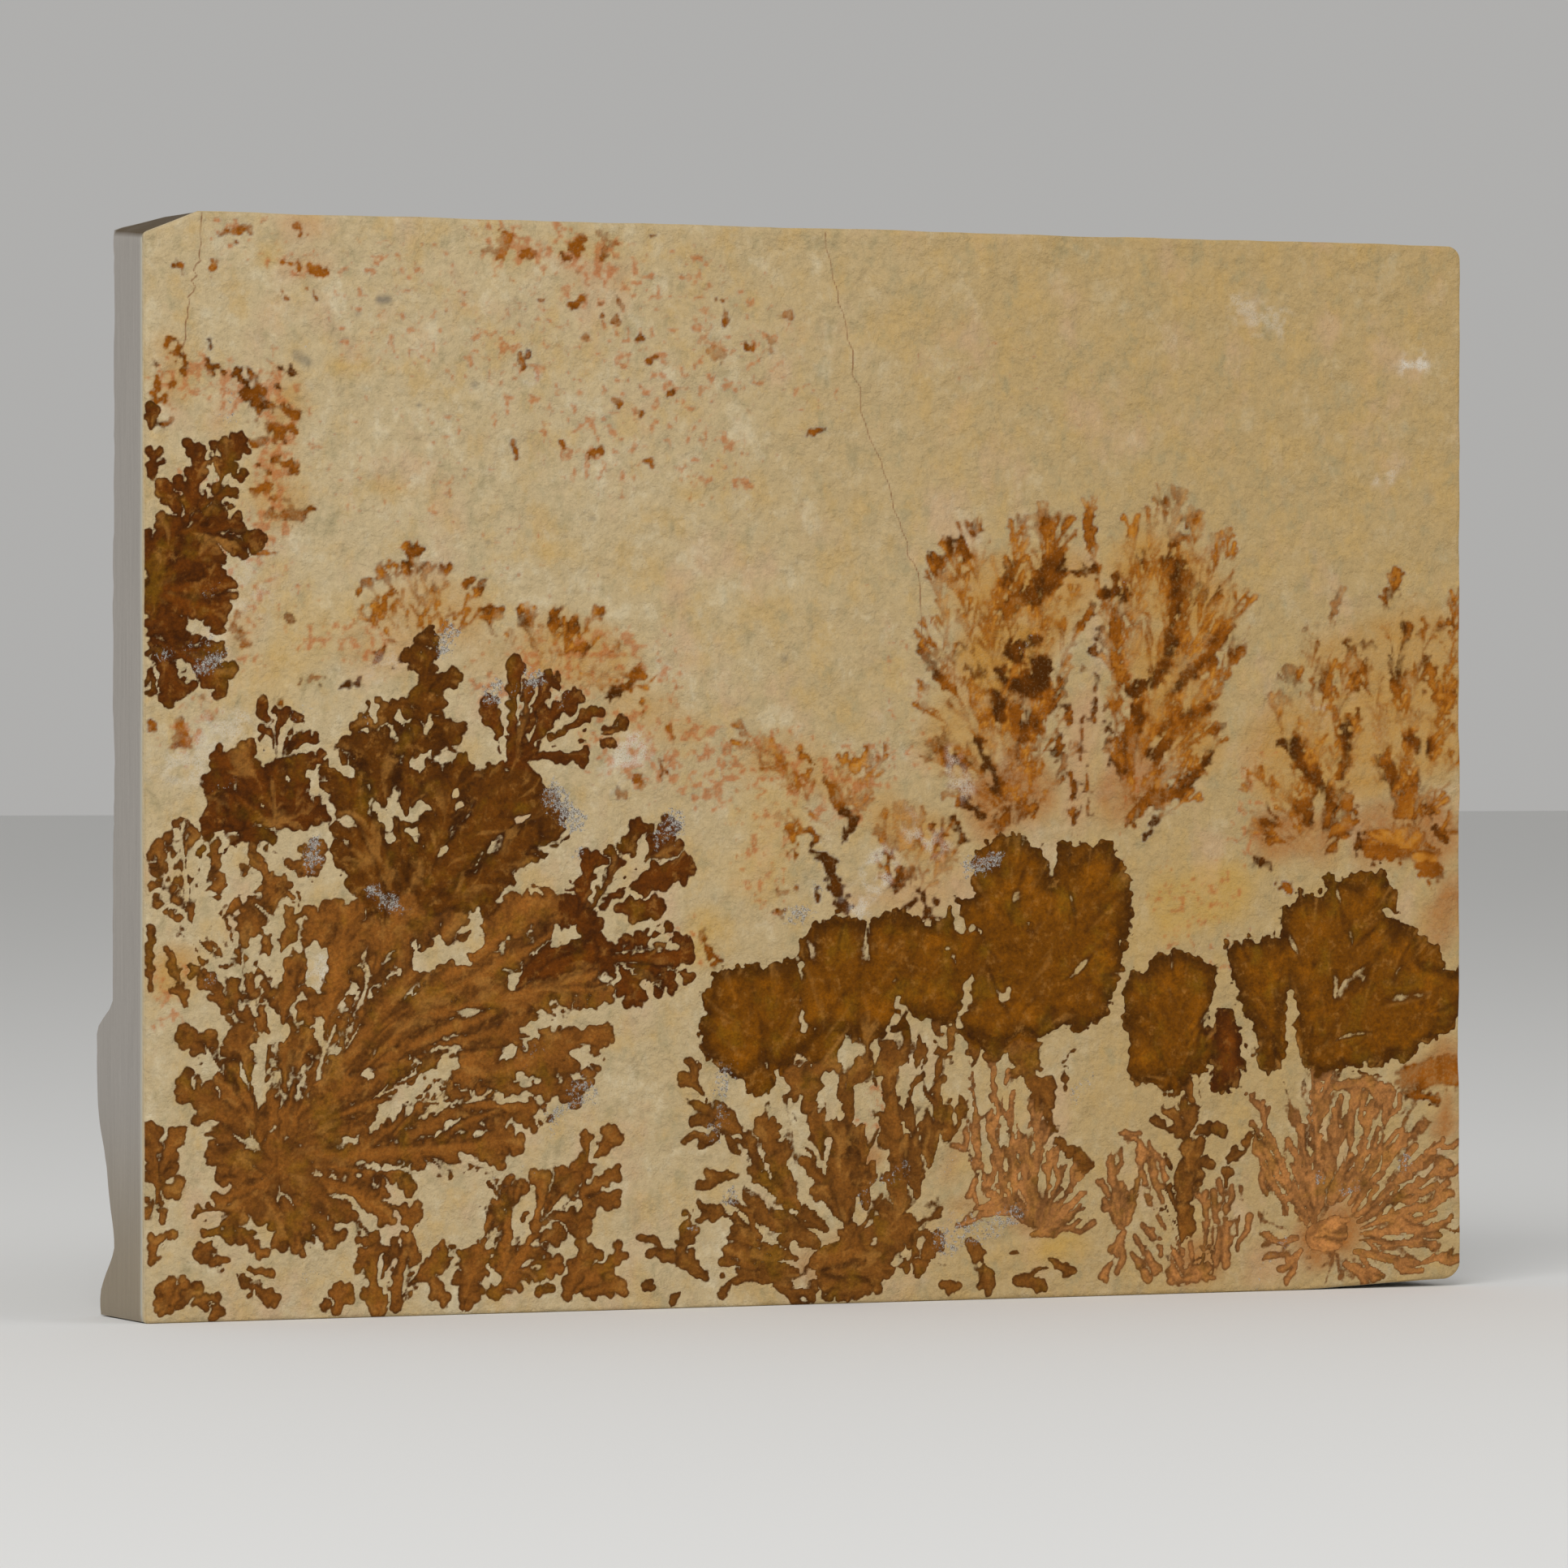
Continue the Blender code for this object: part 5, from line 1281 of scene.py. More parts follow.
class Frond:
    """Grows one frond: a bent stem with lobes on alternate sides, as a list of tapered rods."""

    ROOT = 0.62  # how broad a stem is at its root, as a share
    SHORTEST = 0.12  # lobes shorter than this are left out
    TURN = 8.0  # how far a lobe strays from its habit's sweep, in degrees
    NECK = 0.62  # how broad a lobe is where it starts, as a share of its end
    TWIG_NECK = 0.7  # the same for a branch and its twigs

    def __init__(self, row: Row, habit: Habit, rng: np.random.Generator) -> None:
        """Sets the frond out.

        Args:
            row: x and z of its root and tip, and half its breadth at each.
            habit: How its kind grows.
            rng: Where its chances come from.
        """
        self.root = np.array(row[:2])
        self.run = np.array(row[2:4]) - self.root
        self.length = max(0.3, float(np.hypot(*self.run)))
        self.half = (row[4] * habit.girth, row[5] * habit.girth)
        self.habit = habit
        self.rng = rng
        ahead = self.run / self.length
        self.aside = np.array((-ahead[1], ahead[0]))
        self.bow = rng.uniform(-habit.bow, habit.bow) * self.length
        self.rods: list[Row] = []

    def centre(self, share: float) -> np.ndarray:
        """The place on the stem at a share of its length."""
        return self.root + self.run * share + self.aside * self.bow * 4 * share * (1 - share)

    def breadth(self, share: float) -> float:
        """Half the frond's breadth there: narrow at the root, and drawn in at the tip."""
        half = self.half[0] + (self.half[1] - self.half[0]) * share
        return half * min(1.0, self.ROOT + share * 1.6)

    def grow(self) -> list[Row]:
        """Grows the stem, its lobes and its rounded tip.

        Returns:
            Rods as rows of two ends and the radius at each.
        """
        habit = self.habit
        if not habit.lobe:
            return [(*self.root, *(self.root + self.run), *self.half)]
        count = max(2, round(self.length / habit.pitch))
        tip_radius = min(self.half[1], habit.lobe * 1.25)
        end = max(0.3, 1.0 - tip_radius / self.length)
        places = np.linspace(0.0, end, count + 1)
        for first, last in zip(places, places[1:]):
            radii = (habit.body * self.breadth(first), habit.body * self.breadth(last))
            self.rods.append((*self.centre(first), *self.centre(last), *radii))
        tip = self.centre(end)
        self.rods.append((*tip, *tip, tip_radius, tip_radius))
        side = self.rng.choice((-1, 1))
        for step in range(1, count + 1):
            side = -side
            self.add_lobe(min(end, (step + self.rng.uniform(-0.3, 0.3)) / count * end), side)
        for step in range(int(self.length / habit.shoots) if habit.shoots else 0):
            side = -side
            self.add_shoot((step + self.rng.uniform(0.2, 0.8)) * habit.shoots / self.length, side)
        return self.rods

    def add_shoot(self, share: float, side: int) -> None:
        """Adds a side finger that soon runs along with the stem.

        Args:
            share: Where on the stem it starts.
            side: 1 for the left of the stem and -1 for its right.
        """
        rng, thin = self.rng, self.habit.lobe * 0.85
        start, ahead = self.centre(share), self.run / self.length
        knee = start + (ahead * 0.75 + self.aside * side * 0.66) * rng.uniform(1.3, 1.9)
        on = min(rng.uniform(0.8, 2.4), max(0.4, (1.0 - share) * self.length))
        end = knee + (ahead + self.aside * rng.uniform(-0.2, 0.2)) * on
        self.rods += [(*start, *knee, thin, thin), (*knee, *end, thin, thin * 1.15)]

    def add_lobe(self, share: float, side: int) -> None:
        """Adds one lobe, or a branch where the frond is broad.

        Args:
            share: Where on the stem it starts.
            side: 1 for the left of the stem and -1 for its right.
        """
        habit, rng = self.habit, self.rng
        half = self.breadth(share) * rng.uniform(1 - 1.1 * habit.ragged, 1 + 0.9 * habit.ragged)
        if rng.random() < habit.wild:
            half *= rng.uniform(1.25, 2.0)
        radius = habit.lobe * rng.uniform(0.75, 1.2)
        angle = math.radians(habit.sweep * (1 - 0.35 * share) + rng.uniform(-self.TURN, self.TURN))
        reach = (half - radius) / math.sin(angle)
        room = (1.03 - share) * self.length - radius
        reach = min(reach, max(0.0, room) / math.cos(angle) + 0.2)
        if reach < self.SHORTEST:
            return
        ahead = self.centre(min(1.0, share + 0.03)) - self.centre(max(0.0, share - 0.03))
        turn = math.atan2(ahead[1], ahead[0]) + side * angle
        start = self.centre(share)
        way = np.array((math.cos(turn), math.sin(turn)))
        if half < habit.branch_from:
            self.rods.append((*start, *(start + way * reach), radius * self.NECK, radius))
            return
        self.add_branch(start, way, reach, radius)

    def add_branch(self, start: np.ndarray, way: np.ndarray, reach: float, radius: float) -> None:
        """Adds a branch with small lobes of its own.

        Args:
            start: Its root on the stem.
            way: Its direction.
            reach: Its length.
            radius: The radius of its end.
        """
        habit, rng = self.habit, self.rng
        self.rods.append((*start, *(start + way * reach), radius * self.TWIG_NECK, radius))
        across = np.array((-way[1], way[0]))
        side = 1
        for share in np.arange(0.35, 1.0, habit.twig_pitch / max(reach, 0.6)):
            side = -side
            length = (0.45 + 0.35 * math.sin(math.pi * share)) * rng.uniform(0.7, 1.3) * radius * 1.9
            first = start + way * reach * share
            last = first + (way * 0.75 + across * side * 0.85) * length
            radii = (habit.twig_lobe * self.TWIG_NECK, habit.twig_lobe * rng.uniform(0.8, 1.15))
            self.rods.append((*first, *last, *radii))


class FrondLayer:
    """Fronds drawn over one another on a raster, each told apart from its neighbours.

    It keeps the distance outside the nearest frond and the next one, the way the film grew, and
    the colour, the fringe and the channels of the frond that holds the cell.
    """

    SPREAD = 0.12  # how far the film creeps past every frond
    STREAK = 2.2  # how far a streak runs, both ways
    MASS_FRAY = 1.4  # how far noise moves a mass's rim
    MASS_LOBES = 0.7  # how far round lobes move it
    TONE_FRAY = 2.2  # how far noise moves the rim of its tone
    MASS_RIM = 0.1  # how far outside its outline a mass still fills
    HALO = 1.2  # how far outside it still turns the feathering
    LOOSE = 0.6  # how far from every frond a place belongs to none

    LIGHT = 0.74  # of the film's tone at its darkest places
    MIDDLE = 0.24  # lighter along the middle of a frond
    MOTTLE = 0.34  # lighter in places
    SHOULDER = 0.5  # lighter on the shoulders of a mass
    SEAM = 0.44  # darker where two fronds meet
    RIM = 0.42  # darker along the rim of a mass

    def __init__(self, raster: Raster) -> None:
        """Starts with nothing drawn.

        Args:
            raster: The grid that the fronds are drawn on.
        """
        self.raster = raster
        self.filled = raster.full(FAR)
        self.solid = raster.full(FAR)
        self.near = raster.full(FAR)
        self.next = raster.full(FAR)
        self.gap = raster.full(0.0)
        self.comb = raster.full(0.0)
        self.merge = raster.full(1.0)
        self.fringe = raster.full(0.2)
        self.colour = raster.full(0.0, 3) + np.array(linear(Tone.LEAF.value), np.float32)
        self.flow = raster.full(0.0, 2)

    def add_colony(self, colony: Colony) -> None:
        """Draws a colony's fronds in turn, each with a shade of its own.

        Args:
            colony: The colony.
        """
        rng = np.random.default_rng(colony.seed)
        for row in colony.fronds:
            rods = Frond(row, colony.habit, rng).grow()
            self.add_frond(rods, colony, rng.uniform(0.86, 1.12))

    def add_frond(self, rods: list[Row], colony: Colony, shade: float) -> None:
        """Draws one frond.

        Args:
            rods: Its rods.
            colony: The colony it belongs to.
            shade: How much lighter or darker than its tone it is.
        """
        raster = self.raster
        ends = np.array([row[:4] for row in rods]).reshape(-1, 2)
        room = max(max(row[4:6]) for row in rods) + 2.2
        area = raster.window(ends.min(0) - room, ends.max(0) + room)
        shape = self.near[area].shape
        if 0 in shape:
            return
        near = np.full(shape, FAR, np.float32)
        flow = np.zeros((*shape, 2), np.float32)
        for row in rods:
            part = raster.around(row, 2.0)
            away, outward = raster.grown_rod(part, row, colony.habit.spread)
            if 0 in away.shape:
                continue
            top, left = part[0].start - area[0].start, part[1].start - area[1].start
            top, left = max(0, top), max(0, left)
            spot = (slice(top, top + away.shape[0]), slice(left, left + away.shape[1]))
            closer = away < near[spot]
            near[spot][closer] = away[closer]
            flow[spot][closer] = outward[closer]
        closer = near < self.near[area]
        self.next[area] = np.where(closer, self.near[area], np.minimum(self.next[area], near))
        self.near[area] = np.where(closer, near, self.near[area])
        self.flow[area][closer] = flow[closer]
        self.gap[area] = np.where(closer, self.opened(area, colony) * colony.habit.gap, self.gap[area])
        self.merge[area][closer] = colony.habit.merge
        self.fringe[area][closer] = colony.habit.fringe
        self.colour[area][closer] = np.array(linear(colony.habit.tone.value)) * shade

    def opened(self, area: Area, colony: Colony) -> np.ndarray:
        """How open a colony may be.

        Args:
            area: The rows and columns.
            colony: The colony, for its heart.

        Returns:
            A share for each cell, from 0 near the heart to 1.
        """
        x = self.raster.x[area[1]][None, :] - colony.heart[0]
        z = self.raster.z[area[0]][:, None] - colony.heart[1]
        return smooth_step(colony.solid_to, colony.parted_from, np.hypot(x, z))

    def fill(self, away: np.ndarray, mass: Mass) -> None:
        """Lets the fronds grow together inside a mass.

        Args:
            away: The distance outside the mass's outline.
            mass: The mass, for its tone, its root and its channels.
        """
        raster = self.raster
        away = away + self.MASS_FRAY * (raster.clouds(Cloud.MASS_RIM) - 0.5)
        away = away + self.MASS_LOBES * (raster.lobes(Lobes.MASS) - 0.5)
        within, beside = away < self.MASS_RIM, away < self.HALO
        self.filled = np.minimum(self.filled, away)
        self.gap[within] *= mass.channel
        self.comb[within if mass.tone else within & (self.near > 0.04)] = mass.comb
        loose = beside & (self.near > self.LOOSE)
        out = (raster.x[None, :] - mass.root[0], raster.z[:, None] - mass.root[1])
        away_from = np.maximum(0.5, np.hypot(*out))
        for band in (0, 1):
            self.flow[..., band] = np.where(loose, out[band] / away_from, self.flow[..., band])
        if mass.tone:
            self.solid = np.minimum(self.solid, away)
            frayed = away + self.TONE_FRAY * (raster.clouds(Cloud.MASS_TONE) - 0.5) < self.MASS_RIM
            self.colour[frayed | loose] = linear(mass.tone.value)
            self.fringe[beside] = mass.fringe

    def streaks(self) -> np.ndarray:
        """Drags three noises along the film's growth.

        Returns:
            Broad, narrow and fine streaks, each with a spread of one.
        """
        raster = self.raster
        flow = raster.soften(self.flow, 0.15, 1)
        flow /= np.maximum(0.3, np.hypot(flow[..., 0], flow[..., 1]))[..., None]
        kinds = (Cloud.BROAD_STREAK, Cloud.NARROW_STREAK, Cloud.FINE_STREAK)
        grains = np.stack([raster.clouds(kind) for kind in kinds], -1)
        return raster.combed(grains, flow, self.STREAK)

    def meeting(self) -> tuple[np.ndarray, np.ndarray]:
        """How far each cell is from the line between the two nearest fronds, and how far they overlap."""
        return (self.next - self.near) / 2, -(self.near + self.next) / 2

    def shaded(self) -> np.ndarray:
        """Shades the film: lighter along the middle of a frond, and dark where two of them meet.

        Returns:
            The film's colour.
        """
        between, overlap = self.meeting()
        solid, clouds = self.solid, self.raster.clouds
        seam = smooth_step(0.24, 0.0, between) * smooth_step(-0.1, 0.15, overlap)
        seam *= smooth_step(-5.0, 0.0, solid)
        light = self.LIGHT + self.MIDDLE * smooth_step(0.0, 0.7, -self.near) - self.SEAM * seam
        light += self.MOTTLE * clouds(Cloud.LIGHT)
        shoulder = smooth_step(-0.5, -1.5, solid) * smooth_step(-4.5, -2.0, solid)
        light += self.SHOULDER * shoulder * smooth_step(0.42, 0.66, clouds(Cloud.SHOULDER))
        light *= 1.0 - self.RIM * smooth_step(-1.8, -0.1, solid) * smooth_step(0.3, 0.0, solid)
        return self.colour * light[..., None]

    def parted(self, streaks: np.ndarray) -> np.ndarray:
        """The film's distance, with fringed rims and with channels where fronds meet.

        Args:
            streaks: What streaks gave.

        Returns:
            A layer of the raster.
        """
        broad, narrow = streaks[..., 0], streaks[..., 1]
        between, overlap = self.meeting()
        grown = np.minimum(self.near - self.SPREAD, self.filled)
        lobes = self.raster.lobes
        round_lobes = 0.5 * lobes(Lobes.LARGE) + 0.5 * lobes(Lobes.MIDDLE) + 0.3 * lobes(Lobes.SMALL) - 0.62
        spikes = np.minimum(self.fringe, 0.18) * (0.5 * broad + 0.35 * narrow)
        grown = grown + self.fringe * round_lobes * 2.2 - spikes
        channel = smooth_step(0.36, 0.0, between) * smooth_step(self.merge, self.merge * 0.45, overlap)
        opened = np.maximum(self.gap * channel, self.comb)
        cut = 3.2 * opened - 2.3 - (0.5 * broad + 0.8 * narrow)
        return np.maximum(grown, np.clip(cut * 0.2, -FAR, 0.5))


class Film:
    """The dendrites' film and the stains round it, drawn on a raster.

    Its layers are: edge, the distance outside the film's rim; streak, its feathering; colour, the
    film's tone; haze and haze_colour for the stains and the thin sprays; bloom, chalk and spots; and
    crack, the distance to a hairline crack.
    """

    SPRIG_GROWTH = 0.34  # how much broader a spray's sprigs are inside its dark dabs
    SPRIG_FRAY = 0.24  # how far noise moves their rims
    SPRIG_CUT = 0.18  # how wide the channels between them open
    RAMP = (0.0, 0.35, 0.7, 1.0)  # how dark each of the dabs' colours is
    THIN = 0.42  # how thickly the palest sprigs lie
    STAIN_FRAY = 3.2  # how far noise moves the rim of a stain
    STAIN_GRAIN = 1.2
    FRECKLE_TINT = 0.66  # how thickly the freckles lie
    CRACK_SEED = 121
    CRACK_STRAY = 0.16  # how far a crack strays from a straight run between two of its places

    def __init__(self, raster: Raster) -> None:
        """Starts with bare stone."""
        self.raster = raster
        self.leaves = FrondLayer(raster)

    def draw(self) -> dict[str, np.ndarray]:
        """Draws everything.

        Returns:
            The layers by name.
        """
        for colony in COLONIES:
            self.leaves.add_colony(colony)
        for mass in MASSES:
            self.leaves.fill(self.raster.polygon(mass.outline), mass)
        streaks = self.leaves.streaks()
        calmer = 1.0 - 0.4 * smooth_step(0.0, -0.6, self.leaves.solid)
        return {
            "edge": self.clear_bare(self.leaves.parted(streaks), streaks),
            "streak": (0.25 * streaks[..., 1] + 0.8 * streaks[..., 2]) * calmer,
            "colour": self.leaves.shaded(),
            **self.stains(),
        }

    def plumes(self) -> tuple[np.ndarray, np.ndarray]:
        """The sprays: thin orange sprigs, darker at their rims and in the dabs.

        Returns:
            Their colour, and how thickly they lie, from 0 to 1.
        """
        raster, sprays = self.raster, FrondLayer(self.raster)
        for colony in SPRAYS:
            sprays.add_colony(colony)
        dab, dark = self.dabbed()
        away = np.minimum(sprays.near - self.SPRIG_GROWTH * dark + 0.06, dab + 0.2)
        away += self.SPRIG_FRAY * (raster.clouds(Cloud.SPRIG_RIM) - 0.5)
        away = np.maximum(away, self.SPRIG_CUT * (sprays.streaks()[..., 1] - 0.6 - 1.4 * dark))
        strong = smooth_step(0.3, 0.62, raster.clouds(Cloud.SPRIG_THICKNESS))
        depth = dark * 0.95 + 0.5 * smooth_step(-0.3, -0.02, away)
        depth = depth + 0.5 * (raster.clouds(Cloud.SPRIG_DEPTH) - 0.5)
        tones = np.array([linear(dab.value) for dab in Dab])
        colour = np.stack([np.interp(depth, self.RAMP, band) for band in tones.T], -1)
        thick = np.clip(self.THIN + 0.55 * strong + 0.6 * dark, 0.0, 1.0)
        return colour, smooth_step(0.12, -0.12, away) * thick

    def dabbed(self) -> tuple[np.ndarray, np.ndarray]:
        """Draws the lobed dabs inside the sprays.

        Returns:
            The distance outside them, and how dark they make each cell.
        """
        raster = self.raster
        near, dark = raster.full(FAR), raster.full(0.0)
        uneven = 0.9 * (raster.lobes(Lobes.DAB) - 0.5) + 1.1 * (raster.clouds(Cloud.DAB_RIM) - 0.5)
        for row in DABS:
            area = raster.around(row, 1.6)
            away = raster.rod(area, row) + uneven[area]
            near[area] = np.minimum(near[area], away)
            dark[area] = np.maximum(dark[area], row[6] * smooth_step(0.5, -0.3, away))
        return near, dark

    def clear_bare(self, edge: np.ndarray, streaks: np.ndarray) -> np.ndarray:
        """Cuts the bare places out of the film and lobes its whole rim finely.

        Args:
            edge: The distance outside the film.
            streaks: The film's streaks.

        Returns:
            The new distance.
        """
        raster = self.raster
        bare = raster.rods(BARE) + 0.16 * streaks[..., 0] + 0.12 * streaks[..., 1]
        bare = bare + 0.9 * (raster.clouds(Cloud.BARE_RIM) - 0.5) - 0.8 * (raster.lobes(Lobes.BARE) - 0.45)
        return np.maximum(edge, -bare) + 0.08 * (raster.lobes(Lobes.RIM) * 2 - 1)

    def haze(self) -> tuple[np.ndarray, np.ndarray]:
        """Draws the soft stains.

        Returns:
            How strong they are, and their colour.
        """
        raster = self.raster
        haze, colour = raster.full(0.0), raster.full(0.3, 3)
        ragged, fine = raster.clouds(Cloud.STAIN_RIM), raster.clouds(Cloud.STAIN_GRAIN)
        for stain, rows in HAZE.items():
            tone = np.array(linear(stain.value), np.float32)
            for row in rows:
                area = raster.around(row, 3.5)
                away = raster.rod(area, row) + (ragged[area] - 0.5) * self.STAIN_FRAY
                away = away + (fine[area] - 0.5) * self.STAIN_GRAIN
                here = row[6] * smooth_step(1.2, -1.8, away)
                colour[area][here > haze[area]] = tone
                haze[area] = np.maximum(haze[area], here)
        haze *= 0.65 + 0.7 * (fine - 0.25)
        return haze, raster.soften(colour, 0.2)

    def freckles(self) -> np.ndarray:
        """Draws the freckles.

        Returns:
            How thickly they lie, from 0 to 1.
        """
        field = self.dabs(FRECKLES, Cloud.FRECKLED, 1.6, 1.6)
        freckles = smooth_step(0.61, 0.80, self.raster.clouds(Cloud.FRECKLES) + 0.34 * field - 0.16)
        return self.FRECKLE_TINT * (freckles * (field > 0.02))

    def stains(self) -> dict[str, np.ndarray]:
        """Draws all that isn't the dark film.

        Returns:
            The layers of the stains, the crust, the pale places, the spots and the cracks.
        """
        haze, colour = self.haze()
        tints = ((np.array(linear(Tone.RUST.value)), self.freckles()), self.plumes())
        for tint, thick in tints:
            total = thick + haze * (1.0 - thick)
            share = (thick / np.maximum(total, 1e-3))[..., None]
            colour, haze = colour + (tint - colour) * share, total
        grain = smooth_step(0.35, 0.62, self.raster.clouds(Cloud.CHALK_GRAIN))
        return {
            "haze": np.clip(haze, 0.0, 1.0),
            "haze_colour": colour,
            "bloom": self.dabs(BLOOM, Cloud.BLOOM, 1.3, 1.0),
            "chalk": self.dabs(CHALK, Cloud.CHALK, 1.6, 1.0) * grain,
            "spots": self.dabs(SPOTS, Cloud.SPOTS, 0.15, 0.35),
            "crack": self.cracks(),
        }

    def dabs(self, rows: Iterable[Row], cloud: Cloud, ragged: float, soft: float) -> np.ndarray:
        """Draws ragged dabs with soft edges.

        Args:
            rows: Two ends, the radius at each, and a strength of 0 to 1.
            cloud: The noise that frays them.
            ragged: How far it moves their rims.
            soft: Half the breadth of their soft edges.

        Returns:
            A layer of the raster, from 0 to 1.
        """
        layer = self.raster.full(0.0)
        uneven = (self.raster.clouds(cloud) - 0.5) * 2 * ragged
        for row in rows:
            area = self.raster.around(row, 2.5)
            away = self.raster.rod(area, row) + uneven[area]
            layer[area] = np.maximum(layer[area], row[6] * smooth_step(soft, -soft, away))
        return layer

    def cracks(self) -> np.ndarray:
        """Draws the hairline cracks, each a little off its line.

        Returns:
            The distance to the nearest one.
        """
        rng = np.random.default_rng(self.CRACK_SEED)
        rows = []
        for line in CRACKS:
            places = [np.array(line[0])]
            for first, last in zip(line, line[1:]):
                run = np.subtract(last, first)
                for share in np.arange(1, 5) / 4:
                    stray = rng.normal(0.0, self.CRACK_STRAY, 2) * (1, 0.3)
                    places.append(np.add(first, run * share) + stray)
            rows += [(*a, *b, 0.0, 0.0) for a, b in zip(places, places[1:])]
        return self.raster.rods(rows)


COLONIES = (
    LEFT_COLONY, LEFT_EDGE, BOTTOM_LEFT, LEFT_MASS, CLUMP, CROWN, DOMES, CROWN_FAN, MAPLE_FAN,
    CENTRE, FANS, TRUNKS, SIDE_MASS,
)


@dataclass(frozen=True)
class Rough:
    """A fractal noise in metres: how far it reaches, how wide its largest lumps are, and its seed."""

    reach: float
    size: float
    seed: float
    octaves: int = 3

    def at(self, x: np.ndarray, z: np.ndarray) -> np.ndarray:
        """Reads the noise.

        Args:
            x: Places along the slab.
            z: Their heights.

        Returns:
            Values from about -reach to reach.
        """
        places = zip((x / self.size).tolist(), (z / self.size).tolist())
        basis = "PERLIN_ORIGINAL"
        values = [
            noise.fractal(Vector((a, b, self.seed)), 1.0, 2.1, self.octaves, noise_basis=basis)
            for a, b in places
        ]
        return self.reach * np.array(values)


@dataclass(frozen=True)
class SlabShape:
    """The slab's form, in metres, as its CAD source has it: relief of the face, split back, edges."""

    width: float = 0.134
    height: float = 0.100
    thin: float = 0.0088
    left_corner: float = 0.0004
    top_right_corner: float = 0.0013
    base_right_corner: float = 0.0018
    edge_wander: float = 0.00012
    right_wander: float = 0.0002
    wander_depth: float = 0.004
    chip_start: float = 0.0052
    chip_drop_face: float = 0.0021
    chip_drop_back: float = 0.0013
    base_flat_to: float = 0.047
    base_rise: float = 0.0007
    arris: float = 0.00034
    swell: Rough = Rough(0.00022, 0.031, 3.7)
    dimples: Rough = Rough(0.00006, 0.007, 8.1)
    grain: Rough = Rough(0.00003, 0.0011, 77.0)  # fine relief of the face, which the CAD leaves out
    tongue_rim: Rough = Rough(0.0035, 0.016, 21.3)
    foot_rim: Rough = Rough(0.0022, 0.013, 5.5)
    scab_rim: Rough = Rough(0.006, 0.022, 12.9, 4)
    back: Rough = Rough(0.0004, 0.018, 15.2)
    right_edge: Rough = Rough(1.0, 0.009, 31.0)
    top_edge: Rough = Rough(1.0, 0.011, 44.0)
    wear: Rough = Rough(0.45, 0.0035, 71.0, 2)  # how unevenly the edges are worn, as a share

    def face_relief(self, x: np.ndarray, z: np.ndarray) -> np.ndarray:
        """How far the face stands behind its plane, as in the CAD."""
        return self.swell.at(x, z) + self.dimples.at(x, z)

    def tongue(self, x: np.ndarray, z: np.ndarray) -> np.ndarray:
        """The thick layer low on the back, from 0 to 1, at many places.

        Args:
            x: The places along the slab.
            z: Their heights.

        Returns:
            A value for each place.
        """
        along = x + self.width / 2
        ragged = self.tongue_rim.at(x, z)
        middle = 0.0205 + 0.13 * along + ragged
        wider = 1.0 + 0.9 * smooth_step(0.0, 0.035, along)
        above = (middle + 0.0088 * wider - z) / (0.0036 * wider)
        below = (z - middle + 0.0150 * wider) / (0.0125 * wider)
        end = smooth_step(0.088, 0.076, along + 2.0 * ragged)
        return smooth_step(0.0, 1.0, above) * smooth_step(0.0, 1.0, below) * end

    def foot(self, x: np.ndarray, z: np.ndarray) -> np.ndarray:
        """The layer left along the base, which ends raggedly above.

        Args:
            x: The places along the slab.
            z: Their heights.

        Returns:
            How much of it each place has, from 0 to 1.
        """
        ragged = self.foot_rim.at(x, np.zeros_like(x))
        height = 0.0062 + 0.06 * (x + self.width / 2) + ragged
        return smooth_step(0.0, 0.0052, height - z)

    def scab(self, x: np.ndarray, z: np.ndarray) -> np.ndarray:
        """The thin layer over the upper right of the back, from 0 to 1."""
        inside = x * 0.8 + (z - 0.062) + self.scab_rim.at(x, z)
        return smooth_step(-0.00125, 0.00125, inside)

    def thickness(self, x: np.ndarray, z: np.ndarray) -> np.ndarray:
        """From the plane of the face to the back, at many places.

        Args:
            x: The places along the slab.
            z: Their heights.

        Returns:
            A value for each place.
        """
        standing = np.maximum(0.0043 * self.tongue(x, z), 0.0037 * self.foot(x, z))
        standing = np.maximum(standing, 0.0011 * self.scab(x, z))
        return self.thin + standing + self.back.at(x, z)

    def face_plane(self) -> float:
        """Finds where the CAD has the plane of the face.

        Returns:
            Its y, from the vertices on the front.
        """
        mesh = frame["nodes"]["slab"].data
        places = np.array([vert.co for vert in mesh.vertices])
        inner = (np.abs(places[:, 0]) < 0.06) & (np.abs(places[:, 2] - 0.05) < 0.044)
        front = places[inner & (places[:, 1] < CAD_BOX[0].y + 0.0012)]
        return float(np.median(front[:, 1] - self.face_relief(front[:, 0], front[:, 2])))

    def inset(self, x: np.ndarray, z: np.ndarray) -> np.ndarray:
        """How far a place on the uncut block is from its nearest edge."""
        return np.minimum(self.width / 2 - np.abs(x), np.minimum(z, self.height - z))

    def arris_at(self, x: np.ndarray, z: np.ndarray) -> np.ndarray:
        """The radius of the worn edge, which varies along it."""
        return self.arris * (1.0 + self.wear.at(x, z))

    def turned_in(self, from_edge: np.ndarray, radius: np.ndarray) -> np.ndarray:
        """Where a place near an edge lies once the edge is rounded, as a distance from the edge."""
        turn = np.clip(1.0 - from_edge / radius, 0.0, 1.0) * math.pi / 2
        return np.where(from_edge < radius, radius * (1.0 - np.sin(turn)), from_edge)

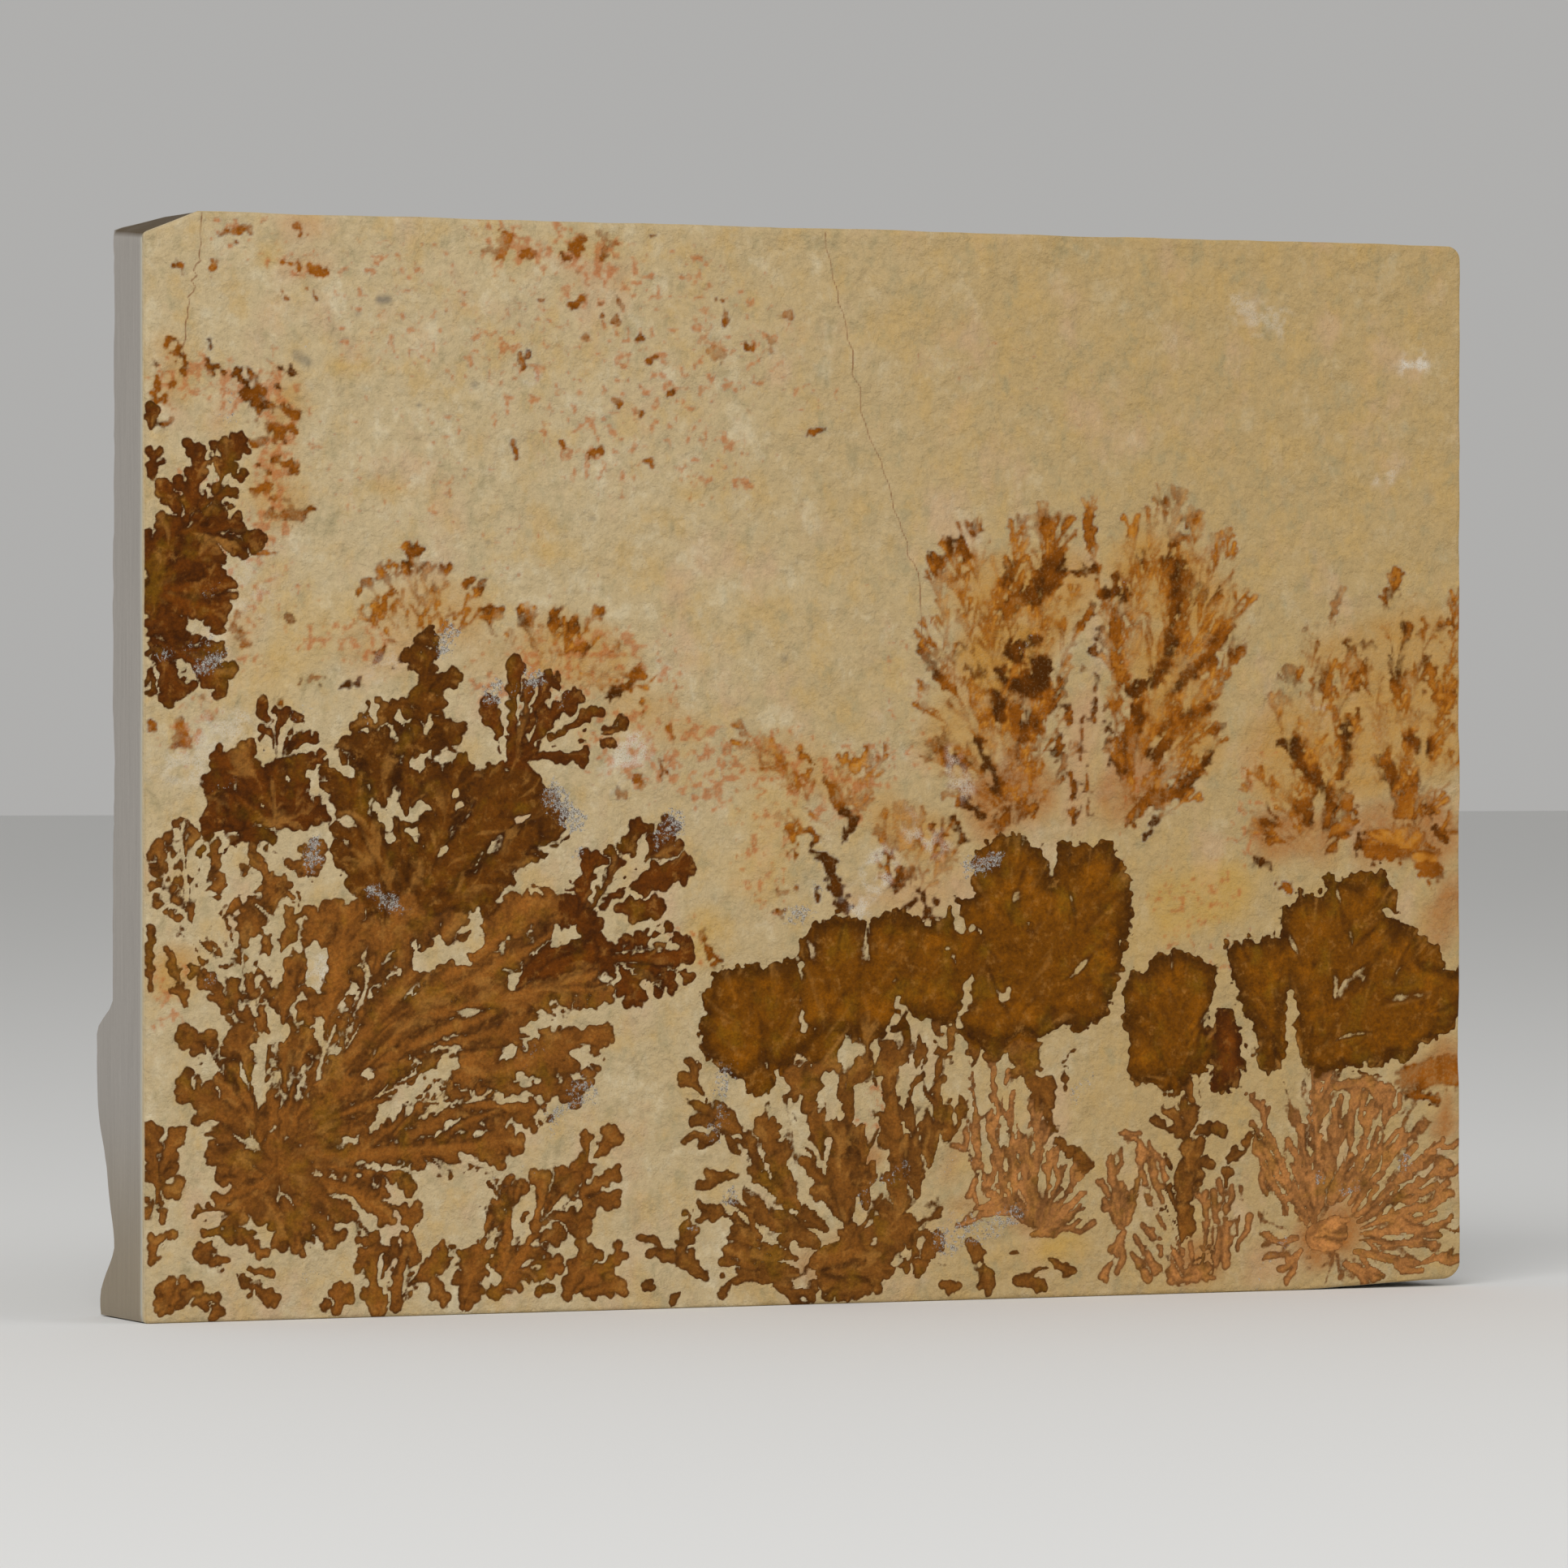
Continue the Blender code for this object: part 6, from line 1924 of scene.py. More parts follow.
    def outline(
        self, x: np.ndarray, z: np.ndarray, radius: np.ndarray
    ) -> tuple[np.ndarray, np.ndarray]:
        """Moves places on a plain rectangle to the slab's worn outline.

        Args:
            x: Places along the face.
            z: Their heights.
            radius: The radius of the worn edge at each.

        Returns:
            The new x and z.
        """
        half = self.width / 2
        side = np.sign(x)
        x = side * (half - self.turned_in(half - np.abs(x), radius))
        z = np.where(
            z < self.height / 2,
            self.turned_in(z, radius),
            self.height - self.turned_in(self.height - z, radius),
        )
        for sign, level, corner in (
            (1, self.height, self.top_right_corner),
            (1, 0.0, self.base_right_corner),
            (-1, self.height, self.left_corner),
            (-1, 0.0, self.left_corner),
        ):
            up = 1 if level > 0 else -1
            centre = (sign * (half - corner), level - up * corner)
            out = ((x - centre[0]) * sign, (z - centre[1]) * up)
            within = (out[0] > 0) & (out[1] > 0)
            square = np.maximum(out[0], out[1])
            share = np.where(within, square / np.maximum(1e-9, np.hypot(*out)), 1.0)
            x = np.where(within, centre[0] + sign * out[0] * share, x)
            z = np.where(within, centre[1] + up * out[1] * share, z)
        return self.wander(x, z)

    def wander(self, x: np.ndarray, z: np.ndarray) -> tuple[np.ndarray, np.ndarray]:
        """Lets the sawn edges stray from straight, and lifts the base at the right, as in the CAD.

        Args:
            x: Places along the slab.
            z: Their heights.

        Returns:
            The new x and z.
        """
        end = self.width / 2
        right = smooth_step(end - self.wander_depth, end, x) * self.right_wander
        top = smooth_step(self.height - self.wander_depth, self.height, z) * self.edge_wander
        rise = smooth_step(self.wander_depth, 0.0, z) * self.base_rise
        near_right, near_top = right > 0, top > 0
        dx, dz = np.zeros_like(x), rise * smooth_step(self.base_flat_to, end, x)
        flat = np.zeros_like(x)
        dx[near_right] = right[near_right] * self.right_edge.at(flat[near_right], z[near_right])
        dz[near_top] += top[near_top] * self.top_edge.at(x[near_top], flat[near_top])
        return x + dx, z + dz

    def knocked(self, x: np.ndarray, z: np.ndarray, depth: np.ndarray) -> np.ndarray:
        """The heights of places once the corner is knocked off, which lowers the rows below it.

        Args:
            x: Places along the slab.
            z: Their heights.
            depth: How far each is behind the face's plane.

        Returns:
            The new heights.
        """
        drop = self.chip_drop_face + (self.chip_drop_back - self.chip_drop_face) * depth / self.thin
        drop = drop * np.clip(1.0 - (x + self.width / 2) / self.chip_start, 0.0, 1.0)
        return z - drop * np.clip(1.0 + (z - self.height) / 0.006, 0.0, None)

    @staticmethod
    def boxed(x: np.ndarray, y: np.ndarray, z: np.ndarray) -> list[list[float]]:
        """Places as rows, none of them outside the CAD's box."""
        low, high = CAD_BOX
        return np.clip(np.column_stack((x, y, z)), low, high).tolist()


class Skin:
    """Helpers that turn a grid made by an operator into a closed, shaped and mapped piece."""

    @staticmethod
    def grid(
        columns: int, rows: int, low: tuple[float, float], high: tuple[float, float]
    ) -> bmesh.types.BMesh:
        """A flat upright grid that faces -Y.

        Args:
            columns: Cells along x.
            rows: Cells along z.
            low: x and z of its lowest corner.
            high: x and z of its highest.

        Returns:
            The mesh.
        """
        mesh = bmesh.new()
        bmesh.ops.create_grid(mesh, x_segments=columns, y_segments=rows, size=0.5)
        for vert in mesh.verts:
            along, up = vert.co.x + 0.5, vert.co.y + 0.5
            vert.co = (low[0] + (high[0] - low[0]) * along, 0.0, low[1] + (high[1] - low[1]) * up)
        return mesh

    @staticmethod
    def extrude_rim(mesh: bmesh.types.BMesh, times: int) -> list[list[bmesh.types.BMVert]]:
        """Extrudes the mesh's open rim and closes the last ring with one face.

        Args:
            mesh: A mesh with one open rim.
            times: How many rings are made.

        Returns:
            The rings' vertices, the first next to the rim.
        """
        edges = [edge for edge in mesh.edges if edge.is_boundary]
        rings = []
        for _ in range(times):
            made = bmesh.ops.extrude_edge_only(mesh, edges=edges)["geom"]
            rings.append([item for item in made if isinstance(item, bmesh.types.BMVert)])
            edges = [
                item for item in made if isinstance(item, bmesh.types.BMEdge) and item.is_boundary
            ]
        bmesh.ops.holes_fill(mesh, edges=edges, sides=0)
        return rings

    @staticmethod
    def places(mesh: bmesh.types.BMesh) -> np.ndarray:
        """Every vertex's place."""
        return np.array([vert.co for vert in mesh.verts])

    @staticmethod
    def finish(mesh: bmesh.types.BMesh, name: str, material: bpy.types.Material) -> bpy.types.Object:
        """Turns the mesh into a piece that stands for the CAD slab.

        Args:
            mesh: The finished mesh, which is freed.
            name: The piece's name.
            material: Its finish.

        Returns:
            The piece.
        """
        bmesh.ops.recalc_face_normals(mesh, faces=mesh.faces[:])
        data = bpy.data.meshes.new(name)
        mesh.to_mesh(data)
        mesh.free()
        data.shade_smooth()
        data.set_sharp_from_angle(angle=math.radians(50))
        data.materials.append(material)
        piece = bpy.data.objects.new(name, data)
        bpy.context.scene.collection.objects.link(piece)
        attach(piece, "root")
        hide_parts("slab")
        return piece

    @staticmethod
    def write(data: bpy.types.Mesh, name: str, kind: str, values: np.ndarray) -> None:
        """Stores a value for every vertex.

        Args:
            data: The mesh.
            name: The attribute's name.
            kind: FLOAT or FLOAT_COLOR.
            values: One row for each vertex.
        """
        layer = data.attributes.new(name, kind, "POINT")
        if kind == "FLOAT_COLOR":
            values = np.hstack([values, np.ones((len(values), 1))])
            layer.data.foreach_set("color", values.astype(np.float32).ravel())
        else:
            layer.data.foreach_set("value", values.astype(np.float32).ravel())


@dataclass
class BeddingFace:
    """The front of the slab, as upright strips side by side, each fine enough to carry the film."""

    shape: SlabShape
    layers: dict[str, np.ndarray]
    raster: Raster
    plane: float
    cell: float = 0.000186
    plate: float = 0.00062  # how thick each strip is
    names: tuple[str, ...] = ("left", "mid_left", "mid_right", "right")

    # The square that the face is laid out in.
    STARTS = (0.005, 0.505)  # where the lower and the upper half start across
    HALF = (0.49, 0.975)  # how broad and how high each half is
    BAND = 0.02  # how high the band below them is, which holds the rim and the hidden back
    LOW, THIN = 0.002, 0.012  # where in the band those start, and their height

    def build(self, material: bpy.types.Material) -> list[bpy.types.Object]:
        """Builds every strip.

        Args:
            material: The finish of the face.

        Returns:
            The pieces, from the left.
        """
        width = self.shape.width / len(self.names)
        left = -self.shape.width / 2
        return [
            self.strip(f"bedding_face_{name}", left + i * width, left + (i + 1) * width, material)
            for i, name in enumerate(self.names)
        ]

    def strip(
        self, name: str, left: float, right: float, material: bpy.types.Material
    ) -> bpy.types.Object:
        """Builds one strip as a closed plate.

        Args:
            name: Its name.
            left: Where it starts along x.
            right: Where it ends.
            material: Its finish.

        Returns:
            The piece.
        """
        shape = self.shape
        columns = round((right - left) / self.cell)
        rows = round(shape.height / self.cell)
        mesh = Skin.grid(columns, rows, (left, 0.0), (right, shape.height))
        count = len(mesh.verts)
        flat = Skin.places(mesh)
        Skin.extrude_rim(mesh, 1)
        mesh.verts.index_update()
        places = Skin.places(mesh)
        rim = np.arange(len(places)) >= count
        x, z, inset = self.shaped(places[:, 0], places[:, 2], rim)
        relief = shape.face_relief(x, z)
        y = self.plane + relief + shape.grain.at(x, z) + inset
        y[rim] = self.plane + self.plate
        z = shape.knocked(x, z, y - self.plane)
        for vert, place in zip(mesh.verts, shape.boxed(x, y, z)):
            vert.co = place
        self.map_faces(mesh, flat, count, (left, right))
        piece = Skin.finish(mesh, name, material)
        self.store(piece.data, x, z, inset, rim)
        LOG.info("%s: %d faces", name, len(piece.data.polygons))
        return piece

    def shaped(
        self, x: np.ndarray, z: np.ndarray, rim: np.ndarray
    ) -> tuple[np.ndarray, np.ndarray, np.ndarray]:
        """Brings the strip's places to the slab's outline.

        Args:
            x: Places along the face.
            z: Their heights.
            rim: Which places belong to the rim behind the face.

        Returns:
            The new x and z, and how far each place falls back at the worn edge.
        """
        shape = self.shape
        radius = shape.arris_at(x, z)
        from_edge = shape.inset(x, z)
        turn = np.clip(1.0 - from_edge / radius, 0.0, 1.0) * math.pi / 2
        back = radius * (1.0 - np.cos(turn))
        x, z = shape.outline(x, z, radius)
        return x, z, np.where(rim, 0.0, back)

    def map_faces(
        self, mesh: bmesh.types.BMesh, flat: np.ndarray, count: int, span: tuple[float, float]
    ) -> None:
        """Lays the face out in two halves side by side, so that a square image holds it finely.

        Args:
            mesh: The strip's mesh.
            flat: Its front's places before they were shaped.
            count: How many vertices its front has.
            span: Where the strip starts and ends along x.
        """
        layer = mesh.loops.layers.uv.new("OFBake")
        half = self.shape.height / 2
        across = (flat[:, 0] - span[0]) / (span[1] - span[0])
        up = flat[:, 2] / half
        mesh.faces.ensure_lookup_table()
        mesh.verts.index_update()
        for face in mesh.faces:
            indices = [vert.index for vert in face.verts]
            if max(indices) < count:
                upper = sum(up[i] for i in indices) / len(indices) > 1.0
                for loop, i in zip(face.loops, indices):
                    v = up[i] - 1.0 if upper else up[i]
                    u = across[i] * self.HALF[0] + self.STARTS[int(upper)]
                    loop[layer].uv = (u, self.BAND + v * self.HALF[1])
            elif len(indices) == 4:
                for loop, vert in zip(face.loops, face.verts):
                    deep = 0.0 if vert.index < count else 1.0
                    place = (vert.co.x - span[0]) / (span[1] - span[0]) + vert.co.z / (2 * half)
                    loop[layer].uv = (self.BAND + 0.45 * place, self.LOW + self.THIN * deep)
            else:
                for loop in face.loops:
                    place = (loop.vert.co.x - span[0]) / (span[1] - span[0])
                    rise = self.THIN * loop.vert.co.z / (2 * half)
                    loop[layer].uv = (0.96 + 0.03 * place, self.LOW + rise)

    def store(
        self, data: bpy.types.Mesh, x: np.ndarray, z: np.ndarray, inset: np.ndarray, rim: np.ndarray
    ) -> None:
        """Reads the film's layers at every vertex into attributes of the mesh.

        Args:
            data: The strip's mesh.
            x: Its places along the face, in metres.
            z: Their heights.
            inset: How far each has turned back at the worn edge.
            rim: Which belong to the rim.
        """
        across = (x + self.shape.width / 2) / MM
        up = z / MM
        side = np.where(rim, 1.0, np.clip(inset / self.shape.arris, 0.0, 1.0))
        Skin.write(data, "side", "FLOAT", side)
        for name, layer in self.layers.items():
            values = self.raster.read(layer, across, up)
            if name == "edge":
                values = np.clip(values, -2.0, 2.0)
            Skin.write(data, name, "FLOAT_COLOR" if layer.ndim == 3 else "FLOAT", values)


@dataclass
class SlabBody:
    """All of the slab behind its face: the sawn sides and the back, which split along layers."""

    shape: SlabShape
    cell: float = 0.0008
    rings: int = 12
    join: float = 0.00064  # how far behind the face's plane it comes out from the strips
    seat: float = 0.00050  # and how far behind it starts, inside them
    tuck: float = 0.00012  # how far its hidden end draws in
    splits: Rough = Rough(1.0, 0.021, 91.0, 4)
    split_depth: float = 0.00022
    grain: Rough = Rough(0.00007, 0.004, 93.0, 4)

    def build(self, plane: float, material: bpy.types.Material) -> bpy.types.Object:
        """Builds the body.

        Args:
            plane: Where the face's plane is.
            material: The finish of the sides and the back.

        Returns:
            The piece.
        """
        shape = self.shape
        columns, rows = round(shape.width / self.cell), round(shape.height / self.cell)
        half = shape.width / 2
        mesh = Skin.grid(columns, rows, (-half, 0.0), (half, shape.height))
        rings = Skin.extrude_rim(mesh, self.rings)
        mesh.verts.index_update()
        level = np.zeros(len(mesh.verts), int)
        for number, ring in enumerate(rings):
            level[[vert.index for vert in ring]] = number + 1
        flat = Skin.places(mesh)
        x, y, z = self.places(flat[:, 0], flat[:, 2], level)
        for vert, place in zip(mesh.verts, shape.boxed(x, y + plane, z)):
            vert.co = place
        piece = Skin.finish(mesh, "slab_body", material)
        inset = shape.inset(flat[:, 0], flat[:, 2])
        side = np.where(level > 0, 1.0, np.clip(1.2 - inset / self.cell, 0.0, 1.0))
        top = (level > 0) & (flat[:, 2] > shape.height - self.cell / 2)
        # Marks the knocked-off top corner, which the body's finish paints dark as painted shadow.
        shadowed_chip = top & (flat[:, 0] < shape.chip_start - half)
        Skin.write(piece.data, "side", "FLOAT", side)
        Skin.write(piece.data, "chip_shadow", "FLOAT", shadowed_chip.astype(float))
        LOG.info("slab_body: %d faces", len(piece.data.polygons))
        return piece

    def places(
        self, x: np.ndarray, z: np.ndarray, level: np.ndarray
    ) -> tuple[np.ndarray, np.ndarray, np.ndarray]:
        """Shapes the back, and the rings that run from its rim forward to the face.

        Args:
            x: Places on the uncut block.
            z: Their heights.
            level: 0 on the back, and the number of the ring elsewhere.

        Returns:
            The shaped places, y counted from the face's plane.
        """
        shape = self.shape
        radius = shape.arris_at(x, z) * 1.3
        turn = np.clip(1.0 - shape.inset(x, z) / radius, 0.0, 1.0) * math.pi / 2
        x, z = shape.outline(x, z, radius)
        depth = shape.thickness(x, z) + self.back_detail(x, z) - radius * (1.0 - np.cos(turn))
        y = depth + (self.join - depth) * np.clip(level / (self.rings - 1), 0.0, 1.0)
        last = level == self.rings
        y = np.where(last, self.seat, y)
        inward = np.where(last, self.tuck, 0.0)
        middle = shape.height / 2
        x = x - np.sign(x) * inward * (np.abs(x) > shape.width / 2 - 0.002)
        z = z - np.sign(z - middle) * inward * (np.abs(z - middle) > middle - 0.002)
        return x, y, shape.knocked(x, z, y)

    def back_detail(self, x: np.ndarray, z: np.ndarray) -> np.ndarray:
        """The finer splits and grain of the back.

        Args:
            x: The places along the slab.
            z: Their heights.

        Returns:
            How much further back each place stands than in the CAD.
        """
        step = self.splits.at(x, z)
        ledge = self.split_depth * (smooth_step(0.10, 0.16, step) + smooth_step(-0.2, -0.15, step) - 1.0)
        return ledge + self.grain.at(x, z)


def arithmetic(operation: str, turned: bool = False) -> Callable[["Wire", "Feed"], "Wire"]:
    """Makes a method that adds one Math node.

    Args:
        operation: The node's operation.
        turned: True where the wire comes second, as in 1 - wire.

    Returns:
        The method.
    """

    def method(wire: "Wire", other: "Feed") -> "Wire":
        """The wire and the other feed, put through the node."""
        first, second = (other, wire) if turned else (wire, other)
        return wire.dress.node("ShaderNodeMath", {"operation": operation}, {0: first, 1: second})

    return method


class Wire:
    """A shader socket that takes part in arithmetic, by adding the Math nodes it needs."""

    __add__ = arithmetic("ADD")
    __radd__ = arithmetic("ADD", turned=True)
    __sub__ = arithmetic("SUBTRACT")
    __rsub__ = arithmetic("SUBTRACT", turned=True)
    __mul__ = arithmetic("MULTIPLY")
    __rmul__ = arithmetic("MULTIPLY", turned=True)
    __truediv__ = arithmetic("DIVIDE")
    __rtruediv__ = arithmetic("DIVIDE", turned=True)
    least = arithmetic("MINIMUM")

    def __init__(self, dress: "Dress", socket: bpy.types.NodeSocket) -> None:
        """Wraps a socket of a material that is being dressed."""
        self.dress = dress
        self.socket = socket

    def step(self, start: float, end: float, low: float = 0.0, high: float = 1.0) -> "Wire":
        """A smooth change as this goes from start to end.

        Args:
            start: Where it begins.
            end: Where it is complete, which may be below start.
            low: The value before it.
            high: The value after it.

        Returns:
            The changing value.
        """
        feeds = {"Value": self, "From Min": start, "From Max": end, "To Min": low, "To Max": high}
        if start > end:
            feeds.update({"From Min": end, "From Max": start, "To Min": high, "To Max": low})
        return self.dress.node("ShaderNodeMapRange", {"interpolation_type": "SMOOTHSTEP"}, feeds)


Feed = Wire | float | tuple


class Dress:
    """One material's node tree, and the few ways in which nodes are added to it."""

    def __init__(self, name: str) -> None:
        """Starts a material without any node.

        Args:
            name: The material's name.
        """
        self.material = bpy.data.materials.new(name)
        self.material.use_nodes = True
        self.tree = self.material.node_tree
        self.tree.nodes.clear()

    def node(
        self, kind: str, settings: dict[str, object], feeds: dict[str | int, Feed], out: str | int = 0
    ) -> Wire:
        """Adds any node.

        Args:
            kind: Its type.
            settings: Its own settings, such as an operation.
            feeds: What goes into its sockets, by name or number: wires or plain values.
            out: Which of its outputs is wanted.

        Returns:
            That output.
        """
        node = self.tree.nodes.new(kind)
        for name, value in settings.items():
            setattr(node, name, value)
        for key, feed in feeds.items():
            if isinstance(feed, Wire):
                self.tree.links.new(feed.socket, node.inputs[key])
            else:
                node.inputs[key].default_value = feed
        return Wire(self, node.outputs[out])

    def place(self) -> Wire:
        """The place on the object, in metres."""
        return self.node("ShaderNodeTexCoord", {}, {}, "Object")

    def part(self, place: Wire, axis: str) -> Wire:
        """How far a place is along one axis."""
        return self.node("ShaderNodeSeparateXYZ", {}, {0: place}, axis)

    def attribute(self, name: str, out: str = "Fac") -> Wire:
        """A value or colour stored with the mesh."""
        return self.node("ShaderNodeAttribute", {"attribute_name": name}, {}, out)

    def stretched(self, place: Wire, scale: tuple[float, float, float], turn: float = 0.0) -> Wire:
        """The place scaled along each axis and turned about y, in degrees."""
        feeds = {"Vector": place, "Scale": scale, "Rotation": (0.0, math.radians(turn), 0.0)}
        return self.node("ShaderNodeMapping", {}, feeds)

    def noise(self, place: Wire, size: float, detail: float = 2.0, rough: float = 0.55) -> Wire:
        """Soft noise of about 0.2 to 0.8, whose lumps are as wide as size in millimetres."""
        feeds = {"Vector": place, "Scale": 1.0 / (size * MM), "Detail": detail, "Roughness": rough}
        return self.node("ShaderNodeTexNoise", {}, feeds)

    def mix(self, factor: Feed, first: Feed, second: Feed) -> Wire:
        """A colour between two colours."""
        first, second = (c if isinstance(c, Wire) else (*c[:3], 1.0) for c in (first, second))
        return self.node("ShaderNodeMix", {"data_type": "RGBA"}, {0: factor, 6: first, 7: second}, 2)

    def scaled(self, colour: Wire, factor: Feed) -> Wire:
        """A colour made lighter or darker by a factor."""
        return self.node("ShaderNodeVectorMath", {"operation": "SCALE"}, {0: colour, "Scale": factor})

    def bump(self, height: Wire, distance: float, strength: float = 1.0) -> Wire:
        """A normal bent by a height of 0 to 1 that is worth distance millimetres."""
        feeds = {"Height": height, "Distance": distance * MM, "Strength": strength}
        return self.node("ShaderNodeBump", {}, feeds, "Normal")

    def finish(
        self, colour: Feed, roughness: Feed, normal: Wire | None = None, level: float = 0.5
    ) -> bpy.types.Material:
        """Closes the tree with its surface.

        Args:
            colour: The base colour.
            roughness: The roughness.
            normal: A bent normal, where there is one.
            level: The specular level, the same all over.

        Returns:
            The material.
        """
        feeds: dict[str | int, Feed] = {"Base Color": colour, "Roughness": roughness}
        feeds["Specular IOR Level"] = level
        if normal is not None:
            feeds["Normal"] = normal
        surface = self.node("ShaderNodeBsdfPrincipled", {}, feeds, "BSDF")
        output = self.tree.nodes.new("ShaderNodeOutputMaterial")
        self.tree.links.new(surface.socket, output.inputs["Surface"])
        return self.material


@dataclass(frozen=True)
class SawnStone:
    """The look of the sawn sides: grey stone with fine saw lines and a pale rind by the face."""

    plane: float
    grey: RGB = linear((162, 156, 149))
    warm: RGB = linear((148, 135, 115))
    strip: RGB = linear((180, 176, 161))
    rind: RGB = linear((196, 178, 144))

    def colour(self, dress: Dress, place: Wire) -> tuple[Wire, Wire]:
        """Adds the nodes of the sawn surface.

        Args:
            dress: The material being dressed.
            place: The place on the object.

        Returns:
            Its colour, and the height of its saw lines from 0 to 1.
        """
        height = dress.part(place, "Z")
        lines = dress.noise(dress.stretched(place, (0.03, 1.0, 0.03)), 0.28, 3.0, 0.7)
        broad = dress.noise(dress.stretched(place, (0.2, 1.0, 0.2)), 2.6, 2.0)
        depth = (dress.part(place, "Y") - self.plane) / MM + (broad - 0.5) * 0.5
        grey = dress.mix(height.step(0.022, 0.002), self.grey, self.warm)
        colour = dress.mix(depth.step(1.5, 0.8), grey, self.strip)
        colour = dress.mix(depth.step(0.85, 0.45), colour, self.rind)
        speckle = dress.noise(place, 0.5, 3.0, 0.65)
        light = 0.74 + lines * 0.34 + broad * 0.10 + speckle * 0.10
        return dress.scaled(colour, light), lines


@dataclass(frozen=True)
class BeddingStone:
    """The look of the bare bedding face: cream stone, yellower to the right, softly mottled."""

    cream: RGB = linear((190, 169, 130))
    buff: RGB = linear((180, 153, 106))
    drab: RGB = linear((158, 144, 108))
    pink: RGB = linear((196, 162, 128))
    pale: RGB = linear((206, 192, 160))
    straw: RGB = linear((190, 156, 96))

    def colour(self, dress: Dress, place: Wire) -> Wire:
        """Adds the nodes of the bare stone.

        Args:
            dress: The material being dressed.
            place: The place on the object.

        Returns:
            Its colour.
        """
        broad = dress.noise(place, 16.0, 3.0)
        upright = dress.stretched(place, (1.0, 1.0, 0.75), 8.0)
        patches = dress.noise(upright, 1.8, 5.0, 0.65)
        pinks = dress.noise(dress.stretched(place, (1.0, 1.0, 0.7), -20.0), 5.5, 4.0, 0.6)
        fine = dress.noise(place, 0.45, 3.0, 0.65)
        grain = dress.noise(place, 1.1, 4.0, 0.7)
        veil = dress.noise(dress.stretched(place, (1.0, 1.0, 0.8), 25.0), 3.6, 5.0, 0.65)
        right = (dress.part(place, "X") + (broad - 0.5) * 0.06).step(-0.035, 0.04)
        colour = dress.mix(right, self.cream, self.buff)
        colour = dress.mix(veil.step(0.48, 0.66) * 0.5, colour, self.straw)
        colour = dress.mix(patches.step(0.50, 0.72) * 0.6, colour, self.drab)
        colour = dress.mix(pinks.step(0.52, 0.72) * 0.5, colour, self.pink)
        paler = veil.step(0.46, 0.30) * 0.6 + patches.step(0.45, 0.28) * 0.4
        colour = dress.mix((paler * (1.0 - right * 0.6)).least(1.0), colour, self.pale)
        return dress.scaled(colour, 0.70 + fine * 0.36 + grain * 0.26)


@dataclass(frozen=True)
class FaceFinish:
    """The face: bare stone, soft stains, the film, its crust, pale places, spots and cracks."""

    plane: float
    tan: RGB = linear((168, 116, 52))
    olive: RGB = linear((126, 90, 12))
    dark: RGB = linear((52, 24, 2))
    crust: RGB = linear((184, 180, 172))
    slate: RGB = linear((100, 92, 84))
    chalk: RGB = linear((214, 206, 190))
    spot: RGB = linear((112, 104, 92))
    crack: RGB = linear((124, 76, 44))

    def material(self) -> bpy.types.Material:
        """Builds the material.

        Returns:
            The finish for every strip of the face.
        """
        dress = Dress("bedding_face")
        place = dress.place()
        colour = BeddingStone().colour(dress, place)
        fine = dress.noise(place, 0.30, 3.0, 0.6)
        finer = dress.noise(place, 0.12, 2.0, 0.6)
        haze = dress.attribute("haze") * fine.step(0.3, 0.62, 0.88, 1.12)
        colour = dress.mix(haze.least(1.0), colour, dress.attribute("haze_colour", "Color"))
        colour = dress.mix(dress.attribute("chalk") * finer.step(0.3, 0.55), colour, self.chalk)
        colour = dress.mix(dress.attribute("spots"), colour, self.spot)
        colour = dress.mix(dress.attribute("crack").step(0.13, 0.03) * 0.75, colour, self.crack)
        film, mask = self.film(dress, place, fine, finer)
        colour = dress.mix(mask, colour, film)
        crust = dress.noise(place, 0.34, 4.0, 0.75)
        bloom = (dress.attribute("bloom") + (crust - 0.5) * 3.0 - 0.74).step(0.0, 0.3)
        shade = dress.mix(finer.step(0.40, 0.6), self.slate, self.crust)
        colour = dress.mix(bloom * 0.85, colour, shade)
        sawn, lines = SawnStone(self.plane).colour(dress, place)
        side = dress.attribute("side").step(0.55, 0.95)
        colour = dress.mix(side, colour, sawn)
        roughness = 0.72 - mask * 0.14 - bloom * 0.12 + (fine - 0.5) * 0.2
        relief = dress.noise(place, 1.6, 5.0, 0.6) + fine * 0.25 + dress.noise(place, 4.6, 3.0, 0.5) * 2.1
        normal = dress.bump(relief - mask * 0.03 + lines * side * 0.3, 0.6, 0.8)
        return dress.finish(colour, roughness, normal, 0.06)

    def film(self, dress: Dress, place: Wire, fine: Wire, finer: Wire) -> tuple[Wire, Wire]:
        """Adds the nodes of the film.

        Args:
            dress: The material being dressed.
            place: The place on the object.
            fine: Noise of about 0.3 mm.
            finer: Noise of about 0.1 mm.

        Returns:
            The film's colour, and where it lies, from 0 to 1.
        """
        edge = dress.attribute("edge") + (fine - 0.5) * 0.12 + (finer - 0.5) * 0.08
        mask = edge.step(0.07, -0.07)
        tone = dress.attribute("colour", "Color")
        streak = dress.attribute("streak")
        broad = dress.noise(place, 3.4, 3.0, 0.6)
        mottle = dress.noise(place, 1.0, 4.0, 0.65)
        tone = dress.mix(broad.step(0.50, 0.70) * 0.5, tone, self.olive)
        tone = dress.mix(mottle.step(0.54, 0.72) * 0.45, tone, self.tan)
        tone = dress.mix(mottle.step(0.48, 0.3) * 0.35, tone, self.dark)
        tone = dress.mix(streak.step(0.3, 1.9) * 0.50, tone, self.tan)
        tone = dress.mix(streak.step(-0.2, -1.9) * 0.42, tone, self.dark)
        tone = dress.mix(edge.step(-0.34, -0.04) * 0.54, tone, self.dark)
        tone = dress.scaled(tone, fine.step(0.3, 0.7, 0.82, 1.18))
        return tone, mask


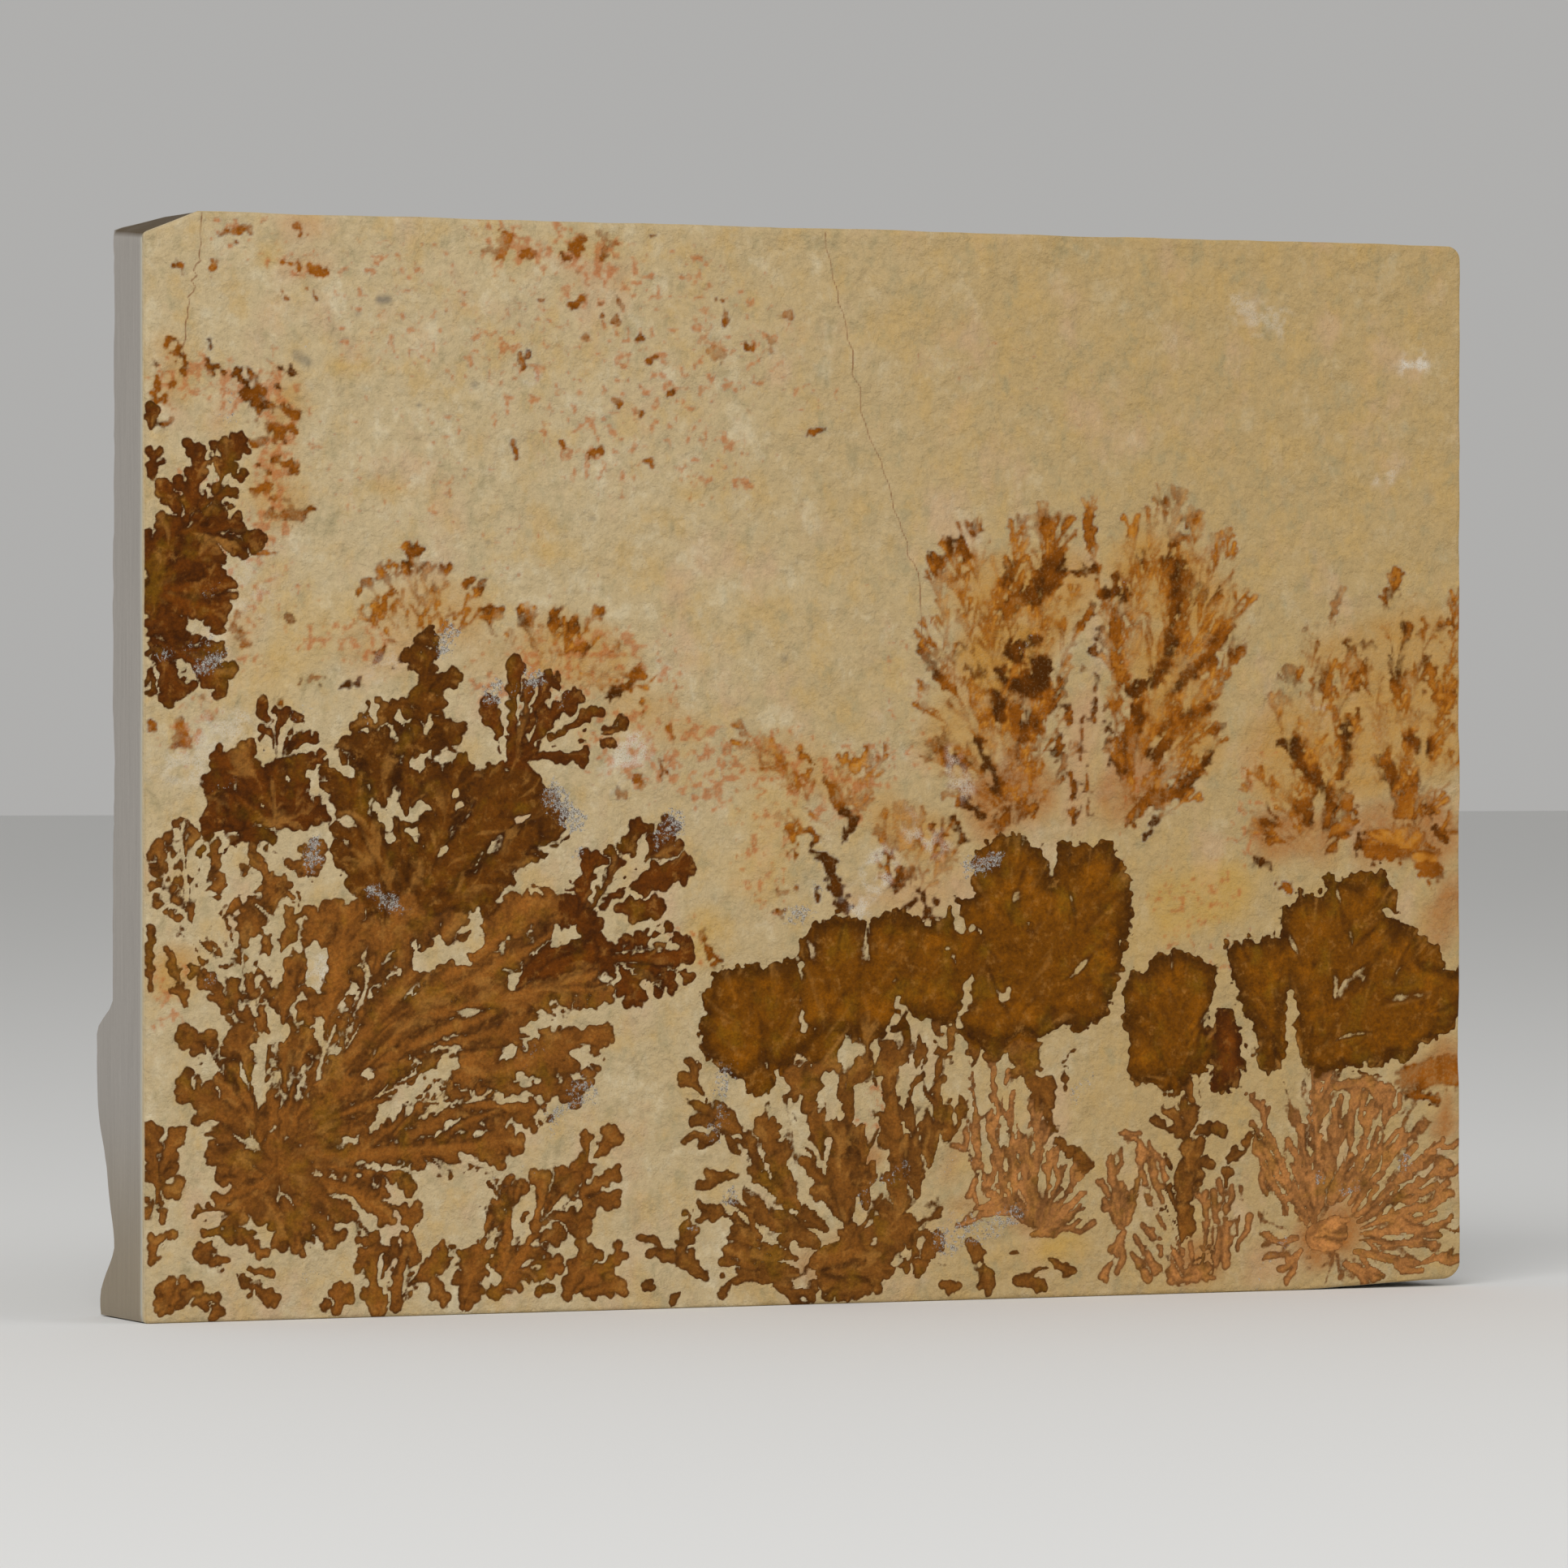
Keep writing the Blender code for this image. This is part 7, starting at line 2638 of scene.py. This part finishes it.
@dataclass(frozen=True)
class BodyFinish:
    """The sides and back of the slab, with painted shadow on the knocked-off top corner."""

    plane: float
    cream: RGB = linear((178, 163, 132))
    drab: RGB = linear((156, 143, 115))
    rust: RGB = linear((156, 122, 80))
    # painted shadow: this dark brown on the chipped top corner stands in for the shade it lies in
    chip_shadow: RGB = linear((84, 68, 44))

    def material(self) -> bpy.types.Material:
        """Builds the material.

        Returns:
            The finish for the body.
        """
        dress = Dress("limestone_body")
        place = dress.place()
        sawn, lines = SawnStone(self.plane).colour(dress, place)
        broad = dress.noise(place, 14.0, 5.0, 0.6)
        patches = dress.noise(place, 3.0, 5.0, 0.65)
        fine = dress.noise(place, 0.6, 4.0, 0.65)
        back = dress.mix((broad + (patches - 0.5) * 0.3).step(0.38, 0.68), self.cream, self.drab)
        back = dress.mix((broad + (patches - 0.5) * 0.6).step(0.60, 0.78) * 0.5, back, self.rust)
        back = dress.mix(patches.step(0.5, 0.3) * 0.3, back, BeddingStone().pale)
        back = dress.scaled(back, 0.82 + fine * 0.36)
        side = dress.attribute("side").step(0.5, 0.9)
        colour = dress.mix(side, back, sawn)
        # Painted shadow on the chipped top corner, made uneven by the patches.
        chip_shadow = dress.attribute("chip_shadow") * (patches * 0.5 + 0.75)
        colour = dress.mix(chip_shadow.least(1.0), colour, self.chip_shadow)
        relief = (patches * 0.6 + fine * 0.4) * (1.0 - side * 0.8) + lines * side * 0.35
        normal = dress.bump(relief, 0.30, 0.6)
        return dress.finish(colour, 0.72 + (fine - 0.5) * 0.16, normal, 0.4)


@dataclass
class Studio:
    """The camera at the photograph's angle, soft lights, a pale floor and a pale surround."""

    plane: float
    yaw: float = 24.0
    pitch: float = -0.199
    lens: float = 193.1
    sensor: float = 36.0
    stand: tuple[float, float, float] = (-0.3215, -0.7126, 0.05108)  # y from the face's plane
    pale: RGB = (0.80, 0.80, 0.79)
    drab: RGB = (0.76, 0.76, 0.75)
    daylight: tuple[float, float, float, float] = (1.0, 0.99, 0.97, 1.0)
    glow: float = 0.43
    box_side: float = 0.9
    key: float = 12.0
    fill: float = 3.6
    middle: tuple[float, float, float] = (0.0, 0.0, 0.05)  # what the lights face

    def build(self) -> None:
        """Sets everything up."""
        self.camera()
        self.floor()
        self.surround()
        self.softbox("key", (-0.75, -0.95, 0.95), self.key)
        self.softbox("fill", (0.95, -0.85, 0.55), self.fill)

    def camera(self) -> None:
        """The camera, with its depth of field off."""
        data = bpy.data.cameras.new("camera")
        data.lens = self.lens
        data.sensor_width = self.sensor
        data.clip_start, data.clip_end = 0.01, 50.0
        camera = bpy.data.objects.new("camera", data)
        x, y, z = self.stand
        camera.location = (x, self.plane + y, z)
        yaw, pitch = math.radians(self.yaw), math.radians(self.pitch)
        ahead = (math.sin(yaw) * math.cos(pitch), math.cos(yaw) * math.cos(pitch), math.sin(pitch))
        camera.rotation_mode = "QUATERNION"
        camera.rotation_quaternion = Vector(ahead).to_track_quat("-Z", "Y")
        bpy.context.scene.collection.objects.link(camera)
        bpy.context.scene.camera = camera
        bpy.context.scene.view_settings.view_transform = "Standard"

    def floor(self) -> None:
        """A wide pale floor, which isn't part of the object."""
        mesh = bmesh.new()
        bmesh.ops.create_grid(mesh, x_segments=2, y_segments=2, size=6.0)
        data = bpy.data.meshes.new("floor")
        mesh.to_mesh(data)
        mesh.free()
        dress = Dress("pale_floor")
        soft = dress.noise(dress.place(), 60.0, 2.0)
        data.materials.append(dress.finish(dress.mix(soft * 0.1, self.pale, self.drab), 0.85))
        floor = bpy.data.objects.new("floor", data)
        bpy.context.scene.collection.objects.link(floor)

    def surround(self) -> None:
        """An even pale surround."""
        world = bpy.data.worlds.new("surround")
        world.use_nodes = True
        background = world.node_tree.nodes["Background"]
        background.inputs["Color"].default_value = self.daylight
        background.inputs["Strength"].default_value = self.glow
        bpy.context.scene.world = world

    def softbox(self, name: str, place: tuple[float, float, float], power: float) -> None:
        """A square light that faces the slab.

        Args:
            name: Its name.
            place: Where it hangs, in metres.
            power: Its power in watts.
        """
        data = bpy.data.lights.new(name, "AREA")
        data.shape = "SQUARE"
        data.size = self.box_side
        data.energy = power
        light = bpy.data.objects.new(name, data)
        light.location = place
        light.rotation_mode = "QUATERNION"
        ahead = Vector(self.middle) - Vector(place)
        light.rotation_quaternion = ahead.to_track_quat("-Z", "Y")
        bpy.context.scene.collection.objects.link(light)


def main() -> None:
    """Builds the film, the face, the body and the studio."""
    logging.basicConfig(level=logging.INFO, format="%(message)s")
    shape = SlabShape()
    raster = Raster(shape.width / MM, shape.height / MM, 0.1)
    layers = Film(raster).draw()
    LOG.info("film: %d layers", len(layers))
    plane = shape.face_plane()
    BeddingFace(shape, layers, raster, plane).build(FaceFinish(plane).material())
    SlabBody(shape).build(plane, BodyFinish(plane).material())
    Studio(plane).build()


if __name__ == "__main__":
    main()
